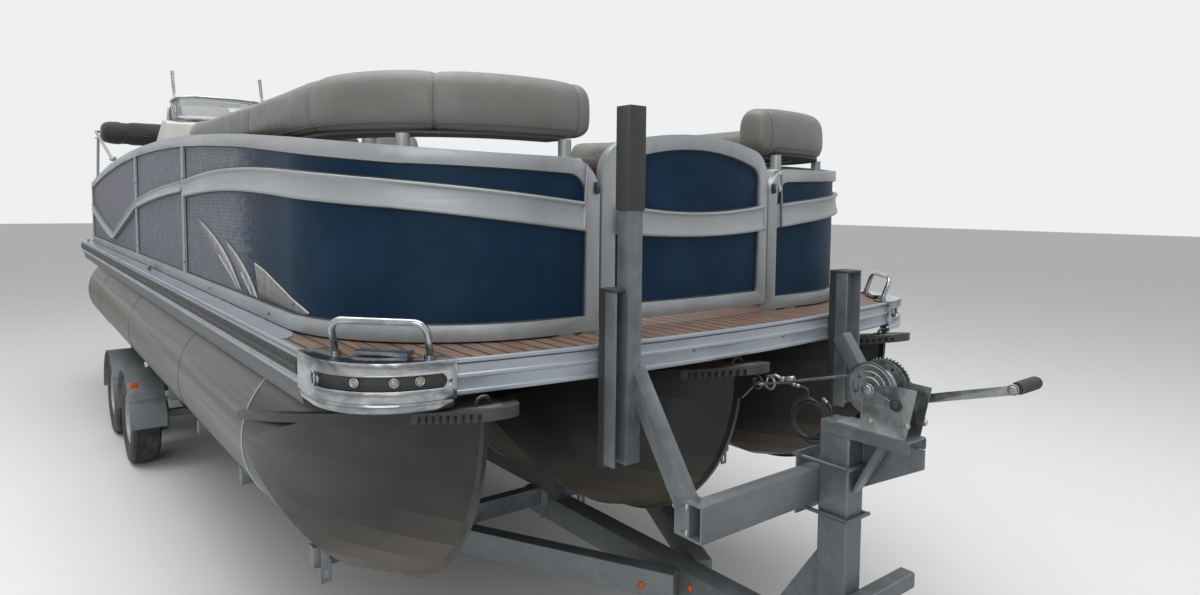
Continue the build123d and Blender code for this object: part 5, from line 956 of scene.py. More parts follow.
class BOAT_OT_bolsters(bpy.types.Operator):
    """Two long bolsters over the bow lounges, with cross seams and a welt along their feet"""
    bl_idname = "boat.bolsters"
    bl_label = "Bow bolsters"

    def execute(self, context):
        s = context.scene.boat_pads
        low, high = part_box("lounge_bolsters")
        for label, side, aft_x in BOLSTERS:
            route = beside_fence(side, BOLSTER_INSET, aft_x + 0.012, BOLSTER_END_Y)
            total = len(route) - 1
            bm = bmesh.new()
            rings = []
            for k, (place, ahead) in enumerate(route):
                share = min(1, min(k, total - k) * ROUTE_STEP / END_ROUND)
                squeeze = 0.70 + 0.30 * sqrt(1 - (1 - share) ** 2)
                rings.append(bolster_ring(place, ahead, low[2] + 0.004, high[2] - 0.004, squeeze))
            skin(bm, rings)
            body = make(f"bolster_{label}", bm, vinyl_of(s))
            pad(body, BOLSTER_VOXEL, cap=s.swell * 0.5, rounds=3)
            if side < 0:
                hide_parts("lounge_bolsters")
            reach = ROUTE_STEP * len(route) - 0.1
            stations = [route[-1 - int(far / ROUTE_STEP)] for far in s.seams if far < reach]
            self.seam(body, stations)
            keep_within(body, [a - b for a, b in zip(low, BOLSTER_ROOM[0])],
                        [a + b for a, b in zip(high, BOLSTER_ROOM[1])])
            tree = surface(body)
            mid = (low[2] + high[2]) / 2
            loops = []
            for place, ahead in stations:
                out = beside(ahead)
                loops.append(ring_on(tree, place + rise(mid), out, (0, 0, 1), 60, proud=-0.0004))
            welt(f"bolster_seams_{label}", [p for p in loops if len(p) > 40], welt_vinyl(s), radius=0.0016)
            foot = []
            for turn_side in (1, -1):
                run = []
                for place, ahead in route[4:-4]:
                    out = beside(ahead) * turn_side
                    hit = tree.ray_cast(place + rise(low[2] + 0.028) + out * 0.4, -out)[0]
                    if hit is not None:
                        run.append(hit)
                foot.append(run)
            welt(f"bolster_welt_{label}", foot, welt_vinyl(s), radius=s.welt, closed=False)
            self.board(label, route, low[2])
        return {"FINISHED"}

    def seam(self, piece, stations):
        """Draws the vinyl in towards each cross seam."""
        def pull(co, normal):
            best = min(abs((co - place).dot(ahead)) + (0 if (co - place).to_2d().length < 0.3 else 1)
                       for place, ahead in stations)
            return -normal * sum(deep * exp(-(best / reach) ** 2) for deep, reach in SEAM_DRAWS)
        push(piece, pull)

    def board(self, label, route, low_z):
        """Black board that carries a bolster on its posts."""
        bm = bmesh.new()
        rings = []
        for place, ahead in route[6:-5]:
            out = beside(ahead)
            rings.append([place + out * a + rise(low_z + b) for a, b in
                          ((-0.052, 0.008), (-0.052, -0.0005), (-0.049, -0.003), (0.049, -0.003),
                           (0.052, -0.0005), (0.052, 0.008))])
        skin(bm, rings)
        make(f"bolster_board_{label}", bm, dark_rubber("black_board"), smooth=False)


CUSHION_VOXEL = 0.0235
CUSHION_DRAW_IN = 0.010
SEAT_TOP_Z = 1.83           # a pad that ends below this is a seat, not a back
CHANNEL_PITCH = 0.52


class BOAT_OT_cushions(bpy.types.Operator):
    """Seat and back cushions of the lounges and the stern bench"""
    bl_idname = "boat.cushions"
    bl_label = "Seat cushions"

    def execute(self, context):
        s = context.scene.boat_pads
        for number, bm in enumerate(loose_parts("seat_cushions"), 1):
            name = f"seat_pad_{number}"
            low = Vector([min(v.co[k] for v in bm.verts) for k in range(3)])
            high = Vector([max(v.co[k] for v in bm.verts) for k in range(3)])
            piece = make(name, bm, vinyl_of(s))
            remesh(piece, CUSHION_VOXEL)
            push(piece, lambda co, normal: -normal * CUSHION_DRAW_IN)
            relax(piece, 5)
            blow_up(piece, 4.0, s.swell * 0.55)
            subdivide(piece)
            seat = high.z < SEAT_TOP_Z
            self.channels(piece, low, high)
            keep_within(piece, low, high)
            piece.data.shade_smooth()
            if number == 1:
                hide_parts("seat_cushions")
            self.piping(name, piece, high.z - (0.022 if seat else 0.03), s)
        return {"FINISHED"}

    def channels(self, piece, low, high):
        """Sewn lines across a pad each half metre."""
        def pull(co, normal):
            along = (co.x - low.x) / CHANNEL_PITCH
            within = 0.3 < co.x - low.x < high.x - low.x - 0.2
            near = abs(along - round(along)) * CHANNEL_PITCH if within else 1
            deep = 0.006 * exp(-(near / 0.008) ** 2)
            return -normal * deep
        push(piece, pull)

    def piping(self, name, piece, level, s):
        """A welt round the pad at a height, a little under its top."""
        bm = bmesh.new()
        bm.from_mesh(piece.data)
        cut = bmesh.ops.bisect_plane(bm, geom=bm.verts[:] + bm.edges[:] + bm.faces[:], plane_co=(0, 0, level),
                                     plane_no=(0, 0, 1))
        edges = [e for e in cut["geom_cut"] if isinstance(e, bmesh.types.BMEdge)]
        loops = [p for p in edge_loops(edges) if len(p) > 30]
        bm.free()
        if loops:
            welt(f"{name}_welt", loops, welt_vinyl(s), radius=s.welt)


def edge_loops(edges):
    """Chains of points along joined edges."""
    links = {}
    for e in edges:
        a, b = e.verts
        links.setdefault(a, []).append(b)
        links.setdefault(b, []).append(a)
    seen, loops = set(), []
    for first in links:
        if first in seen:
            continue
        chain, here, before = [first], first, None
        seen.add(first)
        while True:
            onward = [v for v in links[here] if v is not before and v not in seen]
            if not onward:
                break
            before, here = here, onward[0]
            seen.add(here)
            chain.append(here)
        loops.append([v.co.copy() for v in chain])
    return loops


def cushion_box(bm, centre, half, power=5.0, cuts=14):
    """A closed cushion form, rounder for a small power."""
    made = {}

    def corner(d):
        key = tuple(round(c, 5) for c in d)
        if key not in made:
            norm = sum(abs(c) ** power for c in d) ** (1 / power)
            made[key] = bm.verts.new(Vector(centre) + Vector([c * h / norm for c, h in zip(d, half)]))
        return made[key]

    for axis in range(3):
        for sign in (-1, 1):
            for i in range(cuts):
                for j in range(cuts):
                    square = []
                    for a, b in ((i, j), (i + 1, j), (i + 1, j + 1), (i, j + 1)):
                        d = [0.0, 0.0, 0.0]
                        d[axis], d[axis - 1], d[axis - 2] = sign, 2 * a / cuts - 1, 2 * b / cuts - 1
                        square.append(corner(d))
                    bm.faces.new(square if sign > 0 else square[::-1])


CHAIRS = (("helm", -1.010, -0.755), ("mate", -1.000, 0.660))    # label, X and Y of the pedestal
CHAIR_SIDES = (("left", 1), ("right", -1))
ARM_OUT = 0.294
BACK_FOOT_Z = 1.75
BACK_TALL = 0.70
CHAIR_VOXEL = 0.0155
SHELL_FOOT_Z, SHELL_TALL = 1.71, 0.74


class BOAT_OT_chairs(bpy.types.Operator):
    """Helm and mate chairs: bucket seat, reclined back with side wings and head roll, and arm pads"""
    bl_idname = "boat.chairs"
    bl_label = "Captain's chairs"

    def execute(self, context):
        s = context.scene.boat_pads
        for label, x, y in CHAIRS:
            body, node = f"{label}_chair_body", f"{label}_chair"
            low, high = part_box(node)
            skin_of = vinyl_of(s)

            def pad_of(name, centre, half, power, shape=None, voxel=CHAIR_VOXEL):
                bm = bmesh.new()
                cushion_box(bm, centre, half, power)
                if shape:
                    for v in bm.verts:
                        v.co = shape(v.co)
                piece = make(f"{label}_{name}", bm, skin_of, body)
                pad(piece, voxel, cap=s.swell * 0.5, rounds=2)
                keep_within(piece, low, high)
                return piece

            def lean(co):
                share = (co.z - BACK_FOOT_Z) / BACK_TALL
                return Vector((co.x - 0.112 * share - 0.03 * share ** 2, co.y, co.z))

            def seat_shape(co):
                edge = abs(co.y - y) / 0.26
                return Vector((co.x, co.y, co.z + 0.028 * edge ** 2 - 0.014 + 0.02 * max(0, co.x - x - 0.12)))

            seat = pad_of("seat", (x + 0.01, y, 1.735), (0.255, 0.258, 0.062), 5.5, seat_shape)
            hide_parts(node)
            back = pad_of("back", (x - 0.235, y, 2.085), (0.052, 0.165, 0.30), 5.0, lean)
            for wing, sign in CHAIR_SIDES:
                pad_of(f"wing_{wing}", (x - 0.222, y + sign * 0.188, 2.045), (0.064, 0.056, 0.315), 4.0, lean)
            head = pad_of("head_roll", (x - 0.235, y, 2.405), (0.072, 0.20, 0.098), 3.6, lean)
            pad_of("lumbar", (x - 0.188, y, 1.90), (0.05, 0.15, 0.082), 3.6, lean)
            self.shell(label, body, x, y)
            for wing, sign in CHAIR_SIDES:
                pad_of(f"arm_{wing}", (x - 0.05, y + sign * ARM_OUT, 2.040), (0.20, 0.026, 0.023), 4.5,
                       voxel=0.0085)
            for piece in (back, head):
                tree = surface(piece)
                mid = sum((Vector(c) for c in piece.bound_box), Vector()) / 8
                loop = ring_on(tree, mid, (0, 1, 0), (0, 0, 1), 90)
                welt(f"{piece.name}_welt", [loop], welt_vinyl(s), body, s.welt)
        return {"FINISHED"}

    def shell(self, label, body, x, y):
        """Moulded back shell, arm frames and swivel plate under a chair."""
        plastic = finish_of(shell_plastic, "chair_shell", (0.30, 0.29, 0.275))
        bm = bmesh.new()
        rows = []
        for k in range(15):
            share = k / 14
            z = SHELL_FOOT_Z + SHELL_TALL * share
            half = 0.24 * (1 - 0.14 * share ** 3)
            back = x - 0.283 - 0.135 * share
            row = []
            for n in range(17):
                u = -1 + n / 8
                row.append(Vector((back + 0.055 * abs(u) ** 3.2, y + half * u, z)))
            row += [p + Vector((0.012, 0, 0)) for p in reversed(row)]
            rows.append(row)
        skin(bm, rows)
        make(f"{label}_back_shell", bm, plastic, body)
        bm = bmesh.new()
        cushion_box(bm, (x - 0.005, y, 1.683), (0.235, 0.235, 0.020), 7.0, 8)
        make(f"{label}_seat_pan", bm, plastic, body)
        bm = bmesh.new()
        turned(bm, ((0.0, 0.062), (0.004, 0.09), (0.012, 0.09), (0.016, 0.05)), (x, y, 1.6503), (0, 0, 1), 40)
        for sign in (-1, 1):
            side = y + sign * ARM_OUT
            arm = [(x - 0.235, y + sign * 0.235, 1.705), (x - 0.225, side - sign * 0.012, 1.72),
                   (x - 0.212, side, 1.76), (x - 0.205, side, 1.86), (x - 0.190, side, 1.97),
                   (x - 0.165, side, 2.012), (x - 0.12, side, 2.018), (x + 0.08, side, 2.018)]
            tube_along(bm, arm, 0.0125, 12)
        make(f"{label}_arm_frame", bm, finish_of(satin_rail), body)


def boot_ring(place, spread, lift, steps=44):
    """Section of the boot: a soft bundle, fuller below, flat where the bows lie together."""
    ring = []
    for k in range(steps):
        turn = tau * k / steps
        c, s = cos(turn), sin(turn)
        across = spread * c * (1 - 0.12 * max(0, s))
        ring.append(place + Vector((across, 0, lift * s * (1.0 if s > 0 else 1.06))))
    return ring


BOOT_HALF_WIDE = 0.137
BOOT_HALF_TALL = 0.104
BOOT_VOXEL = 0.018
BOOT_RINGS = 118
BOOT_SAG = 0.010
BOOT_END = 0.035            # share of the boot's length that each end rounds off in
STRAP_SHARES = (0.08, 0.29, 0.5, 0.71, 0.92)
STRAP_HALF = 0.0125


class BOAT_OT_boot(bpy.types.Operator):
    """Folded top in its zipped canvas boot, with buckled straps"""
    bl_idname = "boat.boot"
    bl_label = "Folded top's boot"

    def execute(self, context):
        low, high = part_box("bimini_boot")
        cx, cz = (low[0] + high[0]) / 2, (low[2] + high[2]) / 2
        bm = bmesh.new()
        rings = []
        for k in range(BOOT_RINGS + 1):
            y = low[1] + 0.004 + (high[1] - low[1] - 0.008) * k / BOOT_RINGS
            from_end = min(k, BOOT_RINGS - k) / BOOT_RINGS
            close = 1 if from_end > BOOT_END else 0.62 + 0.38 * sqrt(1 - (1 - from_end / BOOT_END) ** 2)
            soft = 0.90 + 0.05 * noise.noise(Vector((y * 2.3, 4, 0)))
            soft = (soft + 0.035 * noise.noise(Vector((y * 7.0, 9, 0)))) * close
            sag = BOOT_SAG * (1 - (2 * k / BOOT_RINGS - 1) ** 2)
            place = Vector((cx, y, cz - sag + 0.004))
            rings.append(boot_ring(place, BOOT_HALF_WIDE * soft, BOOT_HALF_TALL * soft))
        skin(bm, rings)
        body = make("top_boot", bm, finish_of(canvas), "folded_top")
        remesh(body, BOOT_VOXEL)
        blow_up(body, 1.5, 0.010)
        subdivide(body)
        straps = [low[1] + share * (high[1] - low[1]) for share in STRAP_SHARES]

        def crease(co, normal):
            near = min(abs(co.y - y) for y in straps)
            tight = 0.011 * exp(-(near / 0.035) ** 2)
            fold = 0.0065 * noise.noise(Vector((co.x * 5 + co.z * 3, co.y * 3.2, co.z * 6)))
            fold += 0.003 * noise.noise(Vector((co.x * 14, co.y * 9 + co.z * 16, 3)))
            return normal * (fold - tight)
        push(body, crease)
        keep_within(body, low, high)
        body.data.shade_smooth()
        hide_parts("bimini_boot")
        tree = surface(body)
        web = bmesh.new()
        buckle = bmesh.new()
        for y in straps:
            inner, outer = (ring_on(tree, (cx, y + across, cz), (1, 0, 0), (0, 0, 1), 64, proud=0.0012)
                            for across in (-STRAP_HALF, STRAP_HALF))
            if len(inner) == len(outer):
                for a, b, c, d in zip(inner, outer, outer[1:] + outer[:1], inner[1:] + inner[:1]):
                    web.faces.new([web.verts.new(p) for p in (a, b, c, d)])
            cushion_box(buckle, inner[40] * 0.5 + outer[40] * 0.5, (0.012, 0.020, 0.014), 6, 4)
        bmesh.ops.remove_doubles(web, verts=web.verts, dist=1e-5)
        strap = make("boot_straps", web, finish_of(canvas), "folded_top")
        thick = strap.modifiers.new("thick", "SOLIDIFY")
        thick.thickness, thick.offset = 0.0018, 1
        make("boot_buckles", buckle, finish_of(black_rubber), "folded_top")
        starts = [Vector((cx + 0.4, y / 50, cz - 0.03)) for y in range(-56, 57)]
        zip_line = [tree.ray_cast(at, Vector((-1, 0, 0)))[0] for at in starts]
        welt("boot_zip", [[p for p in zip_line if p]], finish_of(black_rubber), "folded_top", 0.003, False)
        return {"FINISHED"}


# Rounded copies of carried-over nodes

def softened(node, width, body=ROOT, finish=None, steps=2, sharp=radians(38)):
    """A copy of a node with its hard edges rounded over, in place of the node."""
    mesh = frame["nodes"][node].data.copy()
    bm = welded(node)
    bmesh.ops.dissolve_limit(bm, angle_limit=radians(0.6), verts=bm.verts, edges=bm.edges)
    bm.to_mesh(mesh)
    bm.free()
    piece = put(f"{node}_rounded", mesh, finish, body, replaces=(node,))
    bevel = piece.modifiers.new("round", "BEVEL")
    bevel.width, bevel.segments = width, steps
    bevel.limit_method, bevel.angle_limit = "ANGLE", sharp
    bevel.harden_normals = True
    applied(piece, bevel)
    return piece


# node, edge radius, body
ROUNDED = (
    ("fence_starboard", 0.0045, ROOT), ("fence_port", 0.0045, ROOT), ("fence_stern", 0.0045, ROOT),
    ("bow_gate_frame", 0.0045, "bow_gate"), ("side_gate_frame", 0.004, "side_gate"),
    ("stern_gate_frame", 0.004, "stern_gate"), ("deck_edge_trim", 0.003, ROOT), ("seat_bases", 0.012, ROOT),
    ("helm_console", 0.012, ROOT), ("bow_stop_pads", 0.010, ROOT), ("bow_stop_frame", 0.002, ROOT),
    ("trailer_frame", 0.004, ROOT), ("deck_skirts", 0.003, ROOT),
)


class BOAT_OT_rounding(bpy.types.Operator):
    """Rounds the hard edges of extrusions, shells, pads and trailer beams"""
    bl_idname = "boat.rounding"
    bl_label = "Rounded edges"

    def execute(self, context):
        for node, width, body in ROUNDED:
            softened(node, width, body)
        return {"FINISHED"}


# Fences

class FenceSettings(bpy.types.PropertyGroup):
    """Fence extrusions and panel artwork"""
    lip: bpy.props.FloatProperty(
        name="Cove lip", description="How far the lips of the cove moulding stand out from the fence",
        default=0.0100, min=0.001, max=0.012, unit="LENGTH")
    # The gasket bead is also painted shade round each panel.
    bead: bpy.props.FloatProperty(
        name="Gasket", description="Radius of the black gasket round each panel", default=0.0045, min=0.001,
        unit="LENGTH")
    panel_gap: bpy.props.FloatProperty(
        name="Panel set-back", description="How far a panel lies behind the face of its rails", default=0.014,
        unit="LENGTH")
    art_tone: bpy.props.FloatVectorProperty(
        name="Artwork highlight", description="Bright rim of the printed blades", default=(0.60, 0.61, 0.63),
        **COLOUR)


BOW_FACE_X = 2.909
BOAT_MID_X = -0.4
BAND_TALL = (0.03, 0.13)    # least and most height of a fence's middle band
BAND_Z = (1.47, 1.935)      # heights that the band lies between
GATE_MID_Y, GATE_HALF = -0.028, 0.356
GATE_COVE_Z = ((1.697, 0.017), (1.780, 0.028))      # foot and head: at the middle, climb to the sides
# share of the height from the foot, and share of the lip's depth
COVE = ((0, 0), (0, 1.0), (0.09, 1.0), (0.14, 0.86), (0.24, 0.60), (0.36, 0.38), (0.5, 0.22), (0.64, 0.12),
        (0.78, 0.10), (0.86, 0.16), (0.89, 0.85), (0.93, 1.0), (1.0, 0.9), (1.0, 0))


def outward(side, ahead):
    return beside(ahead) * -side


def solid_spans(tree, place, top=2.3, low=1.39):
    """Heights between which a mesh is solid at a place, from the top down."""
    spans, z, start = [], top, None
    while z > low:
        hit, normal, _, _ = tree.ray_cast(Vector((place.x, place.y, z)), rise(-1), z - low)
        if hit is None:
            break
        if normal.z > 0:
            start = hit.z
        elif start is not None:
            spans.append((hit.z, start))
            start = None
        z = hit.z - 0.0004
    return spans


def band_runs(tree, route):
    """Runs of (place, out, foot, head) along which the middle band of a fence goes on."""
    runs, run = [], []
    for place, out in route:
        band = [(foot, head) for foot, head in solid_spans(tree, place - out * 0.005)
                if BAND_TALL[0] < head - foot < BAND_TALL[1] and foot > BAND_Z[0] and head < BAND_Z[1]]
        if band:
            run.append((place, out, *band[0]))
        elif run:
            runs.append(run)
            run = []
    return [r for r in runs + [run] if len(r) > 2]


class BOAT_OT_coves(bpy.types.Operator):
    """Cove moulding with two lips along the middle band of the fences and the bow gate"""
    bl_idname = "boat.coves"
    bl_label = "Cove mouldings"

    def execute(self, context):
        s = context.scene.boat_fence
        for label, side in SIDES:
            way = beside_fence(side, 0, -3.69, 0.44, 0.008)
            route = [(place, outward(side, ahead)) for place, ahead in way]
            fence = surface(frame["nodes"][f"fence_{label}"])
            self.moulding(f"cove_{label}", band_runs(fence, route), ROOT, s.lip)
        gate = []
        for k in range(41):
            share = k / 20 - 1
            foot, head = (middle + climb * share ** 2 for middle, climb in GATE_COVE_Z)
            place = Vector((BOW_FACE_X, GATE_MID_Y + GATE_HALF * share, 0))
            gate.append((place, Vector((1, 0, 0)), foot, head))
        self.moulding("cove_bow_gate", [gate], "bow_gate", s.lip * 0.8)
        return {"FINISHED"}

    def moulding(self, name, runs, body, lip):
        bm = bmesh.new()
        for run in runs:
            skin(bm, [[place + out * (lip * deep) + rise(foot + (head - foot) * share)
                       for share, deep in COVE] for place, out, foot, head in run])
        make(name, bm, finish_of(satin_rail), body)


# rails, panel, body
PANELS = (
    ("fence_starboard", "panels_starboard", ROOT), ("fence_port", "panels_port", ROOT),
    ("bow_gate_frame", "bow_gate_panel", "bow_gate"), ("side_gate_frame", "side_gate_panel", "side_gate"),
    ("stern_gate_frame", "stern_gate_panel", "stern_gate"), ("fence_stern", "panels_stern", ROOT),
)


class BOAT_OT_gaskets(bpy.types.Operator):
    """Black gasket where each panel meets its rails, which is also painted shade along that line"""
    bl_idname = "boat.gaskets"
    bl_label = "Panel gaskets"

    def execute(self, context):
        s = context.scene.boat_fence
        for rails, panel, body in PANELS:
            self.beads(rails, panel, body, s)
        return {"FINISHED"}

    def beads(self, rails, panel, body, s):
        """Finds the openings' outer edges and runs a bead behind each, on the panel's face."""
        panel_face = surface(frame["nodes"][panel])
        bm = welded(rails)
        chosen = []
        for edge in bm.edges:
            if len(edge.link_faces) != 2 or edge.calc_face_angle(0) < 0.8:
                continue
            mid = (edge.verts[0].co + edge.verts[1].co) / 2
            for face in edge.link_faces:
                from_middle = mid - Vector((BOAT_MID_X, 0, mid.z))
                if abs(face.normal.z) > 0.2 or face.normal.dot(from_middle) < 0:
                    continue
                if panel_face.find_nearest(mid - face.normal * s.panel_gap)[3] < 0.0015:
                    chosen.append((edge, face.normal.copy()))
                    break
        back = {}
        for edge, normal in chosen:
            for v in edge.verts:
                back.setdefault(v, []).append(normal)
        shift = {v: sum(n, Vector()).normalized() * s.panel_gap for v, n in back.items()}
        for v, move in shift.items():
            v.co = v.co - move
        loops = edge_loops([edge for edge, _ in chosen])
        bm.free()
        beads = bmesh.new()
        for points in loops:
            if len(points) > 1:
                tube_along(beads, points, s.bead, 8, loop=len(points) > 8)
        if beads.verts:
            make(f"gasket_{panel}", beads, dark_rubber("gasket"), body)


# Printed artwork, as (X, Z) on a side's panels
BLADES = (
    (((0.905, 1.722), (1.080, 1.690), (1.300, 1.636), (1.475, 1.575), (1.600, 1.510), (1.672, 1.468)),
     ((0.905, 1.722), (0.990, 1.690), (1.140, 1.630), (1.330, 1.560), (1.520, 1.500), (1.590, 1.470))),
    (((1.430, 1.646), (1.570, 1.612), (1.700, 1.570), (1.810, 1.520), (1.905, 1.460)),
     ((1.430, 1.646), (1.530, 1.590), (1.640, 1.535), (1.740, 1.490), (1.800, 1.462))),
)
SWOOSH = (((1.870, 1.578), (2.000, 1.560), (2.120, 1.535), (2.250, 1.508), (2.360, 1.482), (2.420, 1.462)),
          ((1.925, 1.462), (1.930, 1.462), (1.990, 1.460), (2.100, 1.460), (2.250, 1.459), (2.380, 1.458)))


def eased(points, share):
    """A place along a line of points, with its corners smoothed."""
    at = share * (len(points) - 1)
    k = min(int(at), len(points) - 2)
    t = at - k
    p = [Vector(points[min(max(i, 0), len(points) - 1)]) for i in (k - 1, k, k + 1, k + 2)]
    return 0.5 * (2 * p[1] + (p[2] - p[0]) * t + (2 * p[0] - 5 * p[1] + 4 * p[2] - p[3]) * t ** 2
                  + (3 * p[1] - p[0] - 3 * p[2] + p[3]) * t ** 3)


def print_metal(name, pale, dark):
    """Printed silver with a brushed gradient."""
    f = Finish(name).set(Metallic=0.3, Roughness=0.36)
    brushed = f.noise(40, 4, at=f.stretch(1, 1, 0.15))
    return f.done(f.mix(f.ease(brushed), dark, pale))


class BOAT_OT_artwork(bpy.types.Operator):
    """Two curved blades and a swoosh printed on the forward panels"""
    bl_idname = "boat.artwork"
    bl_label = "Panel artwork"

    def execute(self, context):
        s = context.scene.boat_fence
        pale = tuple(s.art_tone)
        bright = finish_of(print_metal, "print_bright", pale, tinted(pale, 0.8))
        shade = finish_of(print_metal, "print_shade", (0.30, 0.30, 0.31), (0.115, 0.115, 0.12))
        warm = finish_of(print_metal, "print_warm", (0.155, 0.15, 0.145), (0.085, 0.083, 0.082))
        line = finish_of(print_metal, "print_line", (0.012, 0.014, 0.018), (0.008, 0.009, 0.012))
        for label, side in SIDES:
            for number, (outer, inner) in enumerate(BLADES, 1):
                self.patch(f"blade_{label}_{number}", side, outer, inner, 0, 1, 0.0004, shade)
                self.patch(f"blade_rim_{label}_{number}", side, outer, inner, 0.0, 0.22, 0.0007, bright)
                self.patch(f"blade_heel_{label}_{number}", side, outer, inner, 0.72, 0.86, 0.0007, bright,
                           start=0.55)
                outside = [(x + 0.012, z + 0.012) for x, z in outer]
                self.patch(f"blade_line_{label}_{number}", side, outside, outer, 0, 1, 0.0004, line)
            self.patch(f"swoosh_{label}", side, *SWOOSH, 0, 1, 0.0003, warm)
            over = [(x + 0.004, z + 0.006) for x, z in SWOOSH[0]]
            self.patch(f"swoosh_line_{label}", side, over, SWOOSH[0], 0, 1, 0.0006, bright)
        return {"FINISHED"}

    def patch(self, name, side, outer, inner, low, high, proud, finish, start=0.0, steps=40):
        """A thin printed patch between two lines on a side's panels."""
        face = FENCE_Y - bpy.context.scene.boat_fence.panel_gap + proud
        bm = bmesh.new()
        rows = []
        for k in range(steps + 1):
            share = start + (1 - start) * k / steps
            a, b = eased(outer, share), eased(inner, share)
            row = []
            for t in (low, (low + high) / 2, high):
                p = a.lerp(b, t)
                row.append(bm.verts.new(on_side(p.x, p.y, side, face)))
            rows.append(row)
        for p, q in zip(rows, rows[1:]):
            for i in range(2):
                if (p[i].co - p[i + 1].co).length > 1e-6 or (q[i].co - q[i + 1].co).length > 1e-6:
                    bm.faces.new((p[i], q[i], q[i + 1], p[i + 1]))
        piece = make(name, bm, finish)
        thick = piece.modifiers.new("thick", "SOLIDIFY")
        thick.thickness, thick.offset = 0.0003, 0


def on_side(run, z, side, face):
    """A place on a side's panels, a distance run along them in X until the corner and then round it."""
    cx, cy = CORNER_AT
    radius = face - cy
    if run <= cx:
        return Vector((run, side * face, z))
    turn = (run - cx) / radius
    return Vector((cx + radius * sin(turn), side * (cy + radius * cos(turn)), z))


POST_SCREWS_X = (-3.700, -0.910, 0.658)
POST_SCREWS_Z = (1.505, 1.905)
FOOT_SCREWS_X = (-3.2, -2.2, -0.2, 0.2, 1.2, 2.1)
FOOT_SCREWS_Z = 1.428
HINGE_BLOCKS = ((-0.456, 1.857), (0.404, 1.872))      # Y and Z


class BOAT_OT_fence_screws(bpy.types.Operator):
    """Black screws on the fences and hinge blocks beside the bow gate"""
    bl_idname = "boat.fence_screws"
    bl_label = "Fence fasteners"

    def execute(self, context):
        dark = dark_rubber("dark_steel")
        bm = bmesh.new()
        head = ((0, 0.0052), (0.0016, 0.0050), (0.0028, 0.0034), (0.0031, 0.0008))
        for _, side in SIDES:
            out = Vector((0, side, 0))
            for x in POST_SCREWS_X:
                for z in POST_SCREWS_Z:
                    turned(bm, head, (x, side * FENCE_Y, z), out, 12)
            for x in FOOT_SCREWS_X:
                turned(bm, head, (x, side * FENCE_Y, FOOT_SCREWS_Z), out, 12)
        make("fence_screws", bm, dark)
        bm = bmesh.new()
        for y, z in HINGE_BLOCKS:
            cushion_box(bm, (2.890, y, z), (0.007, 0.009, 0.019), 5, 6)
            turned(bm, ((-0.016, 0.005), (0.016, 0.005)), (2.897, y, z), (0, 0, 1), 12)
        make("gate_hinge_blocks", bm, dark)
        return {"FINISHED"}


# Deck edge, bow castings and floats

FRONT_ARC_X = -3.047        # centre of the arc of the deck's front edge
FRONT_ARC_R = 6.145
DECK_CORNER = (2.771, 1.065)
DECK_CORNER_R = 0.230
DECK_TOP_Z = 1.400
CASTING_PROUD = 0.012
SLOT_Z = (1.332, 1.374)
LAMP_Z = 1.353
ROLL_Z, ROLL_R = 1.2925, 0.020      # rolled lower edge of a casting


class DeckSettings(bpy.types.PropertyGroup):
    """Deck edge and bow lights"""
    rub_proud: bpy.props.FloatProperty(
        name="Rub rail", description="How far the rub rail stands out from the deck's trim", default=0.0085,
        min=0.002, max=0.012, unit="LENGTH")
    lamp_turns: bpy.props.FloatVectorProperty(
        name="Lamps", description="Direction of each bow lamp from straight abeam", size=3,
        default=(radians(38.5), radians(64.2), radians(80.5)), subtype="EULER")
    lamp_r: bpy.props.FloatProperty(
        name="Lamp radius", description="Radius of a bow lamp's lens", default=0.0105, min=0.005,
        unit="LENGTH")


def deck_way(side, off, from_x=None, to_y=0.0, step=ROUTE_STEP):
    """Places and outward directions along the deck's trim, moved outward by off, from the side to the bow."""
    cx, cy = DECK_CORNER
    way = []
    if from_x is not None:
        count = max(1, int((cx - from_x) / step))
        way += [(Vector((from_x + (cx - from_x) * k / count, side * (cy + DECK_CORNER_R + off), 0)),
                 Vector((0, side, 0))) for k in range(count)]
    end = pi / 2 - asin(cy / (FRONT_ARC_R - DECK_CORNER_R))
    count = max(3, int(DECK_CORNER_R * end / step * 2))
    for k in range(count):
        turn = end * k / count
        out = Vector((sin(turn), side * cos(turn), 0))
        way.append((Vector((cx, side * cy, 0)) + out * (DECK_CORNER_R + off), out))
    start, stop = pi / 2 - end, asin(to_y / FRONT_ARC_R)
    count = max(1, int(FRONT_ARC_R * (start - stop) / step))
    for k in range(count + 1):
        turn = start + (stop - start) * k / count
        out = Vector((cos(turn), side * sin(turn), 0))
        way.append((Vector((FRONT_ARC_X, 0, 0)) + out * (FRONT_ARC_R + off), out))
    return way


def swept(bm, way, section):
    """A strip of one section of (out, z) along a way."""
    skin(bm, [[place + out * a + rise(z) for a, z in section] for place, out in way])


RUB_HALF_TALL = 0.024
RUB_Z = 1.352
BOLT_Z = 1.318
# Heights of the dark joint strip, which is also painted shade under the top bead.
JOINT_Z = (1.3885, 1.3912)
CASTING_FROM_X, CASTING_TO_Y = 2.665, 1.012         # the trim's mouldings stop short of the castings
FLANGE = ((-3.985, 1.2275), (2.36, 1.2275), (2.43, 1.248), (2.452, 1.268), (2.452, 1.288), (-3.985, 1.288))


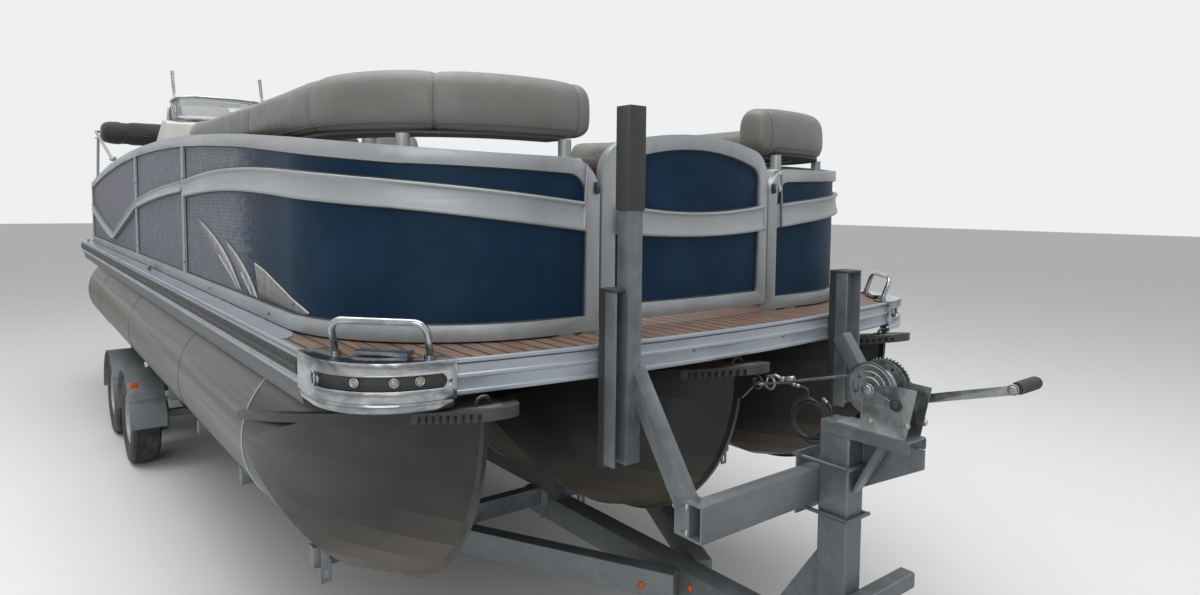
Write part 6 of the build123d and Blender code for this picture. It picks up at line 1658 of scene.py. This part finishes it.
class BOAT_OT_deck_edge(bpy.types.Operator):
    """Flange over the deck's edge, rub rail, bolts and the dark joint below the top bead, which is also
    painted shade under the bead
    """
    bl_idname = "boat.deck_edge"
    bl_label = "Deck edge"

    def execute(self, context):
        s = context.scene.boat_deck
        trim = finish_of(trim_aluminium)
        flange, seam, rub, inlay, bolts = (bmesh.new() for _ in range(5))
        low_z, high_z = JOINT_Z
        for _, side in SIDES:
            edge = [(x, side * y) for x, y in FLANGE]
            if side > 0:
                edge = edge[::-1]
            slab(flange, edge, (0, 0, DECK_TOP_Z), (1, 0, 0), (0, 1, 0), 0.0002, 0.0036)
            side_way = deck_way(side, 0, -3.99, to_y=1.06)[:-9]
            side_way = [(p, out) for p, out in side_way if p.x < CASTING_FROM_X]
            front = [(p, out) for p, out in deck_way(side, 0) if abs(p.y) < CASTING_TO_Y]
            arc = [(s.rub_proud * cos(turn), RUB_Z + RUB_HALF_TALL * sin(turn))
                   for turn in (radians(a) for a in range(-80, 81, 16))]
            swept(rub, side_way, [(-0.001, RUB_Z - RUB_HALF_TALL)] + arc + [(-0.001, RUB_Z + RUB_HALF_TALL)])
            top = s.rub_proud + 0.0016
            swept(inlay, side_way, ((0.001, 1.3475), (top, 1.3485), (top, 1.3565), (0.001, 1.3575)))
            # The dark joint strip, which is also painted shade under the top bead.
            for way in (side_way, front):
                swept(seam, way, ((0.0, low_z), (0.0012, low_z), (0.0012, high_z), (0.0, high_z)))
            for place, out in side_way[6::24]:
                turned(bolts, ((0, 0.007), (0.0015, 0.0068), (0.003, 0.0045), (0.0034, 0.001)),
                       place + rise(BOLT_Z), out, 14)
            turned(bolts, ((0, 0.008), (0.002, 0.0078), (0.0035, 0.005), (0.004, 0.001)),
                   front[-12][0] + rise(RUB_Z), front[-12][1], 14)
        make("deck_flange", flange, trim, smooth=False)
        make("rub_rail", rub, dark_rubber("rub_dark"))
        make("rub_inlay", inlay, dark_rubber("rub_inlay"))
        make("trim_joint", seam, dark_rubber("joint_dark"), smooth=False)
        make("trim_bolts", bolts, finish_of(plated_zinc))
        return {"FINISHED"}


def lamp_glass(name, tone):
    """Fluted lens over a dim reflector."""
    f = Finish(name).set(Roughness=0.08)
    f.shader.inputs["Coat Weight"].default_value = 0.6
    flute = f.cells(160)
    color = f.mix(f.ease(flute, 0.2, 0.7), tone, tinted(tone, 0.75))
    return f.done(color, None, f.bump(flute, 0.3, 0.001))


class BOAT_OT_bow_castings(bpy.types.Operator):
    """Rounded bow castings, each with a slot rim, three lamps, screws and a rolled lower edge"""
    bl_idname = "boat.bow_castings"
    bl_label = "Bow castings"

    def execute(self, context):
        s = context.scene.boat_deck
        chrome = finish_of(polished_casting)
        bow = softened("bow_corners", 0.0055, finish=chrome, steps=3)
        bow.name = "bow_castings"
        rim, bezel, glass, screws, roll = (bmesh.new() for _ in range(5))
        for _, side in SIDES:
            slot = deck_way(side, CASTING_PROUD - 0.0018, from_x=2.785, to_y=1.046, step=0.012)
            low, high = SLOT_Z
            half, mid = (high - low) / 2, rise((low + high) / 2)
            loop = [p + rise(low) for p, _ in slot]
            loop += self.slot_end(slot[-1][0], slot[-2][0], mid, half, 1)
            loop += [p + rise(high) for p, _ in reversed(slot)]
            loop += self.slot_end(slot[0][0], slot[1][0], mid, half, -1)
            tube_along(rim, loop, 0.0026, 10, loop=True)
            for turn in s.lamp_turns:
                out = Vector((sin(turn), side * cos(turn), 0))
                at = Vector((DECK_CORNER[0], side * DECK_CORNER[1], LAMP_Z)) + out * (DECK_CORNER_R - 0.0075)
                r = s.lamp_r
                collar = ((0, r + 0.003), (0.004, r + 0.003), (0.0055, r + 0.002), (0.0055, r),
                          (0.001, r - 0.001))
                lens = ((0.0012, r), (0.0042, 0.86 * r), (0.0058, 0.5 * r), (0.0064, 0.08 * r))
                turned(bezel, collar, at, out, 28)
                turned(glass, lens, at, out, 28)
            cross = ((0, 0.0068), (0.0016, 0.0066), (0.0032, 0.0042), (0.0030, 0.0008))
            ends = deck_way(side, CASTING_PROUD, from_x=2.70, to_y=1.02, step=0.01)
            for place, out in (ends[16], ends[-2]):
                turned(screws, cross, place + rise(LAMP_Z), out, 14)
            lower = deck_way(side, CASTING_PROUD - ROLL_R, from_x=2.68, to_y=1.02, step=0.012)
            tube_along(roll, [p + rise(ROLL_Z) for p, _ in lower], ROLL_R, 20)
        make("slot_rims", rim, chrome)
        make("lamp_bezels", bezel, chrome)
        make("lamp_lenses", glass, finish_of(lamp_glass, "lamp_glass", (0.40, 0.38, 0.31)))
        make("casting_screws", screws, finish_of(plated_zinc))
        make("casting_lower_roll", roll, chrome)
        return {"FINISHED"}

    def slot_end(self, place, before, mid, half, sign):
        """Half a ring beyond an end of the slot, from low to high for sign 1 and back down for -1."""
        beyond = (place - before).normalized()
        turns = [radians(a) for a in range(-60, 61, 20)]
        return [place + mid + beyond * half * cos(turn) + rise(sign * half * sin(turn)) for turn in turns]


FLOAT_Z = 0.9375
FLOAT_R = 0.3175
NOSE_X = 1.850
FLOAT_YS = (-0.944, 0.0, 0.944)
WELDS_X = (-2.95, -1.15, 0.62)
WELD_STEPS = 120


class BOAT_OT_float_seams(bpy.types.Operator):
    """Weld rings round the floats and where each nose begins"""
    bl_idname = "boat.float_seams"
    bl_label = "Float seams"

    def execute(self, context):
        bm, bright = bmesh.new(), bmesh.new()
        for y in FLOAT_YS:
            for x in WELDS_X:
                self.ring(bm, x, y, 0.0021)
            self.ring(bright, NOSE_X, y, 0.0042)
        make("float_welds", bm, finish_of(float_metal))
        make("nose_welds", bright, finish_of(trim_aluminium))
        return {"FINISHED"}

    def ring(self, bm, x, y, r):
        """A weld bead with small ripples round a float."""
        points = []
        for k in range(WELD_STEPS):
            turn = tau * k / WELD_STEPS
            radius = FLOAT_R + 0.0004 * sin(40 * turn)
            points.append(Vector((x, y + radius * cos(turn), FLOAT_Z + radius * sin(turn))))
        tube_along(bm, points, r, 6, loop=True)


# Winch, hook and bow stops

DRUM_AT = (3.595, 1.298)
SHAFT_AT = (3.680, 1.272)
GRIP_AT = (3.937, 1.351)
PLATE_NUTS = ((3.606, 1.212), (3.715, 1.222))
ROPE_LAY_R = 0.0475
ROPE_R = 0.0032
ROPE_TURNS = 12


class BOAT_OT_winch_details(bpy.types.Operator):
    """Rope wraps, stepped flange, nuts, holes and grip ribs of the winch"""
    bl_idname = "boat.winch_details"
    bl_label = "Winch details"

    def execute(self, context):
        zinc = finish_of(plated_zinc)
        dress("winch", zinc)
        softened("winch", 0.0016, finish=zinc, sharp=radians(50))
        self.rope_on_drum()
        steel, holes = bmesh.new(), bmesh.new()
        x, z = DRUM_AT
        to_starboard, to_port = (0, -1, 0), (0, 1, 0)
        face_y = -0.033
        for out, r in ((0.0012, 0.069), (0.0024, 0.052), (0.0042, 0.036)):
            step = ((0, r), (out, r - 0.001), (out, r - 0.004), (out - 0.0008, r - 0.006))
            turned(steel, step, (x, face_y, z), to_starboard, 48)
        # The holes are dark disks on the flange: painted shade inside the holes.
        for k in range(6):
            turn = tau * k / 6 + 0.3
            at = (x + 0.044 * cos(turn), face_y, z + 0.044 * sin(turn))
            turned(holes, ((0.0, 0.0048), (0.0035, 0.0048)), at, to_starboard, 16)
        side_y = -0.0402
        for at, across in ((DRUM_AT, 0.024), *((at, 0.012) for at in PLATE_NUTS)):
            hexagon(steel, (at[0], side_y, at[1]), to_starboard, across, 0.007, 0.3)
        # The shaft's washer and nut go in the same near-black piece as the holes.
        washer = ((0, 0.0175), (0.003, 0.0175), (0.0045, 0.0155))
        turned(holes, washer, (SHAFT_AT[0], side_y, SHAFT_AT[1]), to_starboard, 28)
        hexagon(holes, (SHAFT_AT[0], side_y - 0.003, SHAFT_AT[1]), to_starboard, 0.020, 0.008, 0.3)
        for at, across in ((DRUM_AT, 0.026), *((at, 0.018) for at in PLATE_NUTS)):
            hexagon(steel, (at[0], -side_y, at[1]), to_port, across, 0.008, 0.3)
        hexagon(steel, (SHAFT_AT[0], 0.0715, SHAFT_AT[1]), to_port, 0.024, 0.012, 0.2)
        hexagon(steel, (GRIP_AT[0], 0.060, GRIP_AT[1]), to_starboard, 0.020, 0.006, 0.2)
        make("winch_fasteners", steel, zinc)
        make("winch_holes", holes, dark_rubber("hole_dark"))
        ribs = bmesh.new()
        for k in range(9):
            at = (GRIP_AT[0], 0.096 + 0.0115 * k, GRIP_AT[1])
            turned(ribs, ((-0.0018, 0.0158), (0, 0.0174), (0.0018, 0.0158)), at, to_port, 32)
        make("grip_ribs", ribs, finish_of(black_rubber))
        return {"FINISHED"}

    def rope_on_drum(self):
        """Steel rope wound on the drum, layer beside layer."""
        bm = bmesh.new()
        points = []
        steps = 22
        for k in range(ROPE_TURNS * steps + 1):
            turn = tau * k / steps
            along = (k / steps) % ROPE_TURNS
            points.append(Vector((DRUM_AT[0] + ROPE_LAY_R * cos(turn), -0.0265 + 0.0046 * along,
                                  DRUM_AT[1] + ROPE_LAY_R * sin(turn))))
        tube_along(bm, points, ROPE_R, 7)
        make("rope_wraps", bm, finish_of(plated_zinc))


POST_X = (3.440, 3.540)
POST_TOP = 1.180
POST_FOOT = 0.512
POST_HALF = 0.040
ARM_X = (3.462, 3.725)
ARM_LOW = POST_TOP - 0.036
GUSSET_FOOT = 0.985


class BOAT_OT_winch_post(bpy.types.Operator):
    """Winch post of square tube with a channel arm, strut, side gusset, foot gusset and step bar"""
    bl_idname = "boat.winch_post"
    bl_label = "Winch post"

    def execute(self, context):
        bm = bmesh.new()
        half = POST_HALF
        back, front = POST_X
        aft, tip = ARM_X
        tube = rounded(((back, -half), (front, -half), (front, half), (back, half)), 0.007, 4)
        slab(bm, tube, (0, 0, 0), (1, 0, 0), (0, 1, 0), POST_FOOT, POST_TOP)
        arm = ((aft, POST_TOP), (tip, POST_TOP), (tip, ARM_LOW), (aft, ARM_LOW))
        for y0, y1 in ((-half - 0.004, -half), (half, half + 0.004)):
            self.plate(bm, rounded(arm, 0.008, 3), y0, y1)
        web = ((front, POST_TOP - 0.005), (tip, POST_TOP - 0.005), (tip, POST_TOP), (front, POST_TOP))
        self.plate(bm, web, -half, half)
        strut = ((front - 0.002, GUSSET_FOOT), (front + 0.006, 0.980), (3.640, ARM_LOW), (3.620, ARM_LOW))
        self.plate(bm, strut, -0.020, 0.020)
        gusset = ((front, ARM_LOW), (tip, ARM_LOW), (tip, 1.090), (front, GUSSET_FOOT))
        self.plate(bm, gusset, half - 0.004, half + 0.001)
        self.plate(bm, ((back, POST_FOOT), (3.250, POST_FOOT), (back, 0.80)), -0.004, 0.004)
        foot = ((3.250, 0.500), (3.590, 0.500), (3.590, POST_FOOT), (3.250, POST_FOOT))
        self.plate(bm, foot, -half - 0.02, half + 0.02)
        step_bar = rounded(((front, 0.630), (3.590, 0.630), (3.590, 0.680), (front, 0.680)), 0.006, 3)
        self.plate(bm, step_bar, -0.260, 0.260)
        post = make("winch_post_tube", bm, finish_of(hot_dip_zinc), smooth=False, replaces=("winch_post",))
        edge = post.modifiers.new("round", "BEVEL")
        edge.width, edge.segments, edge.limit_method = 0.0018, 2, "ANGLE"
        return {"FINISHED"}

    def plate(self, bm, outline, y0, y1):
        """A plate of an outline of (x, z), between two places across."""
        slab(bm, outline, (0, 0, 0), (1, 0, 0), (0, 0, 1), -y1, -y0)


class BOAT_OT_clamps(bpy.types.Operator):
    """Threaded ends, nuts and washers of the U-bolts that hold the post and the bunk frame"""
    bl_idname = "boat.clamps"
    bl_label = "U-bolts and nuts"

    def execute(self, context):
        zinc = finish_of(plated_zinc)
        bm = bmesh.new()
        for z in (0.904, 1.056):
            for y in (-0.052, 0.052):
                self.end(bm, (3.3836, y, z), (-1, 0, 0))
        for _, side in SIDES:
            for z in (0.945, 1.015):
                self.end(bm, (3.3896, side * 0.531, z), (-1, 0, 0), 0.016)
        make("clamp_nuts", bm, zinc)
        return {"FINISHED"}

    def end(self, bm, at, axis, across=0.019):
        hexagon(bm, at, axis, across, 0.011, 0.35)
        thread = [(0.009 + 0.0012 * k, 0.0058 if k % 2 else 0.0050) for k in range(16)]
        turned(bm, thread, at, axis, 12)


HOOK_AT = (3.218, 1.240)
HOOK_R = 0.020


class BOAT_OT_hook(bpy.types.Operator):
    """Snap hook with its keeper and swivel on the bow eye, and the rope's pressed sleeve"""
    bl_idname = "boat.hook"
    bl_label = "Snap hook"

    def execute(self, context):
        bm = bmesh.new()
        curl = [Vector((HOOK_AT[0] + HOOK_R * cos(turn), 0.0, HOOK_AT[1] + HOOK_R * sin(turn)))
                for turn in (radians(a) for a in range(-150, 121, 15))]
        shank = [Vector((3.226, 0, 1.262)), Vector((3.240, 0, 1.268)), Vector((3.262, 0, 1.2625))]
        tube_along(bm, curl + shank, 0.0046, 12)
        tube_along(bm, [(3.2010, 0.0, 1.2285), (3.2075, 0.0, 1.2445), (3.211, 0.0, 1.258)], 0.0028, 10)
        slope = Vector((0.393, 0, 0.108))
        swivel = ((0, 0.006), (0.002, 0.0088), (0.016, 0.0088), (0.018, 0.0062), (0.022, 0.0062),
                  (0.024, 0.0078), (0.052, 0.0078), (0.054, 0.0045))
        turned(bm, swivel, (3.262, 0, 1.2575), slope, 18)
        make("snap_hook", bm, finish_of(plated_zinc))
        return {"FINISHED"}


# Wheels, marker lamps and the helm's screen

NUTS = 5
NUT_CIRCLE_R = 0.057
TREAD_ROWS = (-0.055, -0.020, 0.020, 0.055)
TREAD_BLOCKS = 56
TREAD_BLOCK = ((-0.0125, -0.013), (0.0125, -0.010), (0.0125, 0.013), (-0.0125, 0.010))
TREAD_HALF_TALL = 0.0082


class BOAT_OT_wheels(bpy.types.Operator):
    """Wheel nuts, hub cap and tread blocks of each wheel"""
    bl_idname = "boat.wheels"
    bl_label = "Wheel details"

    def execute(self, context):
        for place in WHEELS:
            rim = frame["nodes"][f"rim_{place}"]
            body = rim.parent.name.split(":")[1]
            low, high = (Vector(c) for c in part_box(f"tyre_{place}"))
            mid, side = (low + high) / 2, 1 if "port" in place else -1
            out = Vector((0, side, 0))
            steel, rubber = bmesh.new(), bmesh.new()
            face = max(side * v.co.y for v in rim.data.vertices if (v.co - mid).to_2d().length < 2
                       and abs(v.co.x - mid.x) < 0.03 and abs(v.co.z - mid.z) < 0.03)
            for k in range(NUTS):
                turn = tau * (k + 0.5) / NUTS
                x, z = mid.x + NUT_CIRCLE_R * cos(turn), mid.z + NUT_CIRCLE_R * sin(turn)
                at = (x, side * (face - 0.004), z)
                hexagon(steel, at, out, 0.019, 0.014, turn)
            cap = ((0, 0.037), (0.014, 0.037), (0.022, 0.031), (0.026, 0.02), (0.027, 0.002))
            turned(steel, cap, (mid.x, side * (face - 0.002), mid.z), out, 32)
            make(f"wheel_nuts_{place}", steel, finish_of(plated_zinc), body)
            radius = (high.z - low.z) / 2
            for row, across in enumerate(TREAD_ROWS):
                for k in range(TREAD_BLOCKS):
                    turn = tau * (k + 0.5 * (row % 2)) / TREAD_BLOCKS
                    ahead = Vector((-sin(turn), 0, cos(turn)))
                    up = Vector((cos(turn), 0, sin(turn)))
                    at = mid + Vector((0, across, 0)) + up * (radius - 0.009)
                    slab(rubber, TREAD_BLOCK, at, ahead, (0, 1, 0), -TREAD_HALF_TALL, TREAD_HALF_TALL)
            make(f"tread_{place}", rubber, finish_of(tyre_rubber), body, smooth=False)
        return {"FINISHED"}


def lamp_plastic(name, tone):
    """Moulded lamp or reflector plastic with a prism pattern."""
    f = Finish(name).set(Roughness=0.22)
    prism = f.cells(240)
    color = f.mix(f.ease(prism, 0.2, 0.6), tone, tinted(tone, 0.6))
    return f.done(color, None, f.bump(prism, 0.4, 0.001))


# place, and direction ahead and outward
REFLECTORS = ((2.786, 0.154, 0.439, 0.46, 0.89), (2.924, 0.045, 0.451, 0, 1))


class BOAT_OT_markers(bpy.types.Operator):
    """Amber side markers on the fenders and reflectors on the tongue"""
    bl_idname = "boat.markers"
    bl_label = "Marker lamps"

    def execute(self, context):
        bm = bmesh.new()
        high = Vector(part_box("fenders")[1])
        dome = ((-0.001, 0.0135), (0.005, 0.013), (0.008, 0.009), (0.009, 0.001))
        for _, side in SIDES:
            marker_at = (high.x - 0.034, side * (high.y - 0.030), high.z - 0.050)
            cushion_box(bm, marker_at, (0.012, 0.026, 0.018), 6, 6)
            for x, y, z, ahead, out in REFLECTORS:
                turned(bm, dome, (x, side * y, z), (ahead, side * out, 0), 20)
        make("amber_markers", bm, finish_of(lamp_plastic, "amber", (0.62, 0.13, 0.012)))
        return {"FINISHED"}


class BOAT_OT_windshield(bpy.types.Operator):
    """Low smoked screen on the console, in a polished frame with two clear posts"""
    bl_idname = "boat.windshield"
    bl_label = "Windshield"

    def execute(self, context):
        low, high = (Vector(c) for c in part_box("windshield"))
        low_y, high_y = low.y + 0.012, high.y - 0.012
        foot_x, tall = high.x - 0.014, 0.165
        lean, curve = 0.085, 0.10
        bm, trim = bmesh.new(), bmesh.new()
        rows = []
        for k in range(33):
            u = k / 16 - 1
            y = (low_y + high_y) / 2 + (high_y - low_y) / 2 * sin(u * pi / 2)
            x = foot_x - curve * (1 - sqrt(max(0.0, 1 - 0.96 * sin(abs(u) * pi / 2) ** 6)))
            top = low.z + tall * (1 - 0.22 * abs(u) ** 3)
            outer = [Vector((x - lean * t, y, low.z + (top - low.z) * t)) for t in (0, 0.33, 0.66, 1)]
            rows.append(outer + [p + Vector((-0.004, 0, 0)) for p in reversed(outer)])
        skin(bm, rows)
        make("screen", bm, finish_of(smoked_screen), replaces=("windshield",))
        tube_along(trim, [row[3] + Vector((-0.002, 0, 0.002)) for row in rows], 0.0055, 10)
        tube_along(trim, [row[0] + Vector((-0.002, 0, 0.003)) for row in rows], 0.0065, 10)
        make("screen_frame", trim, finish_of(polished_casting))
        posts = bmesh.new()
        for y in (low_y + 0.02, high_y - 0.02):
            foot = Vector((foot_x - curve - 0.006, y, low.z))
            head = Vector((low.x + 0.045, y, high.z - 0.016))
            tube_along(posts, [foot, foot.lerp(head, 0.5), head], 0.0095, 14)
        make("screen_posts", posts, finish_of(smoked_screen))
        return {"FINISHED"}


# Stage

class StageSettings(bpy.types.PropertyGroup):
    """Camera, light and floor"""
    place: bpy.props.FloatVectorProperty(
        name="Camera place", description="Where the photographer's camera stood", size=3,
        default=(4.770, -1.933, 1.810), subtype="TRANSLATION", unit="LENGTH")
    yaw: bpy.props.FloatProperty(
        name="Yaw", description="Turn of the view from straight aft towards port",
        default=radians(38.431), subtype="ANGLE")
    pitch: bpy.props.FloatProperty(
        name="Pitch", description="Tilt of the view above the horizon", default=radians(-3.678),
        subtype="ANGLE")
    roll: bpy.props.FloatProperty(
        name="Roll", description="Lean of the camera", default=radians(0.597), subtype="ANGLE")
    lens: bpy.props.FloatProperty(
        name="Lens", description="Focal length for a 36 mm wide sensor", default=22.85, min=10, max=100)
    rise: bpy.props.FloatProperty(
        name="Vertical shift", description="Shift of the frame that the photograph's crop needs",
        default=-0.038)
    floor_tone: bpy.props.FloatVectorProperty(
        name="Floor", description="Colour of the plain floor", default=(0.80, 0.80, 0.79),
        **COLOUR)
    sky_tone: bpy.props.FloatVectorProperty(
        name="Backdrop", description="Colour behind the object", default=(0.86, 0.87, 0.88),
        **COLOUR)
    ambient: bpy.props.FloatProperty(
        name="Ambient light", description="Strength of the soft light from all round", default=0.55, min=0)
    overhead: bpy.props.FloatProperty(
        name="Overhead light", description="Power of the large soft lamp above the bow", default=560, min=0,
        subtype="POWER", unit="POWER")


def lamp(name, place, target, size, power):
    """A large soft lamp aimed at a point."""
    light = bpy.data.lights.new(name, "AREA")
    light.shape, light.size, light.size_y = "RECTANGLE", size[0], size[1]
    light.energy = power
    piece = bpy.data.objects.new(name, light)
    bpy.context.scene.collection.objects.link(piece)
    piece.location = place
    piece.rotation_euler = (Vector(target) - Vector(place)).to_track_quat("-Z", "Y").to_euler()


class BOAT_OT_stage(bpy.types.Operator):
    """Camera at the photograph's place, pale floor, pale backdrop and soft light"""
    bl_idname = "boat.stage"
    bl_label = "Stage"

    def execute(self, context):
        s = context.scene.boat_stage
        scene = context.scene
        self.add_camera(scene, s)
        self.add_floor(s)
        self.add_world(scene, s)
        lamp("overhead", (1.5, -1.0, 7.0), (1.0, 0, 1.0), (9, 6), s.overhead)
        lamp("front_fill", (8.5, -6.5, 4.0), (1.5, 0, 1.2), (6, 4), s.overhead * 0.36)
        scene.view_settings.view_transform = "Standard"
        return {"FINISHED"}

    def add_camera(self, scene, s):
        camera = bpy.data.objects.new("camera", bpy.data.cameras.new("camera"))
        scene.collection.objects.link(camera)
        ahead = Vector((-cos(s.yaw), sin(s.yaw), 0))
        right = Vector((sin(s.yaw), cos(s.yaw), 0))
        up = rise(1)
        look = ahead * cos(s.pitch) + up * sin(s.pitch)
        lift = up * cos(s.pitch) - ahead * sin(s.pitch)
        side = right * cos(s.roll) + lift * sin(s.roll)
        top = lift * cos(s.roll) - right * sin(s.roll)
        turn = Matrix((side, top, -look)).transposed().to_4x4()
        camera.matrix_world = Matrix.Translation(s.place) @ turn
        camera.data.sensor_width = 36
        camera.data.lens = s.lens
        camera.data.shift_y = s.rise
        camera.data.clip_end = 200
        scene.camera = camera

    def add_floor(self, s):
        bpy.ops.mesh.primitive_plane_add(size=120, location=(0, 0, 0))
        floor = bpy.context.object
        floor.name = "floor"
        f = Finish("pale_floor").set(Roughness=0.9)
        cloud = f.noise(0.6, 4)
        low = tinted(s.floor_tone, 0.97)
        floor.data.materials.append(f.done(f.mix(cloud, low, tuple(s.floor_tone))))

    def add_world(self, scene, s):
        world = bpy.data.worlds.new("soft_room")
        scene.world = world
        world.use_nodes = True
        tree = world.node_tree
        path = tree.nodes.new("ShaderNodeLightPath")
        seen = path.outputs["Is Camera Ray"]
        for ray in ("Is Glossy Ray", "Is Transmission Ray"):
            either = tree.nodes.new("ShaderNodeMath")
            either.operation = "MAXIMUM"
            tree.links.new(seen, either.inputs[0])
            tree.links.new(path.outputs[ray], either.inputs[1])
            seen = either.outputs[0]
        strength = tree.nodes.new("ShaderNodeMapRange")
        tree.links.new(seen, strength.inputs["Value"])
        strength.inputs["To Min"].default_value = s.ambient
        strength.inputs["To Max"].default_value = 1.0
        back = tree.nodes["Background"]
        back.inputs["Color"].default_value = (*s.sky_tone, 1)
        tree.links.new(strength.outputs["Result"], back.inputs["Strength"])


# name on the scene, title, settings
SETTINGS = (
    ("boat_stage", "Stage", StageSettings),
    ("boat_pads", "Soft pieces", PadSettings),
    ("boat_cable", "Safety cable", CableSettings),
    ("boat_fence", "Fences", FenceSettings),
    ("boat_deck", "Deck edge", DeckSettings),
)
# In the order in which main calls them
OPERATORS = (
    BOAT_OT_stage, BOAT_OT_finishes, BOAT_OT_safety_cable, BOAT_OT_bolsters, BOAT_OT_cushions, BOAT_OT_chairs,
    BOAT_OT_boot, BOAT_OT_rounding, BOAT_OT_coves, BOAT_OT_gaskets, BOAT_OT_artwork, BOAT_OT_fence_screws,
    BOAT_OT_deck_edge, BOAT_OT_bow_castings, BOAT_OT_float_seams, BOAT_OT_winch_details, BOAT_OT_winch_post,
    BOAT_OT_clamps, BOAT_OT_hook, BOAT_OT_wheels, BOAT_OT_markers, BOAT_OT_windshield,
)


class BOAT_PT_panel(bpy.types.Panel):
    """Settings of the boat's pieces, and a button for each step"""
    bl_label = "Pontoon boat"
    bl_idname = "BOAT_PT_panel"
    bl_space_type = "VIEW_3D"
    bl_region_type = "UI"
    bl_category = "Boat"

    def draw(self, context):
        for pointer, title, _ in SETTINGS:
            group = getattr(context.scene, pointer)
            box = self.layout.box()
            box.label(text=title)
            for name in group.bl_rna.properties.keys():
                if name not in ("rna_type", "name"):
                    box.prop(group, name)
        for operator in OPERATORS:
            self.layout.operator(operator.bl_idname)


CLASSES = (*(group for _, _, group in SETTINGS), *OPERATORS, BOAT_PT_panel)


def register():
    for cls in CLASSES:
        bpy.utils.register_class(cls)
    for pointer, _, group in SETTINGS:
        setattr(bpy.types.Scene, pointer, bpy.props.PointerProperty(type=group))


def unregister():
    for pointer, _, _ in SETTINGS:
        delattr(bpy.types.Scene, pointer)
    for cls in reversed(CLASSES):
        bpy.utils.unregister_class(cls)


def main():
    register()
    for operator in OPERATORS:
        step = operator.bl_idname.split(".")[1]
        getattr(bpy.ops.boat, step)()


if __name__ == "__main__":
    main()
